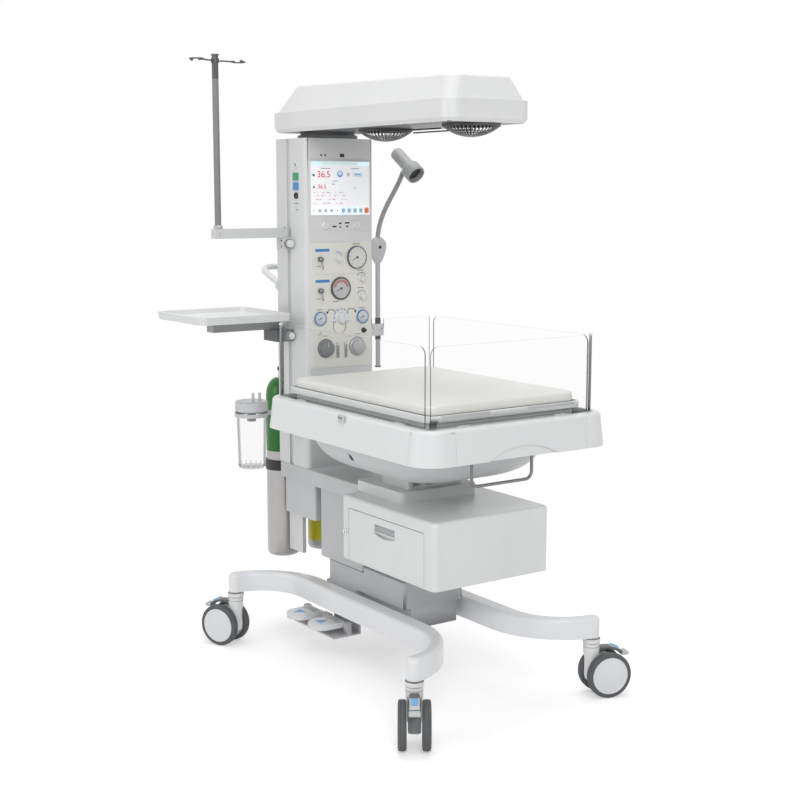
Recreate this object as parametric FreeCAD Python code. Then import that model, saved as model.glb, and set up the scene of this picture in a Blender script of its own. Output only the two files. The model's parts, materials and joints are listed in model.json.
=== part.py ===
"""Infant radiant warmer on a lifting carriage, as separate closed solids.

Millimetres. +Z is up, the mast stands towards +Y and the foot of the bed faces -Y.
The source measures from the middle plane of the bed (x = 0) and the floor (z = 0).
Each piece is moved by ORIGIN_SHIFT when it is written, so that the part's origin is
the middle of its footprint on the floor. The lift is at its lowest.
"""
import FreeCAD
import Part
import math
import os
from FreeCAD import Vector

# Running gaps
SLIDE_GAP = 0.3
SEAT_GAP = 0.3
PIN_GAP = 0.06

# Footprint middle, measured from the bed's middle plane
ORIGIN_X = -30.0
ORIGIN_Y = 7.0

# Castors
TRACK = 587.0
WHEELBASE = 931.0
FRONT_AXLE_Y = -491.0
WHEEL_DIA = 125.0
WHEEL_WIDTH = 22.0
WHEEL_SPACE = 38.0
HUB_DIA = 101.0
HUB_RECESS = 3.0
TYRE_CROWN = 5.0
AXLE_DIA = 10.0
CASTOR_TRAIL = 40.0
STEM_DIA = 12.0
STEM_LENGTH = 34.0
COLLAR_DIA = 45.0
COLLAR_HEIGHT = 34.0
COLLAR_GROOVE = 1.2
FORK_WIDTH = 34.0
FORK_SIDE = 2.0
FORK_NOSE_RISE = 48.0
FORK_NOSE_REACH = 28.0
BRAKE_BARREL_DIA = 11.0
BRAKE_LENGTH = 74.0
BRAKE_THICK = 6.0
BRAKE_WIDTH = 32.0
BRAKE_KNEE = 32.0
BRAKE_TIP_DROP = 18.0

# Legs
LEG_BOTTOM_Z = 166.0
LEG_HEIGHT = 58.0
LEG_INNER_X = 108.0
LEG_WIDTH = 60.0
LEG_OUTSIDE_BEND = 233.0
LEG_INSIDE_BEND = 140.0
LEG_TIP_DIA = 42.0
LEG_EDGE_ROUND = 14.0

# Base hub and fixed lift column
HUB_DEPTH = 156.0
HUB_FRONT_Y = 63.0
HUB_BOTTOM_Z = 152.0
HUB_HEIGHT = 74.0
HOUSING_FRONT_Y = -170.0
HOUSING_WIDTH = 200.0
HOUSING_NECK_WIDTH = 155.4
HOUSING_TOP_Z = 300.0
HOUSING_ROUND = 8.0
HOUSING_COVER_GAP = 2.0
INNER_COLUMN_WIDTH = 170.0
INNER_COLUMN_DEPTH = 150.0
INNER_COLUMN_TOP_Z = 538.0
COLUMN_WALL = 8.0

# Foot pedals
PEDAL_WIDTH = 84.0
PEDAL_LENGTH = 104.0
PEDAL_THICK = 15.0
PEDAL_TOP_Z = 126.0
PEDAL_PITCH = 120.0
PEDAL_TIP_X = -214.0
PEDAL_MIDDLE_Y = 202.0
PEDAL_PIN_DIA = 8.0
PEDAL_PLATE_THICK = 5.0
PEDAL_PLATE_DROP = 24.0

# Lift cover and carriage arm
COVER_WIDTH = 200.0
COVER_FRONT_Y = 40.0
COVER_REAR_Y = 264.0
COVER_BOTTOM_Z = 286.0
ARM_WIDTH = 240.0
ARM_FRONT_Y = 28.0
ARM_REAR_Y = 465.0
ARM_BOTTOM_Z = 497.0
ARM_HEIGHT = 45.0
ARM_ROUND = 6.0
PLINTH_WIDTH = 256.0
PLINTH_FRONT_Y = -196.0
PLINTH_BOTTOM_Z = 530.0
PLINTH_HEIGHT = 30.0
PLINTH_CORNER = 16.0

# Tilt head under the bed
TILT_HEAD_WIDTH = 180.0
TILT_HEAD_FRONT_Y = -174.0
TILT_HEAD_DEPTH = 128.0
TILT_HEAD_HEIGHT = 30.0
TILT_AXIS_Z = 655.0
TILT_PIN_DIA = 20.0
TILT_EAR_THICK = 14.0
TILT_EAR_SPAN = 132.0
TILT_EAR_WIDTH = 44.0
LUG_THICK = 12.0
LUG_EYE_WALL = 8.0
TILT_POCKET_DEPTH = 22.0
TILT_POCKET_HEIGHT = 17.0

# Drawer box and drawer
BOX_WIDTH = 380.0
BOX_FRONT_Y = -429.0
BOX_REAR_Y = 6.0
BOX_BOTTOM_Z = 352.0
BOX_HEIGHT = 178.0
BOX_WALL = 4.0
BOX_ROUND = 16.0
DRAWER_FRONT_Y = -385.0
DRAWER_REAR_Y = -33.0
DRAWER_TOP_Z = 496.0
DRAWER_GAP = 2.0
DRAWER_DEPTH = 350.0
DRAWER_PANEL = 14.0
DRAWER_WALL = 2.5
PULL_FRONT_Y = -254.0
PULL_REAR_Y = -158.0
PULL_BOTTOM_Z = 452.0
PULL_HEIGHT = 25.0
PULL_DEPTH = 10.0
LOCK_Y = -16.0
LOCK_Z = 428.0
LOCK_DIA = 15.0
LOCK_PROUD = 3.0

# Mast
MAST_WIDTH = 235.0
MAST_FRONT_Y = 303.0
MAST_FRONT_DEPTH = 87.0
MAST_SLOT_WIDTH = 19.0
MAST_SLOT_DEPTH = 14.0
MAST_REAR_DEPTH = 61.0
MAST_TOP_Z = 1508.0
MAST_ROUND = 14.0
TAIL_WIDTH = 180.0
TAIL_RAIL_WIDTH = 12.0
TAIL_FRONT_Y = 385.0
TAIL_REAR_Y = 463.0
TAIL_BOTTOM_Z = 264.0
LOWER_COVER_WIDTH = 214.0
LOWER_COVER_FRONT_Y = 284.0
LOWER_COVER_REAR_Y = 458.0
LOWER_COVER_BOTTOM_Z = 386.0

# Mast front: display, gas panel and controls
DISPLAY_WIDTH = 210.0
DISPLAY_BOTTOM_Z = 1285.0
DISPLAY_HEIGHT = 160.0
DISPLAY_PROUD = 3.0
DISPLAY_LIP = 3.5
SECTION_LINE_Z = 1240.0
LINE_WIDTH = 1.6
LINE_DEPTH = 1.2
GAS_PANEL_WIDTH = 204.0
GAS_PANEL_BOTTOM_Z = 840.0
GAS_PANEL_TOP_Z = 1208.0
GAS_PANEL_THICK = 3.0
PROBE_SOCKET_DIA = 24.0
PROBE_SOCKET_PROUD = 9.0
PROBE_SOCKET_X = 53.0
PROBE_SOCKET_Z = 1259.0
GAUGE_DIA = 67.0
GAUGE_PROUD = 11.0
SMALL_GAUGE_DIA = 40.0
SMALL_GAUGE_PROUD = 9.0
UPPER_GAUGE = (54.0, 1163.0)
MIDDLE_GAUGE = (-3.0, 1073.0)
SMALL_GAUGE_X = 74.0
SMALL_GAUGE_Z = 987.0
KNOB_GAP = 0.3
MIXER_KNOB_DIA = 40.0
PRESSURE_KNOB_DIA = 27.0
REGULATOR_KNOB_DIA = 26.0
FLOW_KNOB_DIA = 53.0
KNOB_HEIGHT = 17.0
PRESSURE_KNOB_AT = (-12.0, 1163.0)
REGULATOR_X = 72.0
REGULATOR_UPPER_Z = 1101.0
REGULATOR_LOWER_Z = 1048.0
TOGGLE_X = -72.0
TOGGLE_UPPER_Z = 1160.0
TOGGLE_LOWER_Z = 1068.0
TOGGLE_BUSH_DIA = 15.0
TOGGLE_STICK_DIA = 5.0
TOGGLE_LENGTH = 22.0
FLOW_KNOB_X = 55.0
FLOW_KNOB_Z = 898.0
TUBE_WINDOW_X = 14.0
TUBE_WINDOW_DIA = 11.0
TUBE_WINDOW_LENGTH = 46.0
TUBE_WINDOW_Z = 890.0
PORT_X = 78.0
PORT_Z = 945.0
PORT_DIA = 13.0
SIDE_SOCKET_Y = 346.0
SIDE_SOCKET_ROUND_DIA = 18.0
SIDE_SOCKET_TOP_Z = 1438.0
SIDE_SOCKET_STEP = 37.0
SIDE_SWITCH_WIDTH = 20.0
SIDE_SOCKET_PROUD = 4.0

# Push handle
HANDLE_TUBE_DIA = 19.0
HANDLE_HALF_WIDTH = 108.0
HANDLE_LOW_Z = 1078.0
HANDLE_RISE = 48.0
HANDLE_REACH = 127.0
HANDLE_BEND = 42.0
HANDLE_FLANGE_DIA = 34.0
HANDLE_FLANGE_THICK = 5.0

# Side clamps, drip pole and side tray
RAIL_Y = 400.0
CLAMP_WIDTH = 42.0
CLAMP_REACH = 30.0
CLAMP_HEIGHT = 34.0
CLAMP_KNOB_DIA = 22.0
CLAMP_KNOB_LENGTH = 16.0
POLE_ARM_Z = 1222.0
POLE_ARM_HEIGHT = 28.0
POLE_ARM_DEPTH = 26.0
POLE_ARM_END_X = -366.0
POLE_SOCKET_FLOOR = 3.0
POLE_PIVOT_DIA = 10.0
POLE_X = -350.0
POLE_DIA = 18.5
POLE_TOP_Z = 1736.0
POLE_CAP_MARGIN = 2.0
POLE_CAP_HEIGHT = 4.0
HOOK_REACH = 88.0
HOOK_WIRE_DIA = 4.5
HOOK_RING_DIA = 34.0
HOOK_BALL_DIA = 10.0
HOOK_OPEN_DEG = 60.0
HOOK_MOUTH_DEG = 60.0
HOOK_SECOND_DEG = 200.0
TRAY_ARM_HEIGHT = 34.0
TRAY_ARM_WALL = 3.0
TRAY_ARM_WIDTH = 40.0
TRAY_ARM_END_X = -362.0
TRAY_PIVOT_X = -150.0
TRAY_PIVOT_Y = 440.0
TRAY_CLAMP_REACH = 56.0
TRAY_PIVOT_DIA = 12.0
TRAY_LEFT_X = -460.0
TRAY_RIGHT_X = -163.0
TRAY_FRONT_Y = 300.0
TRAY_REAR_Y = 600.0
TRAY_Z = 985.0
TRAY_HEIGHT = 22.0
TRAY_FLOOR = 5.0
TRAY_RIM = 9.0
TRAY_CORNER = 24.0

# Examination lamp
LAMP_STEM_X = 165.0
LAMP_STEM_Y = 352.0
LAMP_STEM_DIA = 11.0
LAMP_STEM_BOTTOM_Z = 822.0
LAMP_CLAMP_Z = 920.0
LAMP_CLAMP_HEIGHT = 36.0
LAMP_CLAMP_DEPTH = 26.0
LAMP_BOX_WIDTH = 48.0
LAMP_BOX_HEIGHT = 82.0
LAMP_BOX_THICK = 26.0
LAMP_BOX_Z = 1138.0
LAMP_NECK_DIA = 10.0
LAMP_NECK_LEAN = 34.0
LAMP_NECK_BOW = 6.0
LAMP_BALL_DIA = 13.0
LAMP_BALL_BOSS = 8.0
LAMP_NECK_TIP = (81.0, -18.0, 1414.0)
LAMP_HEAD_DIA = 40.0
LAMP_BELL_DIA = 58.0
LAMP_HEAD_LENGTH = 116.0
LAMP_BELL_LENGTH = 42.0
LAMP_BELL_DEPTH = 16.0
LAMP_HEAD_DROP_DEG = 37.0
LAMP_HEAD_TURN_DEG = 7.0

# Gas cylinders and suction jar
CYLINDER_DIA = 100.0
CYLINDER_SPREAD = 73.0
CYLINDER_Y = 531.0
CYLINDER_BOTTOM_Z = 230.0
CYLINDER_HEIGHT = 560.0
CYLINDER_SHOULDER = 56.0
CYLINDER_FOOT = 14.0
VALVE_DIA = 24.0
VALVE_HEIGHT = 34.0
STRAP_Z = 504.0
STRAP_HEIGHT = 32.0
STRAP_THICK = 3.0
STRAP_PLATE_MARGIN = 30.0
JAR_X = -252.0
JAR_DIA = 88.0
JAR_BOTTOM_Z = 548.0
JAR_HEIGHT = 168.0
JAR_WALL = 3.0
JAR_TAPER = 4.0
JAR_LIP = 4.0
JAR_LIP_HEIGHT = 4.0
JAR_RING_HEIGHT = 11.0
JAR_RING_WALL = 5.0
JAR_LID_DIA = 96.0
JAR_LID_HEIGHT = 30.0
JAR_NOZZLE_DIA = 8.0
JAR_NOZZLE_HEIGHT = 24.0
JAR_CAGE_DIA = 26.0
JAR_CAGE_HEIGHT = 30.0

# Bed deck
DECK_WIDTH = 613.0
DECK_FRONT_Y = -550.0
DECK_REAR_Y = 248.0
DECK_BOTTOM_Z = 699.5
DECK_HEIGHT = 87.5
DECK_INSET = 10.0
DECK_CORNER = 72.0
DECK_TOP_ROUND = 11.0
CHANNEL_DEPTH = 19.0
RIM_WIDTH = 28.0
WELL_CORNER = 9.0
SEAM_WIDTH = 1.4
SEAM_DEPTH = 1.2
SEAM_SIDE_Y = -478.0
SEAM_FRONT_X = 210.0
SCALLOP_WIDTH = 220.0
SCALLOP_HEIGHT = 30.0
SCALLOP_DEPTH = 7.0

# Tilt cradle
CRADLE_HALF_WIDTH = 246.0
CRADLE_FRONT_Y = -424.0
CRADLE_REAR_Y = 158.0
CRADLE_DEPTH = 94.0
CRADLE_WALL = 5.0
CRADLE_SLOT_WIDTH = 160.0
CRADLE_SLOT_DEPTH = 96.0

# Grab bar
GRAB_HALF_WIDTH = 98.0
GRAB_Y = -462.0
GRAB_DROP = 80.0
GRAB_DIA = 8.5
GRAB_BEND = 20.0
GRAB_FOOT_WIDTH = 20.0
GRAB_FOOT_HEIGHT = 6.0

# Mattress tray, mattress and clear panels
TRAY_TOP_Z = 814.0
BED_TRAY_GAP = 8.0
BED_TRAY_RIM_HEIGHT = 16.0
BED_TRAY_SKIRT_INSET = 14.0
BED_TRAY_RECESS = 10.0
BED_TRAY_LIP = 7.0
BED_TRAY_CORNER = 30.0
MATTRESS_MARGIN = 3.0
MATTRESS_THICK = 36.0
MATTRESS_ROUND = 12.0
PANEL_THICK = 6.0
PANEL_HALF_SPAN = 261.0
PANEL_FRONT_PLANE_Y = -498.6
PANEL_REAR_PLANE_Y = 205.0
PANEL_HINGE_RISE = 5.0
PANEL_TOP_Z = 986.5
PANEL_CORNER = 22.0
PANEL_END_GAP = 8.0
NOTCH_X = 66.0
NOTCH_RADIUS = 21.0
NOTCH_DEPTH = 36.0
HINGE_BLOCK_LENGTH = 34.0
HINGE_BLOCK_WIDTH = 9.0
ROD_DIA = 7.0
ROD_CAP_DIA = 9.0
ROD_CAP_HEIGHT = 5.0

# Hood
BOSS_Y = 370.0
BOSS_DIA = 176.0
BOSS_STEP = 8.0
BOSS_HEIGHT = 17.7
BOSS_SPIGOT_DIA = 60.0
BOSS_SPIGOT_HEIGHT = 30.0
HOOD_WIDTH = 270.0
HOOD_FRONT_Y = -408.0
HOOD_REAR_Y = 475.0
HOOD_LIP_HEIGHT = 56.0
HOOD_LEDGE = 9.0
HOOD_DOME_FRONT_HEIGHT = 62.0
HOOD_DOME_REAR_HEIGHT = 79.0
HOOD_DOME_SIDE_INSET = 40.0
HOOD_DOME_FRONT_INSET = 42.0
HOOD_DOME_REAR_INSET = 74.0
HOOD_DOME_ROUND = 12.0
HOOD_WALL = 4.0
HOOD_CORNER = 40.0
HOOD_UNDER_CHAMFER = 9.5
HOOD_PLATE_THICK = 4.0
HEATER_DIA = 136.0
HEATER_FLANGE = 3.0
HEATER_FRONT_Y = -323.0
HEATER_REAR_Y = 66.0
HEATER_RISE = 46.0
HEATER_WALL = 3.0
ELEMENT_LENGTH = 12.0
GUARD_DIA = 150.0
GUARD_BULGE = 28.0
GUARD_WIRE = 3.0
GUARD_BAND = 8.0
GUARD_HUB_DIA = 18.0
GUARD_RINGS = 3
GUARD_SPOKES = 8

REAR_AXLE_Y = FRONT_AXLE_Y + WHEELBASE
TRAY_ARM_Z = TRAY_Z - TRAY_ARM_HEIGHT
LEG_TOP_Z = LEG_BOTTOM_Z + LEG_HEIGHT
HUB_TOP_Z = HUB_BOTTOM_Z + HUB_HEIGHT
INNER_COLUMN_FRONT_Y = HUB_FRONT_Y + (HUB_DEPTH - INNER_COLUMN_DEPTH) / 2
ARM_TOP_Z = ARM_BOTTOM_Z + ARM_HEIGHT
PLINTH_TOP_Z = PLINTH_BOTTOM_Z + PLINTH_HEIGHT
TILT_HEAD_TOP_Z = PLINTH_TOP_Z + TILT_HEAD_HEIGHT
TILT_AXIS_Y = TILT_HEAD_FRONT_Y + TILT_HEAD_DEPTH / 2
MAST_SLOT_Y = MAST_FRONT_Y + MAST_FRONT_DEPTH
MAST_REAR_Y = MAST_SLOT_Y + MAST_SLOT_WIDTH + MAST_REAR_DEPTH
MAST_SIDE_X = MAST_WIDTH / 2
DECK_TOP_Z = DECK_BOTTOM_Z + DECK_HEIGHT
CHANNEL_Z = DECK_TOP_Z - CHANNEL_DEPTH
PANEL_HINGE_Z = DECK_TOP_Z + PANEL_HINGE_RISE
HOOD_BOTTOM_Z = MAST_TOP_Z + SEAT_GAP + BOSS_HEIGHT
HOOD_LEDGE_Z = HOOD_BOTTOM_Z + HOOD_LIP_HEIGHT
GAS_FACE_Y = MAST_FRONT_Y - GAS_PANEL_THICK

ALONG_X = Vector(1, 0, 0)
ALONG_Y = Vector(0, 1, 0)
ALONG_Z = Vector(0, 0, 1)


def box(x0, x1, y0, y1, z0, z1):
    """Plain box between two corners."""
    return Part.makeBox(x1 - x0, y1 - y0, z1 - z0, Vector(x0, y0, z0))


def rod(diameter, length, base, direction=ALONG_Z):
    """Round bar from a base point along a direction."""
    return Part.makeCylinder(diameter / 2, length, base, direction)


def join(first, *others):
    """One solid from pieces that touch or overlap."""
    return first.fuse(list(others)).removeSplitter()


def upright_edges(shape):
    """Edges that run straight up."""
    return [e for e in shape.Edges
            if len(e.Vertexes) == 2 and abs(e.tangentAt(e.FirstParameter).z) > 0.999
            and abs(e.Vertexes[0].Z - e.Vertexes[1].Z) > 0.5]


def level_edges(shape, z):
    """Edges that lie in the level plane at z."""
    return [e for e in shape.Edges
            if abs(e.BoundBox.ZMin - z) < 0.01 and abs(e.BoundBox.ZMax - z) < 0.01]


def soft_box(x0, x1, y0, y1, z0, z1, corner, top=0.0, bottom=0.0):
    """Box with rounded upright corners and, if asked, rounded top and bottom edges."""
    shape = box(x0, x1, y0, y1, z0, z1)
    shape = shape.makeFillet(corner, upright_edges(shape))
    if top:
        shape = shape.makeFillet(top, level_edges(shape, z1))
    if bottom:
        shape = shape.makeFillet(bottom, level_edges(shape, z0))
    return shape


def outline(x0, x1, y0, y1, z, corner):
    """Closed rounded rectangle in the level plane at z."""
    face = soft_box(x0, x1, y0, y1, z, z + 1.0, corner)
    return Part.Wire(Part.__sortEdges__(level_edges(face, z)))


def tapered(sections, ruled=True):
    """Solid through rounded rectangles, each given as (x0, x1, y0, y1, z, corner)."""
    return Part.makeLoft([outline(*section) for section in sections], True, ruled)


def plate(points, direction, thickness):
    """Flat plate with a straight-sided outline, thickened along a direction."""
    face = Part.Face(Part.makePolygon(points + [points[0]]))
    return face.extrude(direction * thickness)


def turned(profile, base, direction):
    """Solid of revolution from (radius, height) points about a direction through base."""
    points = [Vector(r, 0, h) for r, h in profile]
    face = Part.Face(Part.makePolygon(points + [points[0]]))
    solid = face.revolve(Vector(0, 0, 0), ALONG_Z, 360)
    solid.Placement = FreeCAD.Placement(base, FreeCAD.Rotation(ALONG_Z, direction))
    return solid


def bent_path(points, bend):
    """Wire of straight runs joined by tangent arcs of one radius."""
    edges = []
    start = points[0]
    for before, corner, after in zip(points, points[1:], points[2:]):
        into = (corner - before).normalize()
        out = (after - corner).normalize()
        setback = bend * math.tan(into.getAngle(out) / 2)
        arc_start = corner - into * setback
        arc_end = corner + out * setback
        inward = (out - into).normalize()
        to_middle = bend / math.cos(into.getAngle(out) / 2) - bend
        edges.append(Part.LineSegment(start, arc_start).toShape())
        edges.append(Part.Arc(arc_start, corner + inward * to_middle, arc_end).toShape())
        start = arc_end
    edges.append(Part.LineSegment(start, points[-1]).toShape())
    return Part.Wire(edges)


def bent_bar(points, bend, diameter):
    """Round bar along a bent path."""
    path = bent_path(points, bend)
    direction = (points[1] - points[0]).normalize()
    ring = Part.Wire(Part.makeCircle(diameter / 2, points[0], direction))
    return path.makePipeShell([ring], True, True)


def mirrored(shape):
    """The same piece on the other side of the bed's middle plane."""
    return shape.mirror(Vector(0, 0, 0), ALONG_X)


def write(name, *solids):
    """Write one node, moved into the part's frame."""
    shape = solids[0] if len(solids) == 1 else Part.makeCompound(list(solids))
    placed = shape.copy()
    placed.translate(Vector(-ORIGIN_X, -ORIGIN_Y, 0))
    placed.exportStep(os.path.join("parts", name + ".step"))


# Base

def leg():
    """Right leg: straight beside the hub, bowed outwards to a round tip at each castor."""
    inner = LEG_INNER_X
    outer = LEG_INNER_X + LEG_WIDTH
    tip = LEG_TIP_DIA / 2
    tip_x = TRACK / 2

    def half(axle_y, sense):
        """Points on the way from the inner side to the outer side round one tip."""
        centre = Vector(tip_x, axle_y, 0)
        wide = LEG_OUTSIDE_BEND
        wide_y = axle_y - sense * math.sqrt((wide - tip) ** 2 - (inner + wide - tip_x) ** 2)
        wide_centre = Vector(inner + wide, wide_y, 0)
        tight = LEG_INSIDE_BEND
        tight_y = axle_y - sense * math.sqrt((tight + tip) ** 2 - (outer + tight - tip_x) ** 2)
        tight_centre = Vector(outer + tight, tight_y, 0)
        touch_wide = centre + (centre - wide_centre).normalize() * tip
        touch_tight = centre + (tight_centre - centre).normalize() * tip
        along = (touch_wide - centre).cross(ALONG_Z).normalize()
        crown = centre + (along if along.x > 0 else -along) * tip
        return dict(inner=Vector(inner, wide_y, 0), touch_wide=touch_wide, crown=crown,
                    touch_tight=touch_tight, outer=Vector(outer, tight_y, 0),
                    wide_mid=mid_arc(wide_centre, wide, Vector(inner, wide_y, 0), touch_wide),
                    tight_mid=mid_arc(tight_centre, tight, Vector(outer, tight_y, 0),
                                      touch_tight))

    front = half(FRONT_AXLE_Y, -1)
    rear = half(REAR_AXLE_Y, 1)
    edges = [Part.LineSegment(rear["inner"], front["inner"]).toShape(),
             Part.Arc(front["inner"], front["wide_mid"], front["touch_wide"]).toShape(),
             Part.Arc(front["touch_wide"], front["crown"], front["touch_tight"]).toShape(),
             Part.Arc(front["touch_tight"], front["tight_mid"], front["outer"]).toShape(),
             Part.LineSegment(front["outer"], rear["outer"]).toShape(),
             Part.Arc(rear["outer"], rear["tight_mid"], rear["touch_tight"]).toShape(),
             Part.Arc(rear["touch_tight"], rear["crown"], rear["touch_wide"]).toShape(),
             Part.Arc(rear["touch_wide"], rear["wide_mid"], rear["inner"]).toShape()]
    face = Part.Face(Part.Wire(edges))
    face.translate(Vector(0, 0, LEG_BOTTOM_Z))
    shape = face.extrude(ALONG_Z * LEG_HEIGHT)
    shape = shape.makeFillet(LEG_EDGE_ROUND, level_edges(shape, LEG_TOP_Z))
    for axle_y in (FRONT_AXLE_Y, REAR_AXLE_Y):
        bore = rod(STEM_DIA + 2 * PIN_GAP, STEM_LENGTH + SEAT_GAP,
                   Vector(tip_x, axle_y, LEG_BOTTOM_Z))
        shape = shape.cut(bore)
    return shape


def mid_arc(centre, radius, start, end):
    """Point half way along the short arc between two points of a circle."""
    return centre + ((start - centre) + (end - centre)).normalize() * radius


def base_housing():
    """Housing before the lift column: a neck between the legs and a wider body over them."""
    rear = HUB_FRONT_Y + HUB_DEPTH
    neck = box(-HOUSING_NECK_WIDTH / 2, HOUSING_NECK_WIDTH / 2, HOUSING_FRONT_Y, HUB_FRONT_Y,
               LEG_BOTTOM_Z, HUB_TOP_Z)
    half = HOUSING_WIDTH / 2
    sill = soft_box(-half, half, HOUSING_FRONT_Y, rear, HUB_TOP_Z,
                    COVER_BOTTOM_Z - HOUSING_COVER_GAP, HOUSING_ROUND)
    front = soft_box(-half, half, HOUSING_FRONT_Y, COVER_FRONT_Y - HOUSING_COVER_GAP,
                     HUB_TOP_Z, HOUSING_TOP_Z, HOUSING_ROUND, top=HOUSING_ROUND / 2)
    column = box(-INNER_COLUMN_WIDTH / 2, INNER_COLUMN_WIDTH / 2, INNER_COLUMN_FRONT_Y,
                 INNER_COLUMN_FRONT_Y + INNER_COLUMN_DEPTH, HUB_TOP_Z, HOUSING_TOP_Z)
    return join(neck, sill, front).cut(column)


def base_hub():
    """Cross member between the legs that carries the lift column and the pedal bracket."""
    half = LEG_INNER_X
    rear = HUB_FRONT_Y + HUB_DEPTH
    body = box(-half, half, HUB_FRONT_Y, rear, LEG_BOTTOM_Z, HUB_TOP_Z)
    belly = box(-INNER_COLUMN_WIDTH / 2, INNER_COLUMN_WIDTH / 2, HUB_FRONT_Y, rear,
                HUB_BOTTOM_Z, LEG_BOTTOM_Z)
    return join(body, belly, base_housing())


def inner_column():
    """Fixed lift column, a rectangular tube closed at the top."""
    half = INNER_COLUMN_WIDTH / 2
    front = INNER_COLUMN_FRONT_Y
    rear = front + INNER_COLUMN_DEPTH
    tube = soft_box(-half, half, front, rear, HUB_TOP_Z, INNER_COLUMN_TOP_Z, ARM_ROUND)
    wall = COLUMN_WALL
    core = box(-half + wall, half - wall, front + wall, rear - wall, HUB_TOP_Z,
               INNER_COLUMN_TOP_Z - wall)
    return tube.cut(core)


def pedal_pin_x():
    """The pedals hinge at their inner end."""
    return PEDAL_TIP_X + PEDAL_LENGTH - PEDAL_PIN_DIA


def pedal_middles():
    """Middle of the raise pedal (rear) and of the lower pedal (front)."""
    return (PEDAL_MIDDLE_Y + PEDAL_PITCH / 2, PEDAL_MIDDLE_Y - PEDAL_PITCH / 2)


def pedal_bracket():
    """Plate hung from the hub, with a hinge pin through ears beside each pedal."""
    gap = (PEDAL_PITCH - PEDAL_WIDTH) / 2
    low_y = PEDAL_MIDDLE_Y - PEDAL_PITCH
    high_y = PEDAL_MIDDLE_Y + PEDAL_PITCH
    pin_x = pedal_pin_x()
    top = PEDAL_TOP_Z - PEDAL_THICK - PEDAL_PLATE_DROP + PEDAL_PLATE_THICK
    floor_plate = box(pin_x - PEDAL_LENGTH / 2, -LEG_INNER_X + LEG_WIDTH / 2, low_y, high_y,
                      top - PEDAL_PLATE_THICK, top)
    web = box(-LEG_INNER_X + LEG_WIDTH / 2 - PEDAL_PLATE_THICK, -LEG_INNER_X + LEG_WIDTH / 2,
              max(low_y, HUB_FRONT_Y), min(high_y, HUB_FRONT_Y + HUB_DEPTH), top, HUB_BOTTOM_Z)
    pieces = [web]
    pin_z = PEDAL_TOP_Z - PEDAL_THICK / 2
    for middle in (low_y, PEDAL_MIDDLE_Y, high_y):
        ear = box(pin_x - PEDAL_PIN_DIA, pin_x + PEDAL_PIN_DIA,
                  max(middle - gap + SLIDE_GAP, low_y), min(middle + gap - SLIDE_GAP, high_y),
                  top, pin_z + PEDAL_PIN_DIA)
        pieces.append(ear)
    pieces.append(rod(PEDAL_PIN_DIA, high_y - low_y, Vector(pin_x, low_y, pin_z), ALONG_Y))
    return join(floor_plate, *pieces)


def pedal(middle):
    """Foot pad with a round outer end and a bored barrel at its hinge."""
    half = PEDAL_WIDTH / 2
    pin_x = pedal_pin_x()
    low = PEDAL_TOP_Z - PEDAL_THICK
    pad = box(PEDAL_TIP_X + half, pin_x, middle - half, middle + half, low, PEDAL_TOP_Z)
    nose = rod(PEDAL_WIDTH, PEDAL_THICK, Vector(PEDAL_TIP_X + half, middle, low))
    shape = join(pad, nose)
    shape = shape.makeFillet(PEDAL_THICK / 4, [e for e in level_edges(shape, PEDAL_TOP_Z)
                                               if e.BoundBox.XMin < pin_x - 1.0])
    pin_z = PEDAL_TOP_Z - PEDAL_THICK / 2
    barrel = rod(PEDAL_THICK, PEDAL_WIDTH, Vector(pin_x, middle - half, pin_z), ALONG_Y)
    bore = rod(PEDAL_PIN_DIA + 2 * PIN_GAP, PEDAL_WIDTH, Vector(pin_x, middle - half, pin_z),
               ALONG_Y)
    return join(shape, barrel).cut(bore)


def castor_fork():
    """Castor housing with its stem on the local z axis; the wheels trail towards local +x."""
    top = LEG_BOTTOM_Z - SEAT_GAP
    collar = rod(COLLAR_DIA, COLLAR_HEIGHT, Vector(0, 0, top - COLLAR_HEIGHT))
    ring = Part.makeTorus(COLLAR_DIA / 2, COLLAR_GROOVE, Vector(0, 0, top - COLLAR_HEIGHT / 2))
    stem = rod(STEM_DIA, STEM_LENGTH, Vector(0, 0, top))
    axle_z = WHEEL_DIA / 2
    radius = COLLAR_DIA / 2
    low = top - COLLAR_HEIGHT
    nose = FORK_NOSE_REACH
    rise = FORK_NOSE_RISE
    cheek = [Vector(-radius, 0, low + 4), Vector(-radius, 0, axle_z + rise / 2),
             Vector(-radius * 0.6, 0, axle_z), Vector(radius * 0.35, 0, axle_z - rise / 2),
             Vector(CASTOR_TRAIL, 0, axle_z - rise * 0.6),
             Vector(CASTOR_TRAIL + nose * 0.9, 0, axle_z - rise * 0.3),
             Vector(CASTOR_TRAIL + nose, 0, axle_z + rise * 0.4),
             Vector(CASTOR_TRAIL, 0, axle_z + rise), Vector(radius, 0, low + 4)]
    body = plate(cheek, ALONG_Y, FORK_WIDTH)
    body.translate(Vector(0, -FORK_WIDTH / 2, 0))
    body = body.makeChamfer(FORK_SIDE, [e for e in body.Edges
                                            if abs(e.tangentAt(e.FirstParameter).y) < 0.01
                                            and e.BoundBox.ZMax < low + 3])
    barrel_hollow = rod(BRAKE_BARREL_DIA + 2 * SLIDE_GAP, FORK_WIDTH,
                        Vector(brake_pin_s(), -FORK_WIDTH / 2, brake_pin_z()), ALONG_Y)
    bore = rod(AXLE_DIA + 2 * PIN_GAP, FORK_WIDTH, Vector(CASTOR_TRAIL, -FORK_WIDTH / 2, axle_z),
               ALONG_Y)
    shape = join(collar.cut(ring), stem, body)
    return shape.cut(barrel_hollow).cut(bore)


def brake_pin_s():
    """Brake hinge, measured from the stem towards the wheels."""
    return COLLAR_DIA / 2 + BRAKE_BARREL_DIA / 2 + 2


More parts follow.
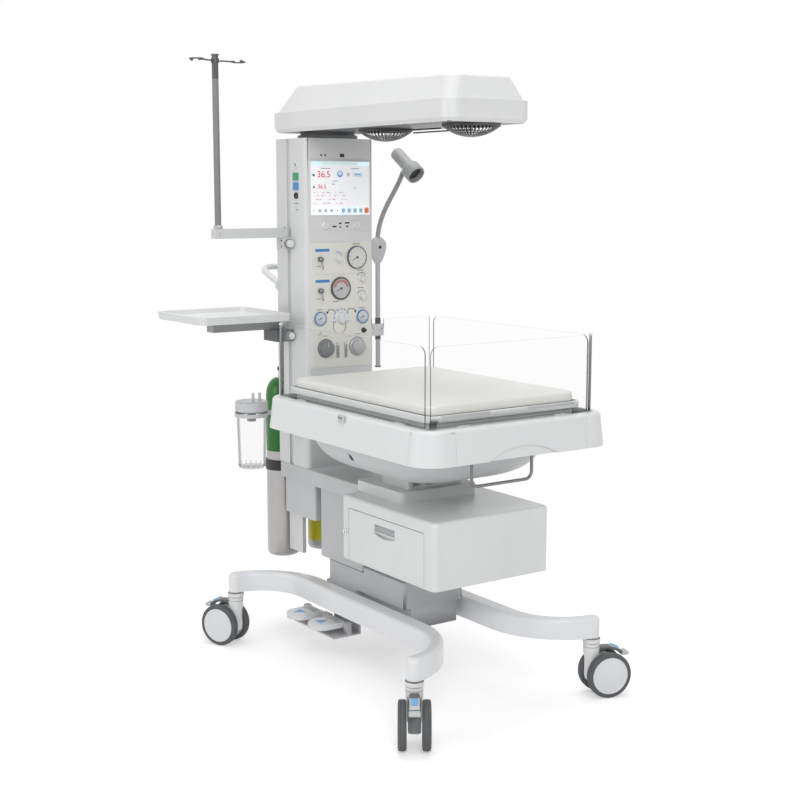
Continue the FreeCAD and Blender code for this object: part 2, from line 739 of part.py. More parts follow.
def brake_pin_z():
    """Height of the brake hinge, just above the wheels."""
    return WHEEL_DIA + BRAKE_BARREL_DIA / 2


def castor_wheels():
    """Twin wheels on their axle."""
    radius = WHEEL_DIA / 2
    hub = HUB_DIA / 2
    crown = TYRE_CROWN
    inner = WHEEL_SPACE / 2
    outer = inner + WHEEL_WIDTH
    dish = outer - HUB_RECESS
    profile = [(0, inner), (radius - crown, inner), (radius - crown / 3, inner + crown / 3),
               (radius, inner + crown), (radius, outer - crown),
               (radius - crown / 3, outer - crown / 3), (radius - crown, outer),
               (hub + 1.5, outer), (hub, dish), (hub / 3, dish), (hub / 3 - 2, dish + 1.5),
               (0, dish + 1.5)]
    centre = Vector(CASTOR_TRAIL, 0, radius)
    right = turned(profile, centre, ALONG_Y)
    left = turned(profile, centre, Vector(0, -1, 0))
    axle = rod(AXLE_DIA, 2 * inner, Vector(CASTOR_TRAIL, -inner, radius), ALONG_Y)
    return join(right, left, axle)


def castor_brake():
    """Brake pedal between the wheels: a barrel at the collar and a tread past the wheels."""
    pin_s = brake_pin_s()
    pin_z = brake_pin_z()
    tip = pin_s + BRAKE_LENGTH
    thick = BRAKE_THICK
    knee = pin_s + BRAKE_KNEE
    low = pin_z - BRAKE_TIP_DROP
    lever = plate([Vector(pin_s, 0, pin_z), Vector(knee, 0, pin_z), Vector(tip, 0, low),
                   Vector(tip, 0, low + thick), Vector(knee, 0, pin_z + thick),
                   Vector(pin_s, 0, pin_z + thick)], ALONG_Y, BRAKE_WIDTH)
    barrel = rod(BRAKE_BARREL_DIA, BRAKE_WIDTH, Vector(pin_s, 0, pin_z), ALONG_Y)
    shape = join(lever, barrel)
    shape.translate(Vector(0, -BRAKE_WIDTH / 2, 0))
    return shape


CASTORS = {
    "front_left": (-TRACK / 2, FRONT_AXLE_Y, 235.0),
    "front_right": (TRACK / 2, FRONT_AXLE_Y, -18.0),
    "rear_left": (-TRACK / 2, REAR_AXLE_Y, 116.0),
    "rear_right": (TRACK / 2, REAR_AXLE_Y, 64.0),
}


def at_castor(shape, place):
    """Turn a castor piece to its heading and stand it under its leg tip."""
    x, y, heading = place
    placed = shape.copy()
    placed.rotate(Vector(0, 0, 0), ALONG_Z, heading)
    placed.translate(Vector(x, y, 0))
    return placed


def make_base():
    """Write the floor-standing pieces."""
    right_leg = leg()
    write("right_leg", right_leg)
    write("left_leg", mirrored(right_leg))
    write("base_hub", base_hub(), pedal_bracket())
    write("inner_column", inner_column())
    raise_y, lower_y = pedal_middles()
    write("raise_pedal", pedal(raise_y))
    write("lower_pedal", pedal(lower_y))
    pieces = {"fork": castor_fork(), "wheels": castor_wheels(), "brake": castor_brake()}
    for corner, place in CASTORS.items():
        for piece, shape in pieces.items():
            write("castor_" + piece + "_" + corner, at_castor(shape, place))


# Lifting carriage

def column_hollow(z0, z1):
    """Space that the fixed column runs in."""
    half = INNER_COLUMN_WIDTH / 2 + SLIDE_GAP
    front = INNER_COLUMN_FRONT_Y - SLIDE_GAP
    rear = INNER_COLUMN_FRONT_Y + INNER_COLUMN_DEPTH + SLIDE_GAP
    return box(-half, half, front, rear, z0, z1)


def lift_cover():
    """Outer lift column, a tube that hangs from the arm round the fixed column."""
    half = COVER_WIDTH / 2
    tube = soft_box(-half, half, COVER_FRONT_Y, COVER_REAR_Y, COVER_BOTTOM_Z, ARM_BOTTOM_Z,
                    ARM_ROUND)
    return tube.cut(column_hollow(COVER_BOTTOM_Z, ARM_BOTTOM_Z))


def tail_section(z0, z1):
    """Slim lower part of the mast extrusion: two side rails, open between them."""
    half = TAIL_WIDTH / 2
    rails = [box(start, start + TAIL_RAIL_WIDTH, TAIL_FRONT_Y, TAIL_REAR_Y, z0, z1)
             for start in (-half, half - TAIL_RAIL_WIDTH)]
    return Part.makeCompound(rails)


def lift_arm():
    """Carriage arm from the mast to the plinth under the bed."""
    half = ARM_WIDTH / 2
    beam = soft_box(-half, half, ARM_FRONT_Y, ARM_REAR_Y, ARM_BOTTOM_Z, ARM_TOP_Z, ARM_ROUND,
                    top=ARM_ROUND / 2)
    hollow = column_hollow(ARM_BOTTOM_Z, INNER_COLUMN_TOP_Z + SLIDE_GAP)
    return beam.cut(hollow).cut(tail_section(ARM_BOTTOM_Z, ARM_TOP_Z))


def plinth():
    """Front block on the arm, which carries the tilt head above and the drawer box below."""
    half = PLINTH_WIDTH / 2
    return soft_box(-half, half, PLINTH_FRONT_Y, ARM_FRONT_Y, PLINTH_BOTTOM_Z, PLINTH_TOP_Z,
                    PLINTH_CORNER, top=ARM_ROUND / 2)


def tilt_head():
    """Block on the plinth with two ears and the pin that the bed tilts on."""
    half = TILT_HEAD_WIDTH / 2
    rear = TILT_HEAD_FRONT_Y + TILT_HEAD_DEPTH
    block = soft_box(-half, half, TILT_HEAD_FRONT_Y, rear, PLINTH_TOP_Z, TILT_HEAD_TOP_Z, 4.0)
    rib = TILT_HEAD_WIDTH / 12
    bay = (TILT_HEAD_WIDTH - 5 * rib) / 4
    pocket_z = PLINTH_TOP_Z + (TILT_HEAD_HEIGHT - TILT_POCKET_HEIGHT) / 2
    for index in range(4):
        left = -half + rib + index * (bay + rib)
        block = block.cut(box(left, left + bay, TILT_HEAD_FRONT_Y,
                              TILT_HEAD_FRONT_Y + TILT_POCKET_DEPTH, pocket_z,
                              pocket_z + TILT_POCKET_HEIGHT))
    pieces = []
    for side in (-1, 1):
        middle = side * (TILT_EAR_SPAN / 2)
        post = box(middle - TILT_EAR_THICK / 2, middle + TILT_EAR_THICK / 2,
                   TILT_AXIS_Y - TILT_EAR_WIDTH / 2, TILT_AXIS_Y + TILT_EAR_WIDTH / 2,
                   TILT_HEAD_TOP_Z, TILT_AXIS_Z)
        crown = rod(TILT_EAR_WIDTH, TILT_EAR_THICK,
                    Vector(middle - TILT_EAR_THICK / 2, TILT_AXIS_Y, TILT_AXIS_Z), ALONG_X)
        pieces += [post, crown]
    length = TILT_EAR_SPAN + TILT_EAR_THICK
    pieces.append(rod(TILT_PIN_DIA, length, Vector(-length / 2, TILT_AXIS_Y, TILT_AXIS_Z),
                      ALONG_X))
    return join(block, *pieces)


def drawer_box():
    """Storage box under the plinth, open to the left for its drawer."""
    half = BOX_WIDTH / 2
    top = BOX_BOTTOM_Z + BOX_HEIGHT
    shell = soft_box(-half, half, BOX_FRONT_Y, BOX_REAR_Y, BOX_BOTTOM_Z, top, BOX_ROUND,
                     top=BOX_ROUND * 0.6)
    gap = DRAWER_GAP
    space = box(-half, -half + DRAWER_DEPTH + gap, DRAWER_FRONT_Y - gap, DRAWER_REAR_Y + gap,
                BOX_BOTTOM_Z + BOX_WALL, DRAWER_TOP_Z + gap)
    lock_bore = rod(LOCK_DIA + 2 * PIN_GAP, LOCK_DIA, Vector(-half, LOCK_Y, LOCK_Z), ALONG_X)
    return shell.cut(space).cut(lock_bore)


def drawer():
    """Drawer with a thick front panel and a recessed pull."""
    half = BOX_WIDTH / 2
    low = BOX_BOTTOM_Z + BOX_WALL + SLIDE_GAP
    panel = box(-half, -half + DRAWER_PANEL, DRAWER_FRONT_Y, DRAWER_REAR_Y, low, DRAWER_TOP_Z)
    tray = box(-half + DRAWER_PANEL, -half + DRAWER_DEPTH, DRAWER_FRONT_Y, DRAWER_REAR_Y, low,
               DRAWER_TOP_Z - 3 * DRAWER_GAP)
    wall = DRAWER_WALL
    inside = box(-half + DRAWER_PANEL, -half + DRAWER_DEPTH - wall, DRAWER_FRONT_Y + wall,
                 DRAWER_REAR_Y - wall, low + wall, DRAWER_TOP_Z)
    sag = PULL_HEIGHT / 3
    mid_y = (PULL_FRONT_Y + PULL_REAR_Y) / 2
    top = PULL_BOTTOM_Z + PULL_HEIGHT
    rim = [Part.LineSegment(Vector(-half, PULL_FRONT_Y, PULL_BOTTOM_Z),
                            Vector(-half, PULL_FRONT_Y, top)).toShape(),
           Part.LineSegment(Vector(-half, PULL_FRONT_Y, top),
                            Vector(-half, PULL_REAR_Y, top)).toShape(),
           Part.LineSegment(Vector(-half, PULL_REAR_Y, top),
                            Vector(-half, PULL_REAR_Y, PULL_BOTTOM_Z)).toShape(),
           Part.Arc(Vector(-half, PULL_REAR_Y, PULL_BOTTOM_Z),
                    Vector(-half, mid_y, PULL_BOTTOM_Z - sag),
                    Vector(-half, PULL_FRONT_Y, PULL_BOTTOM_Z)).toShape()]
    pull = Part.Face(Part.Wire(rim)).extrude(ALONG_X * PULL_DEPTH)
    return join(panel, tray.cut(inside)).cut(pull)


def drawer_lock():
    """Lock barrel that turns in the box wall."""
    half = BOX_WIDTH / 2
    barrel = rod(LOCK_DIA, LOCK_DIA + LOCK_PROUD - SEAT_GAP, Vector(-half - LOCK_PROUD, LOCK_Y,
                                                                    LOCK_Z), ALONG_X)
    slot = box(-half - LOCK_PROUD, -half - LOCK_PROUD / 2, LOCK_Y - 1.0, LOCK_Y + 1.0,
               LOCK_Z - LOCK_DIA / 4, LOCK_Z + LOCK_DIA / 4)
    return barrel.cut(slot)


def mast_front():
    """Front module of the mast with rounded front edges and a line under the controls."""
    half = MAST_SIDE_X
    body = box(-half, half, MAST_FRONT_Y, MAST_SLOT_Y, ARM_TOP_Z, MAST_TOP_Z)
    body = body.makeFillet(MAST_ROUND, [e for e in upright_edges(body)
                                        if abs(e.Vertexes[0].Y - MAST_FRONT_Y) < 0.01])
    line = box(-half, half, MAST_FRONT_Y, MAST_FRONT_Y + LINE_DEPTH,
               SECTION_LINE_Z - LINE_WIDTH / 2, SECTION_LINE_Z + LINE_WIDTH / 2)
    return body.cut(line)


def mast_extrusion():
    """Rear extrusion of the mast, with the side slots that the clamps hold in."""
    half = MAST_SIDE_X
    neck = half - MAST_SLOT_DEPTH
    top = MAST_TOP_Z
    rear = box(-half, half, MAST_SLOT_Y + MAST_SLOT_WIDTH, MAST_REAR_Y, ARM_TOP_Z, top)
    web = box(-neck, neck, MAST_SLOT_Y, MAST_SLOT_Y + MAST_SLOT_WIDTH, ARM_TOP_Z, top)
    tail = tail_section(TAIL_BOTTOM_Z, ARM_TOP_Z)
    return join(rear, web, *tail.Solids)


def lower_cover():
    """Cover round the tail of the mast under the arm."""
    half = LOWER_COVER_WIDTH / 2
    front = max(LOWER_COVER_FRONT_Y, COVER_REAR_Y)
    shell = soft_box(-half, half, front, LOWER_COVER_REAR_Y, LOWER_COVER_BOTTOM_Z, ARM_BOTTOM_Z,
                     ARM_ROUND)
    return shell.cut(tail_section(LOWER_COVER_BOTTOM_Z, ARM_BOTTOM_Z))


def display():
    """Display module: a bezel with its screen set back."""
    half = DISPLAY_WIDTH / 2
    top = DISPLAY_BOTTOM_Z + DISPLAY_HEIGHT
    lip = DISPLAY_LIP
    case = soft_box(-half, half, MAST_FRONT_Y - DISPLAY_PROUD, MAST_FRONT_Y, DISPLAY_BOTTOM_Z,
                    top, 1.0)
    window = box(-half + lip, half - lip, MAST_FRONT_Y - DISPLAY_PROUD,
                 MAST_FRONT_Y - DISPLAY_PROUD / 2, DISPLAY_BOTTOM_Z + lip, top - lip)
    return case.cut(window)


def gas_panel():
    """Cream panel behind the gas controls, with its two dividing lines."""
    half = GAS_PANEL_WIDTH / 2
    panel = box(-half, half, GAS_FACE_Y, MAST_FRONT_Y, GAS_PANEL_BOTTOM_Z, GAS_PANEL_TOP_Z)
    step = (UPPER_GAUGE[1] + MIDDLE_GAUGE[1]) / 2
    low = (SMALL_GAUGE_Z + FLOW_KNOB_Z) / 2 - SMALL_GAUGE_DIA / 4
    for z in (step, low):
        panel = panel.cut(box(-half + 6, half - 6, GAS_FACE_Y, GAS_FACE_Y + LINE_DEPTH / 2,
                              z - LINE_WIDTH / 2, z + LINE_WIDTH / 2))
    return panel


def dial(diameter, proud, x, z):
    """Gauge case on the gas panel, with a raised rim round its face."""
    radius = diameter / 2
    rim = radius * 0.12
    profile = [(0, 0), (radius, 0), (radius, proud - 1), (radius - 1, proud),
               (radius - rim, proud), (radius - rim, proud - 2.5), (0, proud - 2.5)]
    return turned(profile, Vector(x, GAS_FACE_Y, z), Vector(0, -1, 0))


def panel_instruments():
    """Gauges, flow tubes and gas ports, as separate solids on the gas panel."""
    solids = [dial(GAUGE_DIA, GAUGE_PROUD, *UPPER_GAUGE),
              dial(GAUGE_DIA, GAUGE_PROUD, *MIDDLE_GAUGE)]
    for side in (-1, 1):
        solids.append(dial(SMALL_GAUGE_DIA, SMALL_GAUGE_PROUD, side * SMALL_GAUGE_X,
                           SMALL_GAUGE_Z))
        x = side * TUBE_WINDOW_X
        low = TUBE_WINDOW_Z - TUBE_WINDOW_LENGTH / 2
        tube = box(x - TUBE_WINDOW_DIA / 2, x + TUBE_WINDOW_DIA / 2, GAS_FACE_Y - 4.0, GAS_FACE_Y,
                   low, low + TUBE_WINDOW_LENGTH)
        cross = [e for e in tube.Edges if abs(e.tangentAt(e.FirstParameter).y) > 0.99]
        solids.append(tube.makeFillet(TUBE_WINDOW_DIA * 0.49, cross))
        solids.append(rod(PORT_DIA, PORT_DIA, Vector(side * PORT_X, GAS_FACE_Y, PORT_Z),
                          Vector(0, -1, 0)))
    return solids


def sockets():
    """Probe sockets under the display, and the sockets and switches on the left side."""
    solids = []
    for side in (-1, 1):
        radius = PROBE_SOCKET_DIA / 2
        profile = [(radius * 0.55, 3.0), (radius * 0.55, PROBE_SOCKET_PROUD),
                   (radius - 1.5, PROBE_SOCKET_PROUD), (radius, PROBE_SOCKET_PROUD - 1.5),
                   (radius, 0), (0, 0), (0, 3.0)]
        solids.append(turned(profile, Vector(side * PROBE_SOCKET_X, MAST_FRONT_Y, PROBE_SOCKET_Z),
                             Vector(0, -1, 0)))
    face = -MAST_SIDE_X
    solids.append(rod(SIDE_SOCKET_ROUND_DIA, SIDE_SOCKET_PROUD,
                      Vector(face, SIDE_SOCKET_Y, SIDE_SOCKET_TOP_Z), Vector(-1, 0, 0)))
    half = SIDE_SWITCH_WIDTH / 2
    for step in (1, 2):
        z = SIDE_SOCKET_TOP_Z - step * SIDE_SOCKET_STEP
        solids.append(box(face - SIDE_SOCKET_PROUD, face, SIDE_SOCKET_Y - half,
                          SIDE_SOCKET_Y + half, z - half, z + half))
    solids.append(rod(SIDE_SOCKET_ROUND_DIA, SIDE_SOCKET_PROUD,
                      Vector(face, SIDE_SOCKET_Y, SIDE_SOCKET_TOP_Z - 3 * SIDE_SOCKET_STEP),
                      Vector(-1, 0, 0)))
    return solids


def knob(diameter, x, z):
    """Control knob that turns just clear of the gas panel."""
    radius = diameter / 2
    profile = [(0, 0), (radius, 0), (radius, 3.0), (radius * 0.86, 4.5),
               (radius * 0.8, KNOB_HEIGHT - 1.5), (radius * 0.72, KNOB_HEIGHT), (0, KNOB_HEIGHT)]
    return turned(profile, Vector(x, GAS_FACE_Y - KNOB_GAP, z), Vector(0, -1, 0))


def toggle(z):
    """Toggle lever: a ball at the panel and a thin stick that points down."""
    ball = Part.makeSphere(TOGGLE_BUSH_DIA / 2,
                           Vector(TOGGLE_X, GAS_FACE_Y - KNOB_GAP - TOGGLE_BUSH_DIA / 2, z))
    stick = rod(TOGGLE_STICK_DIA, TOGGLE_LENGTH + TOGGLE_BUSH_DIA / 2,
                Vector(TOGGLE_X, GAS_FACE_Y - KNOB_GAP - TOGGLE_BUSH_DIA / 2, z),
                Vector(0, -0.35, -1))
    return join(ball, stick)


def push_handle():
    """Tube handle that loops back from the rear of the mast."""
    y = MAST_REAR_Y
    half = HANDLE_HALF_WIDTH
    low = HANDLE_LOW_Z
    points = [Vector(-half, y, low), Vector(-half, y + HANDLE_REACH, low + HANDLE_RISE),
              Vector(half, y + HANDLE_REACH, low + HANDLE_RISE), Vector(half, y, low)]
    bar = bent_bar(points, HANDLE_BEND, HANDLE_TUBE_DIA)
    trim = box(-MAST_WIDTH, MAST_WIDTH, y - HANDLE_TUBE_DIA, y, low - HANDLE_TUBE_DIA,
               low + HANDLE_TUBE_DIA)
    feet = [rod(HANDLE_FLANGE_DIA, HANDLE_FLANGE_THICK, Vector(side * half, y, low), ALONG_Y)
            for side in (-1, 1)]
    return join(bar.cut(trim), *feet)


def clamp(z, reach=CLAMP_REACH, rear_y=RAIL_Y + CLAMP_WIDTH / 2):
    """Clamp body on the left slot: a tongue in the slot, a block and a knob at the front."""
    front_y = RAIL_Y - CLAMP_WIDTH / 2
    face = -MAST_SIDE_X
    tongue = box(face, face + MAST_SLOT_DEPTH, MAST_SLOT_Y + SEAT_GAP,
                 MAST_SLOT_Y + MAST_SLOT_WIDTH - SEAT_GAP, z, z + CLAMP_HEIGHT)
    body = box(face - reach, face, front_y, rear_y, z, z + CLAMP_HEIGHT)
    screw = rod(CLAMP_KNOB_DIA, CLAMP_KNOB_LENGTH,
                Vector(face - CLAMP_REACH / 2, front_y, z + CLAMP_HEIGHT / 2), Vector(0, -1, 0))
    return join(body, tongue, screw)


def pole_pivot_x():
    """Axis of the drip pole arm, in the middle of its clamp."""
    return -(MAST_SIDE_X + CLAMP_REACH / 2)


def rail_clamps():
    """Clamps for the drip pole arm, the side tray and the jar, all in the left slot."""
    pole = clamp(POLE_ARM_Z - SEAT_GAP - CLAMP_HEIGHT)
    pole_pin = rod(POLE_PIVOT_DIA, POLE_ARM_HEIGHT + 2 * SEAT_GAP,
                   Vector(pole_pivot_x(), RAIL_Y, POLE_ARM_Z - SEAT_GAP))
    shelf_z = TRAY_ARM_Z - SEAT_GAP - CLAMP_HEIGHT
    shelf = clamp(shelf_z, TRAY_CLAMP_REACH, TRAY_PIVOT_Y + TRAY_ARM_WIDTH / 2)
    shelf_pin = rod(TRAY_PIVOT_DIA, TRAY_ARM_HEIGHT / 2,
                    Vector(TRAY_PIVOT_X, TRAY_PIVOT_Y, TRAY_ARM_Z - SEAT_GAP))
    jar_z = jar_ring_z() + JAR_RING_HEIGHT - CLAMP_HEIGHT
    return [join(pole, pole_pin), join(shelf, shelf_pin), join(clamp(jar_z), jar_ring())]


def jar_ring_z():
    """Underside of the ring that the jar hangs in by its lip."""
    return JAR_BOTTOM_Z + JAR_HEIGHT - JAR_LIP_HEIGHT - SEAT_GAP - JAR_RING_HEIGHT


def jar_ring():
    """Ring that the jar hangs in, on a short arm from its clamp."""
    z = jar_ring_z()
    high = JAR_RING_HEIGHT
    inner = JAR_DIA / 2 + SLIDE_GAP
    ring = rod(2 * (inner + JAR_RING_WALL), high, Vector(JAR_X, RAIL_Y, z))
    arm = box(JAR_X, -MAST_SIDE_X - CLAMP_REACH, RAIL_Y - high, RAIL_Y + high, z, z + high)
    return join(ring, arm).cut(rod(2 * inner, high, Vector(JAR_X, RAIL_Y, z)))


def pole_arm():
    """Square arm that swings on its clamp and holds the drip pole at its end."""
    half = POLE_ARM_DEPTH / 2
    high = POLE_ARM_HEIGHT
    bar = box(POLE_ARM_END_X, pole_pivot_x(), RAIL_Y - half, RAIL_Y + half, POLE_ARM_Z,
              POLE_ARM_Z + high)
    eye = rod(POLE_ARM_DEPTH, high, Vector(pole_pivot_x(), RAIL_Y, POLE_ARM_Z))
    pivot = rod(POLE_PIVOT_DIA + 2 * PIN_GAP, high, Vector(pole_pivot_x(), RAIL_Y, POLE_ARM_Z))
    socket = rod(POLE_DIA + 2 * PIN_GAP, high - POLE_SOCKET_FLOOR,
                 Vector(POLE_X, RAIL_Y, POLE_ARM_Z + POLE_SOCKET_FLOOR))
    return join(bar, eye).cut(pivot).cut(socket)


def hook(heading):
    """Drip hook: an arm with an open ring and a ball at its tip."""
    wire = HOOK_WIRE_DIA
    ring_radius = (HOOK_RING_DIA + wire) / 2
    z = POLE_TOP_Z - 4 * wire
    arm = rod(wire, HOOK_REACH - HOOK_RING_DIA, Vector(0, 0, z), ALONG_X)
    centre_x = HOOK_REACH - HOOK_RING_DIA + ring_radius
    ring = Part.makeTorus(ring_radius, wire / 2, Vector(centre_x, 0, z), ALONG_Z, -180, 180,
                          360 - HOOK_OPEN_DEG)
    mouth = 180 + HOOK_OPEN_DEG / 2 + HOOK_MOUTH_DEG
    ring.rotate(Vector(centre_x, 0, z), ALONG_Z, mouth)
    turn = math.radians(mouth)
    ball = Part.makeSphere(HOOK_BALL_DIA / 2, Vector(centre_x + ring_radius * math.cos(turn),
                                                     ring_radius * math.sin(turn), z))
    shape = join(arm, ring, ball)
    shape.rotate(Vector(0, 0, z), ALONG_Z, heading)
    shape.translate(Vector(POLE_X, RAIL_Y, 0))
    return shape


def drip_pole():
    """Round pole with two hooks near its top."""
    low = POLE_ARM_Z + POLE_SOCKET_FLOOR + SEAT_GAP
    pole = rod(POLE_DIA, POLE_TOP_Z - low, Vector(POLE_X, RAIL_Y, low))
    wide = POLE_DIA + 2 * POLE_CAP_MARGIN
    cap = rod(wide, POLE_CAP_HEIGHT, Vector(POLE_X, RAIL_Y, POLE_TOP_Z - POLE_CAP_HEIGHT))
    collar = rod(wide, HOOK_WIRE_DIA * 3, Vector(POLE_X, RAIL_Y, POLE_TOP_Z - HOOK_WIRE_DIA * 5.5))
    return join(pole, cap, collar, hook(0.0), hook(HOOK_SECOND_DEG))


def tray_arm():
    """Swivel arm under the side tray, a channel that is open below."""
    half = TRAY_ARM_WIDTH / 2
    y = TRAY_PIVOT_Y
    wall = TRAY_ARM_WALL
    bar = box(TRAY_ARM_END_X, TRAY_PIVOT_X, y - half, y + half, TRAY_ARM_Z, TRAY_Z)
    eye = rod(TRAY_ARM_WIDTH, TRAY_Z - TRAY_ARM_Z, Vector(TRAY_PIVOT_X, y, TRAY_ARM_Z))
    channel = box(TRAY_ARM_END_X + wall, TRAY_PIVOT_X - half, y - half + wall, y + half - wall,
                  TRAY_ARM_Z, TRAY_Z - wall)
    pivot = rod(TRAY_PIVOT_DIA + 2 * PIN_GAP, TRAY_ARM_HEIGHT / 2,
                Vector(TRAY_PIVOT_X, y, TRAY_ARM_Z))
    return join(bar, eye).cut(channel).cut(pivot)


def side_tray():
    """Shallow tray with a raised rim."""
    rim = TRAY_RIM
    body = tapered([(TRAY_LEFT_X + 4, TRAY_RIGHT_X - 4, TRAY_FRONT_Y + 4, TRAY_REAR_Y - 4, TRAY_Z,
                     TRAY_CORNER - 4),
                    (TRAY_LEFT_X, TRAY_RIGHT_X, TRAY_FRONT_Y, TRAY_REAR_Y, TRAY_Z + TRAY_HEIGHT,
                     TRAY_CORNER)])
    pocket = soft_box(TRAY_LEFT_X + rim, TRAY_RIGHT_X - rim, TRAY_FRONT_Y + rim,
                      TRAY_REAR_Y - rim, TRAY_Z + TRAY_FLOOR, TRAY_Z + TRAY_HEIGHT + 1,
                      TRAY_CORNER - rim, bottom=6.0)
    return body.cut(pocket)


def lamp_base():
    """Lamp stem in its clamp on the right slot, up to the switch box and the gooseneck."""
    x = LAMP_STEM_X
    y = LAMP_STEM_Y
    stem = rod(LAMP_STEM_DIA, LAMP_BOX_Z + 4 - LAMP_STEM_BOTTOM_Z,
               Vector(x, y, LAMP_STEM_BOTTOM_Z))
    foot = rod(LAMP_STEM_DIA * 1.8, 4.0, Vector(x, y, LAMP_STEM_BOTTOM_Z))
    half = LAMP_BOX_HEIGHT / 2
    wide = LAMP_BOX_WIDTH / 2
    profile = [(0, -half), (wide * 0.38, -half), (wide * 0.75, -half * 0.72),
               (wide * 0.96, -half * 0.3), (wide, half * 0.1), (wide * 0.92, half * 0.55),
               (wide * 0.54, half * 0.88), (wide * 0.3, half), (0, half)]
    oval = turned(profile, Vector(x, y, LAMP_BOX_Z + half), ALONG_Z)
    slab = box(x - LAMP_BOX_WIDTH, x + LAMP_BOX_WIDTH, y - LAMP_BOX_THICK / 2,
               y + LAMP_BOX_THICK / 2, LAMP_BOX_Z, LAMP_BOX_Z + LAMP_BOX_HEIGHT)
    switch_box = oval.common(slab)
    ball = Part.makeSphere(LAMP_BALL_DIA / 2, neck_tip())
    return join(stem, foot, switch_box, lamp_neck(), ball)


def lamp_neck():
    """Gooseneck: a smooth bent tube from the switch box to the lamp head."""
    start = Vector(LAMP_STEM_X, LAMP_STEM_Y, LAMP_BOX_Z + LAMP_BOX_HEIGHT - 2)
    tip = neck_tip()
    rise = tip.z - start.z
    low = start + Vector(0, 0, rise * 0.45)
    curve = Part.BezierCurve()
    curve.setPoles([start, low, tip - Vector(LAMP_NECK_LEAN, -LAMP_NECK_BOW, rise * 0.38), tip])
    ring = Part.Wire(Part.makeCircle(LAMP_NECK_DIA / 2, start, ALONG_Z))
    return Part.Wire(curve.toShape()).makePipeShell([ring], True, True)


def neck_tip():
    """Upper end of the gooseneck."""
    return Vector(LAMP_STEM_X + LAMP_NECK_TIP[0], LAMP_STEM_Y + LAMP_NECK_TIP[1],
                  LAMP_NECK_TIP[2])


def lamp_direction():
    """The way that the lamp head points."""
    drop = math.radians(LAMP_HEAD_DROP_DEG)
    turn = math.radians(LAMP_HEAD_TURN_DEG)
    return Vector(math.cos(drop) * math.sin(turn), -math.cos(drop) * math.cos(turn),
                  -math.sin(drop))


def lamp_head():
    """Lamp head: a barrel that flares into a bell with a sunk lens, clear of the neck."""
    radius = LAMP_HEAD_DIA / 2
    bell = LAMP_BELL_DIA / 2
    length = LAMP_HEAD_LENGTH
    flare = length - LAMP_BELL_LENGTH
    profile = [(0, 0), (radius - 5, 0), (radius, 5), (radius, flare - 4), (bell, flare + 6),
               (bell, length - 2), (bell - 2, length), (bell - 4, length),
               (bell - 6, length - LAMP_BELL_DEPTH), (0, length - LAMP_BELL_DEPTH)]
    aim = lamp_direction()
    tip = neck_tip()
    offset = radius + LAMP_BALL_BOSS
    rear = tip - aim * (flare - LAMP_BALL_DIA) + lamp_up() * offset
    boss = rod(LAMP_BALL_DIA, offset, tip, lamp_up())
    socket = Part.makeSphere(LAMP_BALL_DIA / 2 + SLIDE_GAP, tip)
    return join(turned(profile, rear, aim), boss).cut(socket)


def lamp_up():
    """Across the lamp head, away from the neck."""
    aim = lamp_direction()
    side = aim.cross(ALONG_Z).normalize()
    return side.cross(aim).normalize()


def lamp_clamp():
    """Clamp that holds the lamp stem on the right side of the mast."""
    half = LAMP_CLAMP_DEPTH / 2
    block = box(MAST_SIDE_X, LAMP_STEM_X + half, LAMP_STEM_Y - half, LAMP_STEM_Y + half,
                LAMP_CLAMP_Z, LAMP_CLAMP_Z + LAMP_CLAMP_HEIGHT)
    bore = rod(LAMP_STEM_DIA + 2 * PIN_GAP, LAMP_CLAMP_HEIGHT,
               Vector(LAMP_STEM_X, LAMP_STEM_Y, LAMP_CLAMP_Z))
    return block.cut(bore)


def cylinder(side):
    """Gas cylinder with a domed shoulder and a valve."""
    radius = CYLINDER_DIA / 2
    neck = CYLINDER_HEIGHT - CYLINDER_SHOULDER
    foot = CYLINDER_FOOT
    profile = [(0, 0), (radius - foot, 0), (radius - foot / 4, foot / 3), (radius, foot),
               (radius, neck)]
    for step in range(1, 6):
        angle = math.radians(15 * step)
        profile.append((VALVE_DIA / 2 + (radius - VALVE_DIA / 2) * math.cos(angle),
                        neck + CYLINDER_SHOULDER * math.sin(angle)))
    top = CYLINDER_HEIGHT
    profile += [(VALVE_DIA / 2, top), (VALVE_DIA / 2, top + VALVE_HEIGHT),
                (0, top + VALVE_HEIGHT)]
    return turned(profile, Vector(side * CYLINDER_SPREAD, CYLINDER_Y, CYLINDER_BOTTOM_Z), ALONG_Z)


def cylinder_strap():
    """Plate behind the mast with a band round each cylinder."""
    hole = CYLINDER_DIA
    outer = hole + 2 * STRAP_THICK
    rings = [rod(outer, STRAP_HEIGHT, Vector(side * CYLINDER_SPREAD, CYLINDER_Y, STRAP_Z))
             for side in (-1, 1)]
    half = CYLINDER_SPREAD + STRAP_PLATE_MARGIN
    back = box(-half, half, ARM_REAR_Y, CYLINDER_Y - hole / 3, STRAP_Z, STRAP_Z + STRAP_HEIGHT)
    shape = join(back, *rings)
    for side in (-1, 1):
        shape = shape.cut(rod(hole, STRAP_HEIGHT, Vector(side * CYLINDER_SPREAD, CYLINDER_Y,
                                                         STRAP_Z)))
    return shape


def suction_jar():
    """Clear jar that tapers slightly, open at the top."""
    top = JAR_DIA / 2
    low = top - JAR_TAPER
    wall = JAR_WALL
    height = JAR_HEIGHT
    lip_z = height - JAR_LIP_HEIGHT
    profile = [(0, 0), (low - 4, 0), (low, 4), (top, lip_z), (top + JAR_LIP, lip_z),
               (top + JAR_LIP, height), (top - wall, height), (low - wall, wall + 2),
               (0, wall + 2)]
    return turned(profile, Vector(JAR_X, RAIL_Y, JAR_BOTTOM_Z), ALONG_Z)


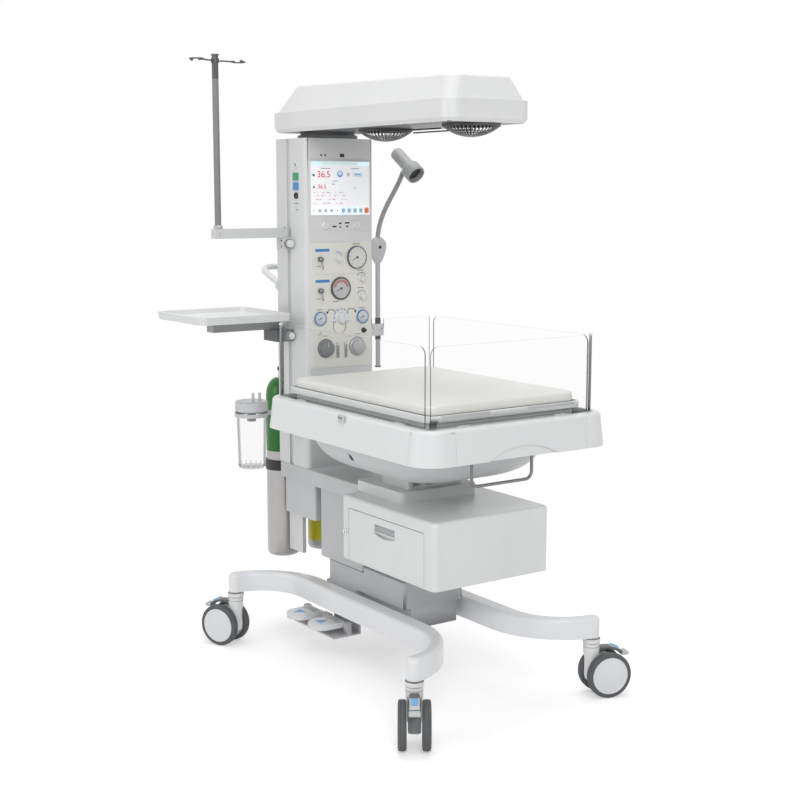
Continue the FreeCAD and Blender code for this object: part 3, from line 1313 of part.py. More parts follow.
def jar_lid():
    """Jar lid with two hose nozzles and the float cage inside."""
    base = Vector(JAR_X, RAIL_Y, JAR_BOTTOM_Z + JAR_HEIGHT + SEAT_GAP)
    radius = JAR_LID_DIA / 2
    profile = [(0, 0), (radius - 2, 0), (radius, 2), (radius, JAR_LID_HEIGHT - 3),
               (radius - 3, JAR_LID_HEIGHT), (0, JAR_LID_HEIGHT)]
    lid = turned(profile, base, ALONG_Z)
    cage = rod(JAR_CAGE_DIA, JAR_CAGE_HEIGHT, base - Vector(0, 0, JAR_CAGE_HEIGHT))
    nozzles = [rod(JAR_NOZZLE_DIA, JAR_NOZZLE_HEIGHT,
                   base + Vector(step * JAR_DIA / 4, -JAR_DIA / 8, JAR_LID_HEIGHT))
               for step in (0, 1)]
    return join(lid, cage, *nozzles)


def make_carriage():
    """Write the pieces that rise with the lift."""
    write("lift_cover", lift_cover(), lower_cover())
    write("lift_arm", join(lift_arm(), plinth()))
    write("tilt_head", tilt_head())
    write("drawer_box", drawer_box(), drawer_lock())
    write("drawer", drawer())
    write("mast_front", mast_front())
    write("mast_extrusion", mast_extrusion())
    write("display", display())
    write("gas_panel", gas_panel())
    write("panel_instruments", *panel_instruments(), *sockets())
    write("mixer_knob", knob(MIXER_KNOB_DIA, 0.0, SMALL_GAUGE_Z))
    write("pressure_knob", knob(PRESSURE_KNOB_DIA, *PRESSURE_KNOB_AT))
    write("regulator_knob_upper", knob(REGULATOR_KNOB_DIA, REGULATOR_X, REGULATOR_UPPER_Z))
    write("regulator_knob_lower", knob(REGULATOR_KNOB_DIA, REGULATOR_X, REGULATOR_LOWER_Z))
    write("flow_knob_left", knob(FLOW_KNOB_DIA, -FLOW_KNOB_X, FLOW_KNOB_Z))
    write("flow_knob_right", knob(FLOW_KNOB_DIA, FLOW_KNOB_X, FLOW_KNOB_Z))
    write("toggle_lever_upper", toggle(TOGGLE_UPPER_Z))
    write("toggle_lever_lower", toggle(TOGGLE_LOWER_Z))
    write("push_handle", push_handle())
    write("rail_clamps", *rail_clamps(), lamp_clamp())
    write("pole_arm", pole_arm())
    write("drip_pole", drip_pole())
    write("tray_arm", tray_arm())
    write("side_tray", side_tray())
    write("lamp_stem", lamp_base())
    write("lamp_head", lamp_head())
    write("left_cylinder", cylinder(-1))
    write("right_cylinder", cylinder(1))
    write("cylinder_strap", cylinder_strap())
    write("suction_jar", suction_jar())
    write("jar_lid", jar_lid())


# Bed

def deck():
    """Bed deck: a moulded ring of soft corners with a channel round its top."""
    half = DECK_WIDTH / 2
    inset = DECK_INSET
    body = tapered([(-half, half, DECK_FRONT_Y, DECK_REAR_Y, DECK_BOTTOM_Z, DECK_CORNER),
                    (-half + inset, half - inset, DECK_FRONT_Y + inset, DECK_REAR_Y - inset,
                     DECK_TOP_Z, DECK_CORNER - inset)])
    body = body.makeFillet(DECK_TOP_ROUND, level_edges(body, DECK_TOP_Z))
    rim = RIM_WIDTH + inset
    well = soft_box(-half + rim, half - rim, DECK_FRONT_Y + rim, DECK_REAR_Y - rim, CHANNEL_Z,
                    DECK_TOP_Z, WELL_CORNER)
    body = body.cut(well)
    for side in (-1, 1):
        body = body.cut(seam_side(side)).cut(seam_front(side))
    reach = (SCALLOP_WIDTH / 2) ** 2 / (2 * SCALLOP_HEIGHT) + SCALLOP_HEIGHT / 2
    scallop = rod(2 * reach, SCALLOP_DEPTH + inset,
                  Vector(0, DECK_FRONT_Y, DECK_BOTTOM_Z + SCALLOP_HEIGHT - reach), ALONG_Y)
    edge = box(-half, half, DECK_FRONT_Y, DECK_FRONT_Y + SCALLOP_DEPTH, DECK_BOTTOM_Z,
               DECK_TOP_Z)
    return body.cut(scallop.common(edge))


def seam_side(side):
    """Upright seam in a side wall, behind the front corner."""
    half = DECK_WIDTH / 2
    slope = DECK_INSET / DECK_HEIGHT
    depth = SEAM_DEPTH
    points = [Vector(side * (half + 1), SEAM_SIDE_Y, DECK_BOTTOM_Z),
              Vector(side * (half - depth), SEAM_SIDE_Y, DECK_BOTTOM_Z),
              Vector(side * (half - depth - slope * DECK_HEIGHT), SEAM_SIDE_Y, DECK_TOP_Z),
              Vector(side * (half + 1), SEAM_SIDE_Y, DECK_TOP_Z)]
    return plate(points, ALONG_Y, SEAM_WIDTH)


def seam_front(side):
    """Upright seam in the front wall, beside the front corner."""
    slope = DECK_INSET / DECK_HEIGHT
    depth = SEAM_DEPTH
    x = side * SEAM_FRONT_X - SEAM_WIDTH / 2
    points = [Vector(x, DECK_FRONT_Y - 1, DECK_BOTTOM_Z),
              Vector(x, DECK_FRONT_Y + depth, DECK_BOTTOM_Z),
              Vector(x, DECK_FRONT_Y + depth + slope * DECK_HEIGHT, DECK_TOP_Z),
              Vector(x, DECK_FRONT_Y - 1, DECK_TOP_Z)]
    return plate(points, ALONG_X, SEAM_WIDTH)


def cradle_sections(shrink):
    """Rounded outlines of the cradle from the deck down, drawn in by a wall."""
    half = CRADLE_HALF_WIDTH
    front = CRADLE_FRONT_Y
    rear = CRADLE_REAR_Y
    top = DECK_BOTTOM_Z
    depth = CRADLE_DEPTH - shrink
    steps = ((0.0, 0.0, 0.0), (0.3, 0.02, 0.035), (0.6, 0.09, 0.1), (0.85, 0.21, 0.21),
             (1.0, 0.36, 0.34))
    sections = []
    for drop, side, end in steps:
        dx = side * half + shrink
        dy = end * (rear - front) / 2 + shrink
        sections.append((-half + dx, half - dx, front + dy, rear - dy, top - drop * depth,
                         (half - dx) * 0.55))
    return sections


def cradle():
    """Hollow dish under the deck with the two lugs that hang on the tilt pin."""
    outer = tapered(cradle_sections(0.0), ruled=False)
    inner = tapered(cradle_sections(CRADLE_WALL), ruled=False)
    slot_w = CRADLE_SLOT_WIDTH / 2
    slot_d = CRADLE_SLOT_DEPTH / 2
    mouth = box(-slot_w, slot_w, TILT_AXIS_Y - slot_d, TILT_AXIS_Y + slot_d,
                DECK_BOTTOM_Z - CRADLE_DEPTH - 1, DECK_BOTTOM_Z - CRADLE_DEPTH / 2)
    dish = outer.cut(inner).cut(mouth)
    lid = outer.common(box(-CRADLE_HALF_WIDTH, CRADLE_HALF_WIDTH, CRADLE_FRONT_Y, CRADLE_REAR_Y,
                           DECK_BOTTOM_Z - CRADLE_WALL, DECK_BOTTOM_Z))
    pieces = [lid]
    bore_length = 2 * CRADLE_HALF_WIDTH
    bore = rod(TILT_PIN_DIA + 2 * PIN_GAP, bore_length,
               Vector(-bore_length / 2, TILT_AXIS_Y, TILT_AXIS_Z), ALONG_X)
    reach = (TILT_EAR_SPAN - TILT_EAR_THICK) / 2 - SLIDE_GAP - LUG_THICK / 2
    for side in (-1, 1):
        middle = side * reach
        hanger = box(middle - LUG_THICK / 2, middle + LUG_THICK / 2,
                     TILT_AXIS_Y - TILT_EAR_WIDTH / 2, TILT_AXIS_Y + TILT_EAR_WIDTH / 2,
                     TILT_AXIS_Z, DECK_BOTTOM_Z - CRADLE_WALL)
        eye = rod(TILT_PIN_DIA + 2 * LUG_EYE_WALL, LUG_THICK,
                  Vector(middle - LUG_THICK / 2, TILT_AXIS_Y, TILT_AXIS_Z), ALONG_X)
        pieces += [hanger, eye]
    return join(dish, *pieces).cut(bore)


def grab_bar():
    """U bar under the front of the deck, on two small feet."""
    half = GRAB_HALF_WIDTH
    top = DECK_BOTTOM_Z
    low = top - GRAB_DROP
    points = [Vector(-half, GRAB_Y, top), Vector(-half, GRAB_Y, low), Vector(half, GRAB_Y, low),
              Vector(half, GRAB_Y, top)]
    bar = bent_bar(points, GRAB_BEND, GRAB_DIA)
    foot = GRAB_FOOT_WIDTH / 2
    feet = [box(side * half - foot, side * half + foot, GRAB_Y - foot * 0.7, GRAB_Y + foot * 0.7,
                top - GRAB_FOOT_HEIGHT, top) for side in (-1, 1)]
    return join(bar, *feet)


def bed_tray_sides():
    """Half width, front and rear of the mattress tray's rim, inside the panels."""
    gap = BED_TRAY_GAP + PANEL_THICK / 2
    return (PANEL_HALF_SPAN - gap, PANEL_FRONT_PLANE_Y + gap, PANEL_REAR_PLANE_Y - gap)


def mattress_tray():
    """Tray that lies in the deck and holds the mattress."""
    half, front, rear = bed_tray_sides()
    inset = BED_TRAY_SKIRT_INSET
    rim_z = TRAY_TOP_Z - BED_TRAY_RIM_HEIGHT
    corner = BED_TRAY_CORNER
    skirt = soft_box(-half + inset, half - inset, front + inset, rear - inset, CHANNEL_Z, rim_z,
                     corner - inset / 2)
    rim = soft_box(-half, half, front, rear, rim_z, TRAY_TOP_Z, corner, top=3.0)
    lip = BED_TRAY_LIP
    well = soft_box(-half + lip, half - lip, front + lip, rear - lip,
                    TRAY_TOP_Z - BED_TRAY_RECESS, TRAY_TOP_Z, corner - lip)
    return join(skirt, rim).cut(well)


def mattress():
    """Foam mattress in the tray."""
    half, front, rear = bed_tray_sides()
    edge = BED_TRAY_LIP + MATTRESS_MARGIN
    low = TRAY_TOP_Z - BED_TRAY_RECESS + SEAT_GAP
    return soft_box(-half + edge, half - edge, front + edge, rear - edge, low,
                    low + MATTRESS_THICK, BED_TRAY_CORNER - edge, top=MATTRESS_ROUND)


def upright_panel(start, end, corner=PANEL_CORNER):
    """Clear panel along local x, hinge line on the axis, top corners rounded."""
    height = PANEL_TOP_Z - PANEL_HINGE_Z
    half = PANEL_THICK / 2
    sheet = box(start, end, -half, half, 0, height)
    top = [e for e in sheet.Edges if abs(e.tangentAt(e.FirstParameter).y) > 0.99
           and e.BoundBox.ZMin > height - 1]
    sheet = sheet.makeFillet(corner, top)
    bead = rod(PANEL_THICK, end - start, Vector(start, 0, 0), ALONG_X)
    return join(sheet, bead)


def placed_panel(shape, turn, x, y):
    """Stand a panel on its hinge line."""
    placed = shape.copy()
    placed.rotate(Vector(0, 0, 0), ALONG_Z, turn)
    placed.translate(Vector(x, y, PANEL_HINGE_Z))
    return placed


def rear_panel():
    """Head panel with two U notches for tubes."""
    half = PANEL_HALF_SPAN - PANEL_END_GAP
    shape = upright_panel(-half, half, PANEL_CORNER / 3)
    height = PANEL_TOP_Z - PANEL_HINGE_Z
    for side in (-1, 1):
        x = side * NOTCH_X
        floor_z = height - NOTCH_DEPTH + NOTCH_RADIUS
        notch = join(rod(2 * NOTCH_RADIUS, PANEL_THICK, Vector(x, -PANEL_THICK / 2, floor_z),
                         ALONG_Y),
                     box(x - NOTCH_RADIUS, x + NOTCH_RADIUS, -PANEL_THICK / 2, PANEL_THICK / 2,
                         floor_z, height))
        shape = shape.cut(notch)
    return placed_panel(shape, 0.0, 0.0, PANEL_REAR_PLANE_Y)


def side_panel(side):
    """Side panel that folds outwards on its lower edge."""
    gap = PANEL_END_GAP + PANEL_THICK / 2
    front = PANEL_FRONT_PLANE_Y + gap
    rear = PANEL_REAR_PLANE_Y - gap
    shape = upright_panel(front, rear)
    return placed_panel(shape, 90.0, side * PANEL_HALF_SPAN, 0.0)


def front_panel():
    """Foot panel that folds outwards on its lower edge."""
    half = PANEL_HALF_SPAN - PANEL_END_GAP
    return placed_panel(upright_panel(-half, half), 0.0, 0.0, PANEL_FRONT_PLANE_Y)


def hinge_blocks():
    """Blocks in the channel that the four panels stand and fold on, as one strip each."""
    top = PANEL_HINGE_Z - PANEL_THICK / 2 - SEAT_GAP
    half_w = HINGE_BLOCK_WIDTH / 2
    length = HINGE_BLOCK_LENGTH
    mid_y = (PANEL_FRONT_PLANE_Y + PANEL_REAR_PLANE_Y) / 2
    reach_y = (PANEL_REAR_PLANE_Y - PANEL_FRONT_PLANE_Y) / 3
    reach_x = PANEL_HALF_SPAN * 0.6
    blocks = []
    for side in (-1, 1):
        for end in (-1, 1):
            x = side * PANEL_HALF_SPAN
            y = mid_y + end * reach_y
            blocks.append(box(x - half_w, x + half_w, y - length / 2, y + length / 2, CHANNEL_Z,
                              top))
        for y in (PANEL_FRONT_PLANE_Y, PANEL_REAR_PLANE_Y):
            x = side * reach_x
            blocks.append(box(x - length / 2, x + length / 2, y - half_w, y + half_w, CHANNEL_Z,
                              top))
    return blocks


def corner_rods():
    """Dark rods at the rear left and front right corners of the panels."""
    rods = []
    for x, y in ((-PANEL_HALF_SPAN, PANEL_REAR_PLANE_Y), (PANEL_HALF_SPAN, PANEL_FRONT_PLANE_Y)):
        stem = rod(ROD_DIA, PANEL_TOP_Z - CHANNEL_Z, Vector(x, y, CHANNEL_Z))
        cap = rod(ROD_CAP_DIA, ROD_CAP_HEIGHT, Vector(x, y, PANEL_TOP_Z))
        rods.append(join(stem, cap))
    return rods


def make_bed():
    """Write the pieces that tilt with the bed."""
    write("deck", deck(), *hinge_blocks(), *corner_rods())
    write("cradle", cradle())
    write("grab_bar", grab_bar())
    write("mattress_tray", mattress_tray())
    write("mattress", mattress())
    write("rear_panel", rear_panel())
    write("left_panel", side_panel(-1))
    write("right_panel", side_panel(1))
    write("front_panel", front_panel())


# Hood

def hood_boss():
    """Swivel boss that turns on the mast top and carries the hood."""
    base = Vector(0, BOSS_Y, MAST_TOP_Z + SEAT_GAP)
    radius = BOSS_DIA / 2
    spigot = BOSS_SPIGOT_DIA / 2
    profile = [(0, 0), (radius, 0), (radius, BOSS_HEIGHT * 0.55),
               (radius - BOSS_STEP, BOSS_HEIGHT * 0.55), (radius - BOSS_STEP, BOSS_HEIGHT),
               (spigot, BOSS_HEIGHT),
               (spigot, BOSS_HEIGHT + BOSS_SPIGOT_HEIGHT), (0, BOSS_HEIGHT + BOSS_SPIGOT_HEIGHT)]
    return turned(profile, base, ALONG_Z)


def dome_section(height, inset):
    """Rounded outline of the dome at a height over the ledge, drawn in by an inset."""
    half = HOOD_WIDTH / 2
    share = height / max(HOOD_DOME_FRONT_HEIGHT, HOOD_DOME_REAR_HEIGHT)
    side = HOOD_LEDGE + share * (HOOD_DOME_SIDE_INSET - HOOD_LEDGE) + inset
    front = HOOD_LEDGE + share * (HOOD_DOME_FRONT_INSET - HOOD_LEDGE) + inset
    rear = HOOD_LEDGE + share * (HOOD_DOME_REAR_INSET - HOOD_LEDGE) + inset
    corner = HOOD_CORNER - (1 - share) * HOOD_LEDGE - inset
    return (-half + side, half - side, HOOD_FRONT_Y + front, HOOD_REAR_Y - rear,
            HOOD_LEDGE_Z + height, corner)


def hood_dome():
    """Dome that tapers in from the ledge, under a crown that rises to the rear."""
    half = HOOD_WIDTH / 2
    front_y = HOOD_FRONT_Y + HOOD_DOME_FRONT_INSET
    rear_y = HOOD_REAR_Y - HOOD_DOME_REAR_INSET
    high = max(HOOD_DOME_FRONT_HEIGHT, HOOD_DOME_REAR_HEIGHT)
    low = min(HOOD_DOME_FRONT_HEIGHT, HOOD_DOME_REAR_HEIGHT)
    dome = tapered([dome_section(0.0, 0.0), dome_section(high, 0.0)])
    slope = (HOOD_DOME_REAR_HEIGHT - HOOD_DOME_FRONT_HEIGHT) / (rear_y - front_y)

    def crown(y):
        """Height of the crown above a point along the hood."""
        return HOOD_LEDGE_Z + HOOD_DOME_FRONT_HEIGHT + slope * (y - front_y)

    above = HOOD_LEDGE_Z + 2 * high
    wedge = plate([Vector(-half, HOOD_FRONT_Y, crown(HOOD_FRONT_Y)),
                   Vector(-half, HOOD_REAR_Y, crown(HOOD_REAR_Y)),
                   Vector(-half, HOOD_REAR_Y, above), Vector(-half, HOOD_FRONT_Y, above)],
                  ALONG_X, HOOD_WIDTH)
    dome = dome.cut(wedge)
    rim = [e for e in dome.Edges
           if all(abs(v.Z - crown(v.Y)) < 0.05 for v in e.Vertexes) and e.BoundBox.ZMin
           > HOOD_LEDGE_Z + low / 2]
    return dome.makeFillet(HOOD_DOME_ROUND, rim)


def hood():
    """Canopy: a lip, a ledge and a dome over a base plate with openings for the heaters."""
    half = HOOD_WIDTH / 2
    wall = HOOD_WALL
    lip = soft_box(-half, half, HOOD_FRONT_Y, HOOD_REAR_Y, HOOD_BOTTOM_Z, HOOD_LEDGE_Z,
                   HOOD_CORNER)
    lip = lip.makeChamfer(HOOD_UNDER_CHAMFER, level_edges(lip, HOOD_BOTTOM_Z))
    floor_z = HOOD_BOTTOM_Z + HOOD_PLATE_THICK
    seam_z = HOOD_BOTTOM_Z + HOOD_UNDER_CHAMFER
    lip_space = soft_box(-half + wall, half - wall, HOOD_FRONT_Y + wall, HOOD_REAR_Y - wall,
                         seam_z, HOOD_LEDGE_Z - wall, HOOD_CORNER - wall)
    inset = wall + HOOD_UNDER_CHAMFER
    floor_space = soft_box(-half + inset, half - inset, HOOD_FRONT_Y + inset,
                           HOOD_REAR_Y - inset, floor_z, seam_z, HOOD_CORNER - inset)
    dome_space = tapered([dome_section(-wall, wall),
                          dome_section(HOOD_DOME_FRONT_HEIGHT - 2 * wall, wall)])
    shape = join(lip, hood_dome()).cut(lip_space).cut(floor_space).cut(dome_space)
    for y in (HEATER_FRONT_Y, HEATER_REAR_Y):
        shape = shape.cut(rod(HEATER_DIA, HOOD_PLATE_THICK, Vector(0, y, HOOD_BOTTOM_Z)))
    socket = rod(BOSS_SPIGOT_DIA, HOOD_PLATE_THICK, Vector(0, BOSS_Y, HOOD_BOTTOM_Z))
    return shape.cut(socket)


def heater(y):
    """Heater unit on the base plate: a dished reflector with its element and a flange."""
    radius = HEATER_DIA / 2
    flange = radius + HEATER_FLANGE
    wall = HEATER_WALL
    rise = HEATER_RISE
    seat = HOOD_PLATE_THICK
    profile = [(radius - wall, seat), (flange, seat), (flange, seat + wall),
               (radius, seat + wall), (radius * 0.8, rise * 0.7), (radius * 0.4, rise), (0, rise),
               (0, rise - wall - ELEMENT_LENGTH), (radius * 0.25, rise - wall - ELEMENT_LENGTH),
               (radius * 0.25, rise - wall), (radius * 0.4 - wall, rise - wall),
               (radius * 0.8 - wall, rise * 0.7 - wall)]
    return turned(profile, Vector(0, y, HOOD_BOTTOM_Z), ALONG_Z)


def guard(y):
    """Domed wire guard: a band on the base plate, bowed spokes, hoops and a hub."""
    wire = GUARD_WIRE
    radius = GUARD_DIA / 2
    z0 = HOOD_BOTTOM_Z - GUARD_BAND + wire
    bow = (radius ** 2 + GUARD_BULGE ** 2) / (2 * GUARD_BULGE)

    def depth(r):
        """Depth of the dome below the base plate at a radius."""
        return GUARD_BULGE - bow + math.sqrt(bow ** 2 - r ** 2)

    def point(r, lift):
        """Point of a spoke at a radius, lifted by part of its thickness."""
        return Vector(r, -wire / 2, z0 - depth(r) + lift)

    start = GUARD_HUB_DIA / 3
    end = radius - wire / 2
    middle = (start + end) / 2
    band = Part.Wire([Part.Arc(point(start, 0), point(middle, 0), point(end, 0)).toShape(),
                      Part.LineSegment(point(end, 0), point(end, wire)).toShape(),
                      Part.Arc(point(end, wire), point(middle, wire),
                               point(start, wire)).toShape(),
                      Part.LineSegment(point(start, wire), point(start, 0)).toShape()])
    spoke = Part.Face(band).extrude(ALONG_Y * wire)
    pieces = [rod(GUARD_HUB_DIA, wire, Vector(0, 0, z0 - GUARD_BULGE))]
    for index in range(GUARD_SPOKES):
        placed = spoke.copy()
        placed.rotate(Vector(0, 0, 0), ALONG_Z, 360.0 * index / GUARD_SPOKES)
        pieces.append(placed)
    for index in range(1, GUARD_RINGS):
        r = radius * index / GUARD_RINGS
        hoop = [(r - wire / 2, 0), (r + wire / 2, 0), (r + wire / 2, wire), (r - wire / 2, wire)]
        pieces.append(turned(hoop, Vector(0, 0, z0 - depth(r)), ALONG_Z))
    band_z = HOOD_BOTTOM_Z - GUARD_BAND
    pieces.append(turned([(radius - wire, 0), (radius, 0), (radius, GUARD_BAND),
                          (radius - wire, GUARD_BAND)], Vector(0, 0, band_z), ALONG_Z))
    shape = join(*pieces)
    shape.translate(Vector(0, y, 0))
    return shape


def make_hood():
    """Write the pieces that swivel over the bed."""
    write("hood", hood(), hood_boss())
    write("heater_units", heater(HEATER_FRONT_Y), heater(HEATER_REAR_Y),
          guard(HEATER_FRONT_Y), guard(HEATER_REAR_Y))


os.makedirs("parts", exist_ok=True)
make_base()
make_carriage()
make_bed()
make_hood()
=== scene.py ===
"""Infant radiant warmer: dressed pieces, finishes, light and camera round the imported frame."""

import json
import logging
import math
from dataclasses import dataclass, field
from enum import Enum
from typing import Iterable, Sequence

import bpy
from mathutils import Matrix, Vector

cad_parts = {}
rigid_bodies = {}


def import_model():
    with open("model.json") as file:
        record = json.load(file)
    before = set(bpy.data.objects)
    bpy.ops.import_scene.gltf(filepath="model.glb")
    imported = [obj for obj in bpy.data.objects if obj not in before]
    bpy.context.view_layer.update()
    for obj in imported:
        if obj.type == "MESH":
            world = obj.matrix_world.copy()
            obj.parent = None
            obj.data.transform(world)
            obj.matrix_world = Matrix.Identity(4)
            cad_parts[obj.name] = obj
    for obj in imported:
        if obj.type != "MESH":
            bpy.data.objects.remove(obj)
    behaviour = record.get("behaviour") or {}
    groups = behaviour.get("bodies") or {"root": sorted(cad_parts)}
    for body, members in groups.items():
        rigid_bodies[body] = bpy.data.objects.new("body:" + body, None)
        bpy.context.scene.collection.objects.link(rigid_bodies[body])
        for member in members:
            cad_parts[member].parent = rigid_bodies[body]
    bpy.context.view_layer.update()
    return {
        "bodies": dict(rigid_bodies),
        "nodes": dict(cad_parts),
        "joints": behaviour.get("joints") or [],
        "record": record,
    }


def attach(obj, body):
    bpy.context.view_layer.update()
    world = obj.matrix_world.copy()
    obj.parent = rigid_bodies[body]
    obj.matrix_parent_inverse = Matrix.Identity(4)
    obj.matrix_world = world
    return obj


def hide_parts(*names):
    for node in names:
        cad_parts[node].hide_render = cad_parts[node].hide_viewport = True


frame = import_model()
LOG = logging.getLogger("warmer")

MM = 0.001
SHIFT = Vector((0.030, -0.007, 0.0))
Colour = tuple[float, float, float]


def at(x: float, y: float, z: float) -> Vector:
    """Point in metres from millimetres off the bed's middle plane.

    Args:
        x: to the right of the bed's middle plane.
        y: towards the mast.
        z: above the floor.

    Returns:
        The point in the row frame.
    """
    return Vector((x, y, z)) * MM + SHIFT


class Way(Enum):
    """Directions that fittings point in."""

    RIGHT = Vector((1, 0, 0))
    LEFT = Vector((-1, 0, 0))
    FRONT = Vector((0, -1, 0))
    REAR = Vector((0, 1, 0))
    UP = Vector((0, 0, 1))
    DOWN = Vector((0, 0, -1))


class Groups:
    """Shader node groups that several finishes share."""

    made: dict[str, bpy.types.NodeTree] = {}

    @classmethod
    def tree(cls, name: str, inputs: dict, outputs: dict) -> bpy.types.NodeTree:
        """New group tree with named sockets.

        Args:
            name: name of the group.
            inputs: socket name to (socket type, default value).
            outputs: socket name to socket type.

        Returns:
            The empty group with its interface.
        """
        tree = bpy.data.node_groups.new(name, "ShaderNodeTree")
        for label, (kind, value) in inputs.items():
            socket = tree.interface.new_socket(label, in_out="INPUT", socket_type=kind)
            socket.default_value = value
        for label, kind in outputs.items():
            tree.interface.new_socket(label, in_out="OUTPUT", socket_type=kind)
        cls.made[name] = tree
        return tree

    @classmethod
    def cloud(cls) -> bpy.types.NodeTree:
        """Soft patches of tone with fine speckle, for colour and roughness."""
        if "cloud" in cls.made:
            return cls.made["cloud"]
        tree = cls.tree("cloud", {
            "Light": ("NodeSocketColor", (1, 1, 1, 1)),
            "Dark": ("NodeSocketColor", (0.8, 0.8, 0.8, 1)),
            "Patch": ("NodeSocketFloat", 6.0),
            "Speckle": ("NodeSocketFloat", 400.0),
        }, {"Color": "NodeSocketColor", "Mask": "NodeSocketFloat"})
        node = Nodes(tree)
        given = node.add("NodeGroupInput")
        out = node.add("NodeGroupOutput")
        place = node.add("ShaderNodeTexCoord")
        patch = node.add("ShaderNodeTexNoise", Detail=4.0, Roughness=0.55)
        speckle = node.add("ShaderNodeTexNoise", Detail=2.0, Roughness=0.6)
        node.link(place.outputs["Object"], patch.inputs["Vector"])
        node.link(place.outputs["Object"], speckle.inputs["Vector"])
        node.link(given.outputs["Patch"], patch.inputs["Scale"])
        node.link(given.outputs["Speckle"], speckle.inputs["Scale"])
        spread = node.add("ShaderNodeMapRange", **{"From Min": 0.35, "From Max": 0.68})
        node.link(patch.outputs["Fac"], spread.inputs["Value"])
        both = node.math("MULTIPLY_ADD", speckle.outputs["Fac"], 0.25, spread.outputs["Result"])
        mask = node.math("MULTIPLY", both, 0.8)
        mix = node.mix_colour(mask, given.outputs["Light"], given.outputs["Dark"])
        node.link(mix, out.inputs["Color"])
        node.link(mask, out.inputs["Mask"])
        return tree

    @classmethod
    def grain(cls) -> bpy.types.NodeTree:
        """Height of a fine surface grain that can be drawn out along an axis."""
        if "grain" in cls.made:
            return cls.made["grain"]
        tree = cls.tree("grain", {
            "Scale": ("NodeSocketVector", (900.0, 900.0, 900.0)),
            "Wave": ("NodeSocketFloat", 0.35),
        }, {"Height": "NodeSocketFloat"})
        node = Nodes(tree)
        given = node.add("NodeGroupInput")
        out = node.add("NodeGroupOutput")
        place = node.add("ShaderNodeTexCoord")
        scaled = node.add("ShaderNodeVectorMath", operation="MULTIPLY")
        node.link(place.outputs["Object"], scaled.inputs[0])
        node.link(given.outputs["Scale"], scaled.inputs[1])
        fine = node.add("ShaderNodeTexNoise", Scale=1.0, Detail=3.0, Roughness=0.6)
        broad = node.add("ShaderNodeTexNoise", Scale=0.06, Detail=1.0)
        node.link(scaled.outputs["Vector"], fine.inputs["Vector"])
        node.link(scaled.outputs["Vector"], broad.inputs["Vector"])
        wave = node.math("MULTIPLY", broad.outputs["Fac"], given.outputs["Wave"])
        height = node.math("ADD", fine.outputs["Fac"], wave)
        node.link(height, out.inputs["Height"])
        return tree

    @classmethod
    def inside(cls) -> bpy.types.NodeTree:
        """Mask of the space between two corners, in object coordinates."""
        if "inside" in cls.made:
            return cls.made["inside"]
        tree = cls.tree("inside", {
            "Low": ("NodeSocketVector", (0, 0, 0)),
            "High": ("NodeSocketVector", (1, 1, 1)),
        }, {"Mask": "NodeSocketFloat"})
        node = Nodes(tree)
        given = node.add("NodeGroupInput")
        out = node.add("NodeGroupOutput")
        place = node.add("ShaderNodeTexCoord")
        point = node.add("ShaderNodeSeparateXYZ")
        low = node.add("ShaderNodeSeparateXYZ")
        high = node.add("ShaderNodeSeparateXYZ")
        node.link(place.outputs["Object"], point.inputs[0])
        node.link(given.outputs["Low"], low.inputs[0])
        node.link(given.outputs["High"], high.inputs[0])
        mask = None
        for axis in "XYZ":
            above = node.math("GREATER_THAN", point.outputs[axis], low.outputs[axis])
            below = node.math("LESS_THAN", point.outputs[axis], high.outputs[axis])
            here = node.math("MULTIPLY", above, below)
            mask = here if mask is None else node.math("MULTIPLY", mask, here)
        node.link(mask, out.inputs["Mask"])
        return tree


class Nodes:
    """Short ways to fill a node tree."""

    def __init__(self, tree: bpy.types.NodeTree) -> None:
        """Keep the tree that is filled."""
        self.tree = tree

    def add(self, kind: str, operation: str = "", **values) -> bpy.types.Node:
        """New node with input values by socket name.

        Args:
            kind: node type.
            operation: operation of a maths node, if it has one.
            **values: input socket name to value.

        Returns:
            The node.
        """
        made = self.tree.nodes.new(kind)
        if operation:
            made.operation = operation
        for label, value in values.items():
            made.inputs[label].default_value = value
        return made

    def link(self, start, end) -> None:
        """Join two sockets."""
        self.tree.links.new(start, end)

    def math(self, operation: str, *values):
        """Maths node of sockets and plain numbers; gives its output."""
        made = self.add("ShaderNodeMath", operation=operation)
        for slot, value in enumerate(values):
            if isinstance(value, (int, float)):
                made.inputs[slot].default_value = value
            else:
                self.link(value, made.inputs[slot])
        return made.outputs[0]

    def mix_colour(self, factor, first, second):
        """Colour mix of sockets or plain colours; gives its output."""
        made = self.tree.nodes.new("ShaderNodeMix")
        made.data_type = "RGBA"
        for slot, value in ((0, factor), (6, first), (7, second)):
            if isinstance(value, (tuple, float)):
                made.inputs[slot].default_value = value
            else:
                self.link(value, made.inputs[slot])
        return made.outputs[2]

    def group(self, tree: bpy.types.NodeTree, **values) -> bpy.types.Node:
        """Group node with its own values."""
        made = self.tree.nodes.new("ShaderNodeGroup")
        made.node_tree = tree
        for label, value in values.items():
            made.inputs[label].default_value = value
        return made


@dataclass(frozen=True)
class Zone:
    """Part of a piece with a finish of its own, between two corners in bed millimetres."""

    low: tuple[float, float, float]
    high: tuple[float, float, float]
    colour: Colour
    roughness: float = 0.4
    metallic: float = 0.0


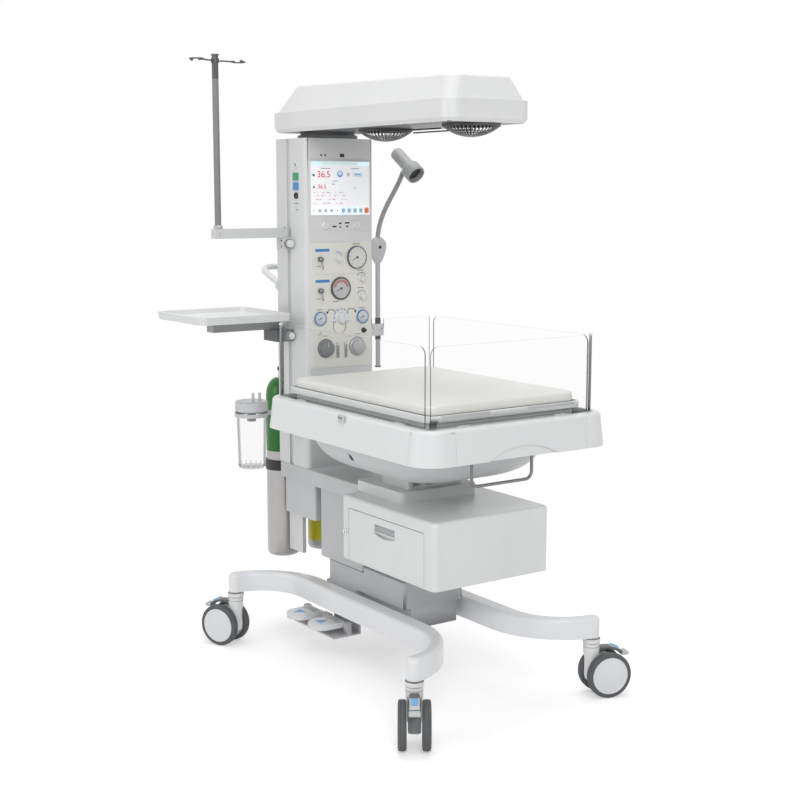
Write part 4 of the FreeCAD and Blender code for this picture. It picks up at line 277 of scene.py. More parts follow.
@dataclass(frozen=True)
class Finish:
    """Opaque finish: tone that drifts, a fine grain, and zones of other colours."""

    name: str
    colour: Colour
    drift: float = 0.05
    roughness: float = 0.38
    roughness_drift: float = 0.08
    metallic: float = 0.0
    patch: float = 7.0
    speckle: float = 500.0
    grain: tuple[float, float, float] = (1400.0, 1400.0, 1400.0)
    bump: float = 0.04
    bump_mm: float = 0.05
    coat: float = 0.0
    zones: tuple[Zone, ...] = ()
    glow: float = 0.0

    def material(self) -> bpy.types.Material:
        """The material of this finish, made once."""
        kept = bpy.data.materials.get(self.name)
        if kept:
            return kept
        made = bpy.data.materials.new(self.name)
        made.use_nodes = True
        node = Nodes(made.node_tree)
        shader = made.node_tree.nodes["Principled BSDF"]
        dark = tuple(c * (1 - self.drift) for c in self.colour)
        cloud = node.group(Groups.cloud(), Light=(*self.colour, 1), Dark=(*dark, 1),
                           Patch=self.patch, Speckle=self.speckle)
        colour = cloud.outputs["Color"]
        rough = node.add("ShaderNodeMapRange", **{
            "To Min": self.roughness - self.roughness_drift / 2,
            "To Max": self.roughness + self.roughness_drift / 2})
        node.link(cloud.outputs["Mask"], rough.inputs["Value"])
        rough = rough.outputs["Result"]
        metal = None
        for zone in self.zones:
            inside = node.group(Groups.inside(), Low=at(*zone.low), High=at(*zone.high))
            mask = inside.outputs["Mask"]
            tinted = node.group(Groups.cloud(), Light=(*zone.colour, 1),
                                Dark=(*[c * (1 - self.drift) for c in zone.colour], 1),
                                Patch=self.patch, Speckle=self.speckle)
            colour = node.mix_colour(mask, colour, tinted.outputs["Color"])
            rough = self.blend(node, mask, rough, zone.roughness)
            if metal is None:
                metal = node.math("MULTIPLY_ADD", mask, zone.metallic - self.metallic,
                                  self.metallic)
            else:
                metal = self.blend(node, mask, metal, zone.metallic)
        node.link(colour, shader.inputs["Base Color"])
        node.link(rough, shader.inputs["Roughness"])
        if metal is None:
            shader.inputs["Metallic"].default_value = self.metallic
        else:
            node.link(metal, shader.inputs["Metallic"])
        if self.coat:
            shader.inputs["Coat Weight"].default_value = self.coat
            shader.inputs["Coat Roughness"].default_value = 0.08
        if self.glow:
            node.link(colour, shader.inputs["Emission Color"])
            shader.inputs["Emission Strength"].default_value = self.glow
        grain = node.group(Groups.grain(), Scale=self.grain)
        bump = node.add("ShaderNodeBump", Strength=self.bump, Distance=self.bump_mm * MM)
        node.link(grain.outputs["Height"], bump.inputs["Height"])
        node.link(bump.outputs["Normal"], shader.inputs["Normal"])
        return made

    @staticmethod
    def blend(node: Nodes, mask, outside, inside: float):
        """Value that is one socket outside a mask and a number inside it."""
        kept = node.math("MULTIPLY", outside, node.math("SUBTRACT", 1.0, mask))
        return node.math("MULTIPLY_ADD", mask, inside, kept)


@dataclass(frozen=True)
class Clear:
    """Clear moulding: see-through face on, denser at grazing angles, with a glossy skin."""

    name: str
    colour: Colour = (0.90, 0.93, 0.93)
    face_on: float = 0.05
    grazing: float = 0.5
    roughness: float = 0.05
    blend: float = 0.35

    def material(self) -> bpy.types.Material:
        """The material of this finish, made once."""
        kept = bpy.data.materials.get(self.name)
        if kept:
            return kept
        made = bpy.data.materials.new(self.name)
        made.use_nodes = True
        node = Nodes(made.node_tree)
        shader = made.node_tree.nodes["Principled BSDF"]
        dark = tuple(c * 0.94 for c in self.colour)
        cloud = node.group(Groups.cloud(), Light=(*self.colour, 1), Dark=(*dark, 1), Patch=9.0)
        rough = node.add("ShaderNodeMapRange", **{"To Min": self.roughness,
                                                  "To Max": self.roughness + 0.03})
        edge = node.add("ShaderNodeLayerWeight", Blend=self.blend)
        solid = node.add("ShaderNodeMapRange", **{"From Min": 0.3, "To Min": self.face_on,
                                                  "To Max": self.grazing})
        node.link(cloud.outputs["Color"], shader.inputs["Base Color"])
        node.link(cloud.outputs["Mask"], rough.inputs["Value"])
        node.link(rough.outputs["Result"], shader.inputs["Roughness"])
        node.link(edge.outputs["Facing"], solid.inputs["Value"])
        node.link(solid.outputs["Result"], shader.inputs["Alpha"])
        shader.inputs["IOR"].default_value = 1.47
        return made


@dataclass(frozen=True)
class Weave:
    """Woven or wipe-clean cloth finish."""

    name: str
    colour: Colour
    thread_mm: float = 0.9
    roughness: float = 0.6
    depth_mm: float = 0.12
    strength: float = 0.3
    sheen: float = 0.2

    def material(self) -> bpy.types.Material:
        """The material of this finish, made once."""
        kept = bpy.data.materials.get(self.name)
        if kept:
            return kept
        made = bpy.data.materials.new(self.name)
        made.use_nodes = True
        node = Nodes(made.node_tree)
        shader = made.node_tree.nodes["Principled BSDF"]
        dark = tuple(c * 0.93 for c in self.colour)
        cloud = node.group(Groups.cloud(), Light=(*self.colour, 1), Dark=(*dark, 1), Patch=5.0)
        place = node.add("ShaderNodeTexCoord")
        point = node.add("ShaderNodeSeparateXYZ")
        node.link(place.outputs["Object"], point.inputs[0])
        turns = 2 * math.pi / (self.thread_mm * MM)
        over = node.math("SINE", node.math("MULTIPLY", point.outputs["X"], turns))
        under = node.math("SINE", node.math("MULTIPLY", point.outputs["Y"], turns))
        height = node.math("MULTIPLY", over, under)
        bump = node.add("ShaderNodeBump", Strength=self.strength, Distance=self.depth_mm * MM)
        rough = node.add("ShaderNodeMapRange", **{"To Min": self.roughness - 0.05,
                                                  "To Max": self.roughness + 0.06})
        node.link(cloud.outputs["Mask"], rough.inputs["Value"])
        node.link(height, bump.inputs["Height"])
        node.link(cloud.outputs["Color"], shader.inputs["Base Color"])
        node.link(rough.outputs["Result"], shader.inputs["Roughness"])
        node.link(bump.outputs["Normal"], shader.inputs["Normal"])
        shader.inputs["Sheen Weight"].default_value = self.sheen
        return made


# Finishes of this object
SATIN_WHITE = Finish("satin_white_moulding", (0.80, 0.81, 0.81), drift=0.035, roughness=0.36,
                     coat=0.15)
POWDER_WHITE = Finish("powder_white", (0.79, 0.80, 0.80), drift=0.04, roughness=0.34,
                      grain=(2600.0, 2600.0, 2600.0), bump=0.12, bump_mm=0.06, coat=0.2)
PALE_GREY = Finish("pale_grey_moulding", (0.62, 0.63, 0.63), drift=0.05, roughness=0.4)
DARK_GREY = Finish("dark_grey_moulding", (0.10, 0.105, 0.11), drift=0.16, roughness=0.5,
                   bump=0.1)
BLACK = Finish("black_moulding", (0.02, 0.02, 0.022), drift=0.2, roughness=0.42)
CREAM = Finish("cream_panel_finish", (0.86, 0.85, 0.79), drift=0.03, roughness=0.36, coat=0.1)
ANODISED = Finish("anodised_grey", (0.42, 0.43, 0.44), drift=0.08, roughness=0.36, metallic=0.75,
                  grain=(1800.0, 1800.0, 40.0), bump=0.16)
PALE_ALLOY = Finish("pale_alloy_finish", (0.70, 0.71, 0.72), drift=0.05, roughness=0.42,
                    metallic=0.35, grain=(1600.0, 1600.0, 30.0), bump=0.14)
STEEL = Finish("brushed_steel", (0.60, 0.60, 0.60), drift=0.08, roughness=0.24, metallic=1.0,
               grain=(60.0, 2200.0, 2200.0), bump=0.1)
ROD_STEEL = Finish("rod_steel", (0.24, 0.24, 0.245), drift=0.08, roughness=0.26, metallic=0.9,
                   grain=(2200.0, 2200.0, 60.0), bump=0.06)
CHROME = Finish("bright_wire", (0.72, 0.72, 0.73), drift=0.06, roughness=0.12, metallic=1.0)
BRASS = Finish("nickelled_brass", (0.66, 0.60, 0.46), drift=0.1, roughness=0.25, metallic=1.0)
TYRE = Finish("grey_tyre", (0.105, 0.11, 0.12), drift=0.22, roughness=0.62, bump=0.25,
              bump_mm=0.12, patch=16.0)
LEG_WHITE = Finish("leg_white", (0.84, 0.85, 0.875), drift=0.03, roughness=0.32, coat=0.25)
DISC = Finish("wheel_disc", (0.80, 0.81, 0.82), drift=0.05, roughness=0.36)
BLUE = Finish("blue_accent", (0.07, 0.26, 0.62), drift=0.1, roughness=0.4)
SOFT_BLUE = Finish("soft_blue_inlay", (0.22, 0.46, 0.78), drift=0.08, roughness=0.45)
RED = Finish("red_mark", (0.62, 0.05, 0.04), drift=0.08, roughness=0.4)
GREEN = Finish("green_cap", (0.03, 0.33, 0.16), drift=0.12, roughness=0.35)
DIAL_WHITE = Finish("dial_face", (0.80, 0.80, 0.78), drift=0.02, roughness=0.5)
CERAMIC = Finish("heater_ceramic", (0.30, 0.28, 0.26), drift=0.18, roughness=0.7, bump=0.2)
BAND = Weave("strap_webbing", (0.025, 0.025, 0.027), thread_mm=2.2, depth_mm=0.35, strength=0.8)
COVER = Weave("mattress_cover", (0.89, 0.89, 0.85), thread_mm=0.9, roughness=0.42,
              depth_mm=0.05, strength=0.16, sheen=0.1)
ACRYLIC = Clear("clear_panel_finish", (0.80, 0.85, 0.85), face_on=0.02, grazing=0.16)
ACRYLIC_EDGE = Clear("clear_panel_edge", (0.05, 0.06, 0.06), face_on=0.8, grazing=0.92)
JAR_CLEAR = Clear("clear_jar_finish", (0.14, 0.16, 0.16), face_on=0.02, grazing=0.85)
LENS = Clear("gauge_glass", (0.90, 0.92, 0.92), face_on=0.04, grazing=0.3)


class Bench:
    """Modelling by operators, as by hand; every piece ends at the origin with applied places."""

    @staticmethod
    def clear() -> None:
        """Leave edit mode and deselect everything."""
        if bpy.context.mode != "OBJECT":
            bpy.ops.object.mode_set(mode="OBJECT")
        bpy.ops.object.select_all(action="DESELECT")

    @staticmethod
    def pick(*pieces: bpy.types.Object) -> None:
        """Select these pieces alone, the first one active."""
        Bench.clear()
        for piece in pieces:
            piece.select_set(True)
        bpy.context.view_layer.objects.active = pieces[0]

    @staticmethod
    def settle(piece: bpy.types.Object, name: str) -> bpy.types.Object:
        """Name a piece and apply its place, turn and size."""
        piece.name = name
        Bench.pick(piece)
        bpy.ops.object.transform_apply(location=True, rotation=True, scale=True)
        return piece

    @staticmethod
    def round_edges(piece: bpy.types.Object, width_mm: float, segments: int = 3,
                    degrees: float = 40.0) -> bpy.types.Object:
        """Round the edges sharper than an angle."""
        Bench.pick(piece)
        soft = piece.modifiers.new("edges", "BEVEL")
        soft.width = width_mm * MM
        soft.segments = segments
        soft.limit_method = "ANGLE"
        soft.angle_limit = math.radians(degrees)
        bpy.ops.object.modifier_apply(modifier=soft.name)
        return piece

    @staticmethod
    def block(name: str, low: Sequence[float], high: Sequence[float], edge: float = 0.0,
              segments: int = 3) -> bpy.types.Object:
        """Block with rounded edges between two corners, in bed millimetres.

        Args:
            name: name of the piece.
            low: lowest corner.
            high: highest corner.
            edge: radius of its edges.
            segments: faces across a rounded edge.

        Returns:
            The piece.
        """
        Bench.clear()
        first, last = at(*low), at(*high)
        bpy.ops.mesh.primitive_cube_add(size=1.0, location=(first + last) / 2)
        piece = bpy.context.object
        piece.scale = last - first
        Bench.settle(piece, name)
        return Bench.round_edges(piece, edge, segments) if edge else piece

    @staticmethod
    def rod(name: str, base: Vector, way: Vector, diameter: float, length: float,
            edge: float = 0.0, sides: int = 32) -> bpy.types.Object:
        """Round bar from a base point.

        Args:
            name: name of the piece.
            base: middle of its lower end, in metres.
            way: direction of its axis.
            diameter: in millimetres.
            length: in millimetres.
            edge: radius of its end edges.
            sides: faces round it.

        Returns:
            The piece.
        """
        Bench.clear()
        way = way.normalized()
        bpy.ops.mesh.primitive_cylinder_add(
            vertices=sides, radius=diameter * MM / 2, depth=length * MM,
            location=base + way * (length * MM / 2),
            rotation=way.to_track_quat("Z", "Y").to_euler())
        piece = Bench.settle(bpy.context.object, name)
        return Bench.round_edges(piece, edge, 2, 60.0) if edge else piece

    @staticmethod
    def lathe(name: str, profile: Iterable[tuple[float, float]], base: Vector, way: Vector,
              steps: int = 48) -> bpy.types.Object:
        """Turned form: one point is extruded along a profile, then spun round the axis.

        Args:
            name: name of the piece.
            profile: (radius, height) in millimetres, from the axis back to the axis.
            base: foot of the axis, in metres.
            way: direction of the axis.
            steps: faces round the axis.

        Returns:
            The piece.
        """
        Bench.clear()
        points = [Vector((radius * MM, 0.0, height * MM)) for radius, height in profile]
        bpy.ops.mesh.primitive_plane_add(size=0.001, location=(0, 0, 0))
        piece = bpy.context.object
        bpy.ops.object.mode_set(mode="EDIT")
        bpy.ops.mesh.select_mode(type="VERT")
        bpy.ops.mesh.select_all(action="SELECT")
        bpy.ops.mesh.merge(type="CENTER")
        bpy.ops.mesh.select_all(action="SELECT")
        bpy.ops.transform.translate(value=points[0])
        for start, end in zip(points, points[1:]):
            bpy.ops.mesh.extrude_vertices_move(TRANSFORM_OT_translate={"value": end - start})
        bpy.ops.mesh.select_all(action="SELECT")
        bpy.ops.mesh.spin(steps=steps, angle=2 * math.pi, center=(0, 0, 0), axis=(0, 0, 1))
        bpy.ops.mesh.select_all(action="SELECT")
        bpy.ops.mesh.remove_doubles(threshold=0.00001)
        bpy.ops.mesh.normals_make_consistent(inside=False)
        bpy.ops.object.mode_set(mode="OBJECT")
        piece.location = base
        piece.rotation_mode = "QUATERNION"
        piece.rotation_quaternion = way.normalized().to_track_quat("Z", "Y")
        return Bench.settle(piece, name)

    @staticmethod
    def tube(name: str, points: Sequence[Vector], diameter: float, ring: bool = False,
             bend: bool = True, sides: int = 6) -> bpy.types.Object:
        """Round wire or tube along points, in metres.

        Args:
            name: name of the piece.
            points: points of its middle line.
            diameter: in millimetres.
            ring: whether it closes on itself.
            bend: whether it curves smoothly past the points.
            sides: faces round a quarter and a half of the wire.

        Returns:
            The piece.
        """
        Bench.clear()
        line = bpy.data.curves.new(name, "CURVE")
        line.dimensions = "3D"
        path = line.splines.new("NURBS" if bend else "POLY")
        path.points.add(len(points) - 1)
        for slot, point in zip(path.points, points):
            slot.co = (*point, 1.0)
        path.use_cyclic_u = ring
        if bend:
            path.order_u = 3
            path.use_endpoint_u = not ring
            path.resolution_u = 8
        line.bevel_depth = diameter * MM / 2
        line.bevel_resolution = sides // 2
        line.use_fill_caps = not ring
        piece = bpy.data.objects.new(name, line)
        bpy.context.scene.collection.objects.link(piece)
        Bench.pick(piece)
        bpy.ops.object.convert(target="MESH")
        return bpy.context.object

    @staticmethod
    def digits(name: str, words: str, middle: Vector, height: float,
               depth: float = 0.25) -> bpy.types.Object:
        """Plain numerals as a thin raised mesh, read from the front.

        Args:
            name: name of the piece.
            words: the numerals.
            middle: where they are centred, in metres.
            height: of a numeral, in millimetres.
            depth: how far they stand out.

        Returns:
            The piece.
        """
        Bench.clear()
        bpy.ops.object.text_add(location=middle)
        piece = bpy.context.object
        piece.data.body = words
        piece.data.align_x = "CENTER"
        piece.data.align_y = "CENTER"
        piece.data.size = height * MM * 1.4
        piece.data.extrude = depth * MM / 2
        piece.data.resolution_u = 3
        piece.rotation_euler = (math.radians(90), 0, 0)
        bpy.ops.object.convert(target="MESH")
        return Bench.settle(bpy.context.object, name)

    @staticmethod
    def copy(piece: bpy.types.Object, name: str, place: Matrix) -> bpy.types.Object:
        """Copy with its own mesh, put in another place."""
        twin = piece.copy()
        twin.data = piece.data.copy()
        twin.data.transform(place)
        if place.determinant() < 0:
            twin.data.flip_normals()
        twin.name = name
        bpy.context.scene.collection.objects.link(twin)
        return twin

    @staticmethod
    def join(name: str, *pieces: bpy.types.Object) -> bpy.types.Object:
        """One piece of several."""
        Bench.pick(*pieces)
        if len(pieces) > 1:
            bpy.ops.object.join()
        joined = bpy.context.view_layer.objects.active
        joined.name = name
        return joined

    @staticmethod
    def paint(piece: bpy.types.Object, finish: Finish | Clear | Weave) -> bpy.types.Object:
        """Give a piece one finish."""
        piece.data.materials.clear()
        piece.data.materials.append(finish.material())
        return piece

    @staticmethod
    def smooth(piece: bpy.types.Object, degrees: float = 35.0) -> bpy.types.Object:
        """Smooth shading with sharp edges kept."""
        Bench.pick(piece)
        bpy.ops.object.shade_smooth_by_angle(angle=math.radians(degrees))
        return piece

    @staticmethod
    def recast(node: str, name: str, degrees: float = 35.0) -> bpy.types.Object:
        """Merged and smoothed copy of a CAD node, which it replaces."""
        piece = Bench.copy(frame["nodes"][node], name, Matrix.Identity(4))
        piece.parent = None
        for key in list(piece.keys()):
            del piece[key]
        Bench.pick(piece)
        bpy.ops.object.mode_set(mode="EDIT")
        bpy.ops.mesh.select_all(action="SELECT")
        bpy.ops.mesh.remove_doubles(threshold=0.000005)
        bpy.ops.mesh.dissolve_limited(angle_limit=math.radians(0.3))
        bpy.ops.object.mode_set(mode="OBJECT")
        Bench.smooth(piece, degrees)
        weigh = piece.modifiers.new("weigh", "WEIGHTED_NORMAL")
        weigh.keep_sharp = True
        weigh.weight = 100
        Bench.pick(piece)
        bpy.ops.object.modifier_apply(modifier=weigh.name)
        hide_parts(node)
        return piece

    @staticmethod
    def fit(piece: bpy.types.Object, body: str, slot: str,
            finish: Finish | Clear | Weave | None = None) -> bpy.types.Object:
        """Finish a piece and let it move with its body."""
        if finish is not None:
            Bench.paint(piece, finish)
        if not piece.data.has_custom_normals:
            Bench.smooth(piece)
        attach(piece, body)
        LOG.info("%s on %s", piece.name, body)
        return piece

    @staticmethod
    def dress(node: str, finish: Finish | Clear | Weave) -> None:
        """Give a CAD node its finish."""
        shown = frame["nodes"][node]
        made = finish.material()
        if not shown.material_slots:
            shown.data.materials.append(made)
        for place in shown.material_slots:
            place.material = made


@dataclass
class Castors:
    """Four twin-wheel castors: tyres, discs, forks and levers modelled once, then turned."""

    wheel_dia: float = 125.0
    width: float = 22.0
    space: float = 38.0
    disc_dia: float = 101.0
    trail: float = 40.0
    places: dict[str, tuple[float, float, float]] = field(default_factory=lambda: {
        "front_left": (-293.5, -491.0, 235.0), "front_right": (293.5, -491.0, -18.0),
        "rear_left": (-293.5, 440.0, 116.0), "rear_right": (293.5, 440.0, 64.0)})

    def build(self) -> None:
        """Dress every castor."""
        patterns = ((self.tyre(), "wheels_", "tyre", TYRE),
                    (self.disc(), "wheels_", "white_plastic", DISC),
                    (self.lever(), "brake_", "dark_metal",
                     Finish("brake_lever", (0.13, 0.135, 0.14), drift=0.08)),
                    (self.button(), "brake_", "grey_plastic", SOFT_BLUE),
                    (self.tread(), "brake_", "grey_plastic", PALE_GREY),
                    (self.fork(), "castor_", "white_plastic", SATIN_WHITE),
                    (self.fork_front(), "castor_", "dark_metal",
                     Finish("fork_cheek", (0.30, 0.305, 0.31), drift=0.12)),
                    (self.collar_seams(), "castor_", "dark_metal", DARK_GREY))
        stand_ins = {"tyre": "castor_wheels_", "lever": "castor_brake_", "fork": "castor_fork_"}
        for corner, (x, y, heading) in self.places.items():
            place = Matrix.Translation(at(x, y, 0)) @ Matrix.Rotation(math.radians(heading), 4, "Z")
            for pattern, body, slot, finish in patterns:
                piece = Bench.copy(pattern, f"{pattern.name}_{corner}", place)
                Bench.fit(piece, body + corner, slot, finish)
                if pattern.name in stand_ins:
                    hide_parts(stand_ins[pattern.name] + corner)
        for pattern, *_ in patterns:
            bpy.data.objects.remove(pattern)

    def both_sides(self, name: str, profile: list[tuple[float, float]]) -> bpy.types.Object:
        """One turned form on each side of the fork, round the axle."""
        centre = Vector((self.trail, 0, self.wheel_dia / 2)) * MM
        right = Bench.lathe(name, profile, centre, Way.REAR.value)
        left = Bench.lathe(name + "_left", profile, centre, Way.FRONT.value)
        return Bench.join(name, right, left)

    def tyre(self) -> bpy.types.Object:
        """Tyres with a crowned tread and two fine grooves."""
        r, inner = self.wheel_dia / 2, self.space / 2
        outer, seat = inner + self.width, self.disc_dia / 2
        middle = inner + self.width / 2
        profile = [(seat, inner), (r - 6, inner), (r - 2.2, inner + 1.4), (r - 0.5, inner + 4),
                   (r - 0.05, middle - 4.6), (r - 0.9, middle - 4.2), (r, middle - 3.8),
                   (r, middle + 3.8), (r - 0.9, middle + 4.2), (r - 0.05, middle + 4.6),
                   (r - 0.5, outer - 4), (r - 2.2, outer - 1.4), (r - 6, outer),
                   (seat + 3, outer + 0.3), (seat, outer - 0.6), (seat, inner)]
        return self.both_sides("tyre", profile)

    def disc(self) -> bpy.types.Object:
        """Plain domed wheel discs with a stepped rim."""
        seat, inner = self.disc_dia / 2, self.space / 2
        outer = inner + self.width
        profile = [(0, inner + 1), (seat + 0.2, inner + 1), (seat + 0.2, outer - 0.8),
                   (seat - 2, outer), (seat - 4.5, outer - 0.4), (seat - 5.5, outer - 1.4),
                   (seat - 8, outer - 1.2), (24, outer - 0.3), (12, outer), (0, outer + 0.1)]
        return self.both_sides("disc", profile)

    def arch(self, name: str, inner: float, outer: float, half: float, start: float,
             end: float) -> bpy.types.Object:
        """Curved plate round the wheel's axle: a small face spun about it.

        Args:
            name: name of the piece.
            inner: inner radius.
            outer: outer radius.
            half: half of its width.
            start: where it begins, in degrees off upright, outwards from the stem.
            end: where it ends.

        Returns:
            The plate, at the castor's own place.
        """
        Bench.clear()
        bpy.ops.mesh.primitive_plane_add(size=1.0, location=((inner + outer) / 2 * MM, 0, 0))
        piece = bpy.context.object
        piece.scale = ((outer - inner) * MM, 2 * half * MM, 1)
        Bench.settle(piece, name)
        bpy.ops.object.mode_set(mode="EDIT")
        bpy.ops.mesh.select_all(action="SELECT")
        bpy.ops.mesh.spin(steps=12, angle=math.radians(end - start), center=(0, 0, 0),
                          axis=(0, 1, 0))
        bpy.ops.mesh.select_all(action="SELECT")
        bpy.ops.mesh.normals_make_consistent(inside=False)
        bpy.ops.object.mode_set(mode="OBJECT")
        axle = Matrix.Translation(Vector((self.trail, 0, self.wheel_dia / 2)) * MM)
        piece.data.transform(axle @ Matrix.Rotation(math.radians(end - 90), 4, "Y"))
        return piece

    def own_block(self, name: str, low: Sequence[float], high: Sequence[float],
                  edge: float) -> bpy.types.Object:
        """Rounded block at the castor's own place."""
        piece = Bench.block(name, low, high, edge)
        piece.data.transform(Matrix.Translation(-SHIFT))
        return piece

    def lever(self) -> bpy.types.Object:
        """Brake lever that arches over the wheels from the collar."""
        plate = Bench.round_edges(self.arch("plate", 66.0, 74.0, 13.5, -13.0, 43.0), 1.8, 3, 50.0)
        root = self.own_block("root", (14, -11.5, 121), (32, 11.5, 137), 3.0)
        return Bench.join("lever", plate, root)

    def button(self) -> bpy.types.Object:
        """Blue release button on the brake lever."""
        return Bench.round_edges(self.arch("brake_button", 72.0, 78.4, 9.0, 13.0, 31.0), 2.2, 3,
                                 50.0)

    def tread(self) -> bpy.types.Object:
        """Pale surround of the button and toe pad with two grip ribs at the lever's end."""
        frame = Bench.round_edges(self.arch("frame", 73.0, 75.4, 12.4, 10.0, 40.0), 0.9, 2, 50.0)
        pad = self.own_block("pad", (85, -14.5, 108.0), (106, 14.5, 118.0), 2.4)
        ribs = [self.own_block("rib", (s, -11, 117.6), (s + 2, 11, 119.0), 0.6) for s in (93, 99)]
        return Bench.join("brake_tread", frame, pad, *ribs)

    def fork(self) -> bpy.types.Object:
        """Round fork between the wheels, with a nose over the axle and a flared collar."""
        body = Bench.lathe("body", [(0, 44), (10, 44), (15.5, 48), (18.0, 58), (18.3, 108),
                                    (21.4, 117), (22.3, 128), (22.3, 149.8), (24.2, 151),
                                    (24.4, 159.6), (23.4, 161.6), (21.8, 162), (21.4, 160.4),
                                    (0, 160.4)], Vector(), Way.UP.value, 48)
        nose = self.own_block("nose", (2, -16.5, 42), (56, 16.5, 112), 9.0)
        return Bench.join("fork", body, nose)

    def fork_front(self) -> bpy.types.Object:
        """Dark cheek at the fork's front with upright ribs."""
        cheek = self.own_block("cheek", (50, -15.8, 47), (56.6, 15.8, 106), 1.2)
        ribs = [self.own_block("rib", (56, y - 1.0, 50), (58.4, y + 1.0, 103), 0.6)
                for y in (-11.4, -7.6, -3.8, 0.0, 3.8, 7.6, 11.4)]
        return Bench.join("fork_front", cheek, *ribs)

    def collar_seams(self) -> bpy.types.Object:
        """Dark seams round the swivel collar and inside its mouth."""
        rings = [Bench.lathe("ring", [(r - 1.6, 0), (r, 0), (r, 0.9), (r - 1.6, 0.9), (r - 1.6, 0)],
                             Vector((0, 0, z)) * MM, Way.UP.value, 40)
                 for r, z in ((22.6, 149.0), (22.6, 139.0), (23.0, 161.4))]
        return Bench.join("collar_seams", *rings)


@dataclass
class Base:
    """Hub, legs, fixed column and foot pedals."""

    pedal_middles: dict[str, float] = field(default_factory=lambda: {
        "raise_pedal": 262.0, "lower_pedal": 142.0})
    pedal_top: float = 126.0
    pedal_tip: float = -214.0

    def build(self) -> None:
        """Dress the base."""
        for leg in ("left_leg", "right_leg"):
            Bench.fit(Bench.recast(leg, leg + "_shell", 30.0), "base", "white_metal",
                      LEG_WHITE)
        hub = Finish("hub_and_bracket", (0.55, 0.555, 0.57), drift=0.06, bump=0.12)
        Bench.fit(Bench.recast("base_hub", "base_hub_shell"), "base", "grey_metal", hub)
        column = Finish("inner_column", (0.50, 0.51, 0.53), drift=0.06, metallic=0.4,
                        grain=(1600.0, 1600.0, 24.0), bump=0.14)
        Bench.fit(Bench.recast("inner_column", "inner_column_tube"), "base", "grey_metal", column)
        for name, middle in self.pedal_middles.items():
            shell = Finish("pedal_shell", (0.76, 0.765, 0.77), drift=0.05, roughness=0.4)
            Bench.fit(Bench.recast(name, name + "_shell"), name, "white_plastic", shell)
            self.pad(name, middle)

    def pad(self, name: str, middle: float) -> None:
        """White tread plate with grip lines and a blue arrow on a pedal."""
        tip, top = self.pedal_tip, self.pedal_top
        plate = Bench.rod("plate", at(tip + 42, middle, top - 0.4), Way.UP.value, 72.0, 1.6, 0.6,
                          48)
        piece = Bench.fit(plate, name, "white_plastic", SATIN_WHITE)
        piece.name = name + "_plate"
        bars = []
        for step in range(4):
            x = tip + 68 + step * 5.0
            bars.append(Bench.block("bar", (x, middle - 26 + step, top + 0.9),
                                    (x + 2.2, middle + 26 - step, top + 2.0), 0.5, 2))
        piece = Bench.fit(Bench.join(name + "_grip", *bars), name, "grey_plastic", PALE_GREY)
        Bench.clear()
        bpy.ops.mesh.primitive_cylinder_add(vertices=3, radius=21 * MM, depth=1.2 * MM,
                                            location=at(tip + 38, middle, top + 1.5))
        arrow = bpy.context.object
        arrow.rotation_euler = (0, 0, math.radians(90 if name == "raise_pedal" else -90))
        Bench.settle(arrow, name + "_arrow")
        Bench.round_edges(arrow, 1.6, 3, 30.0)
        Bench.fit(arrow, name, "white_plastic", SOFT_BLUE)


@dataclass
class HeadScrew:
    """Low round screw head with a socket."""

    diameter: float
    slot: str

    def set(self, name: str, seat: Vector, way: Vector, body: str,
            finish: Finish = STEEL) -> bpy.types.Object:
        """Place a screw.

        Args:
            name: name of the piece.
            seat: point on the face under the head.
            way: outwards from the face.
            body: body that it rides on.
            finish: its finish.

        Returns:
            The screw.
        """
        r = self.diameter / 2
        profile = [(0, 0), (r, 0), (r, 0.9), (r * 0.8, 1.7), (r * 0.45, 1.9), (r * 0.42, 0.6),
                   (0, 0.6)]
        return Bench.fit(Bench.lathe(name, profile, seat, way, 24), body, self.slot, finish)


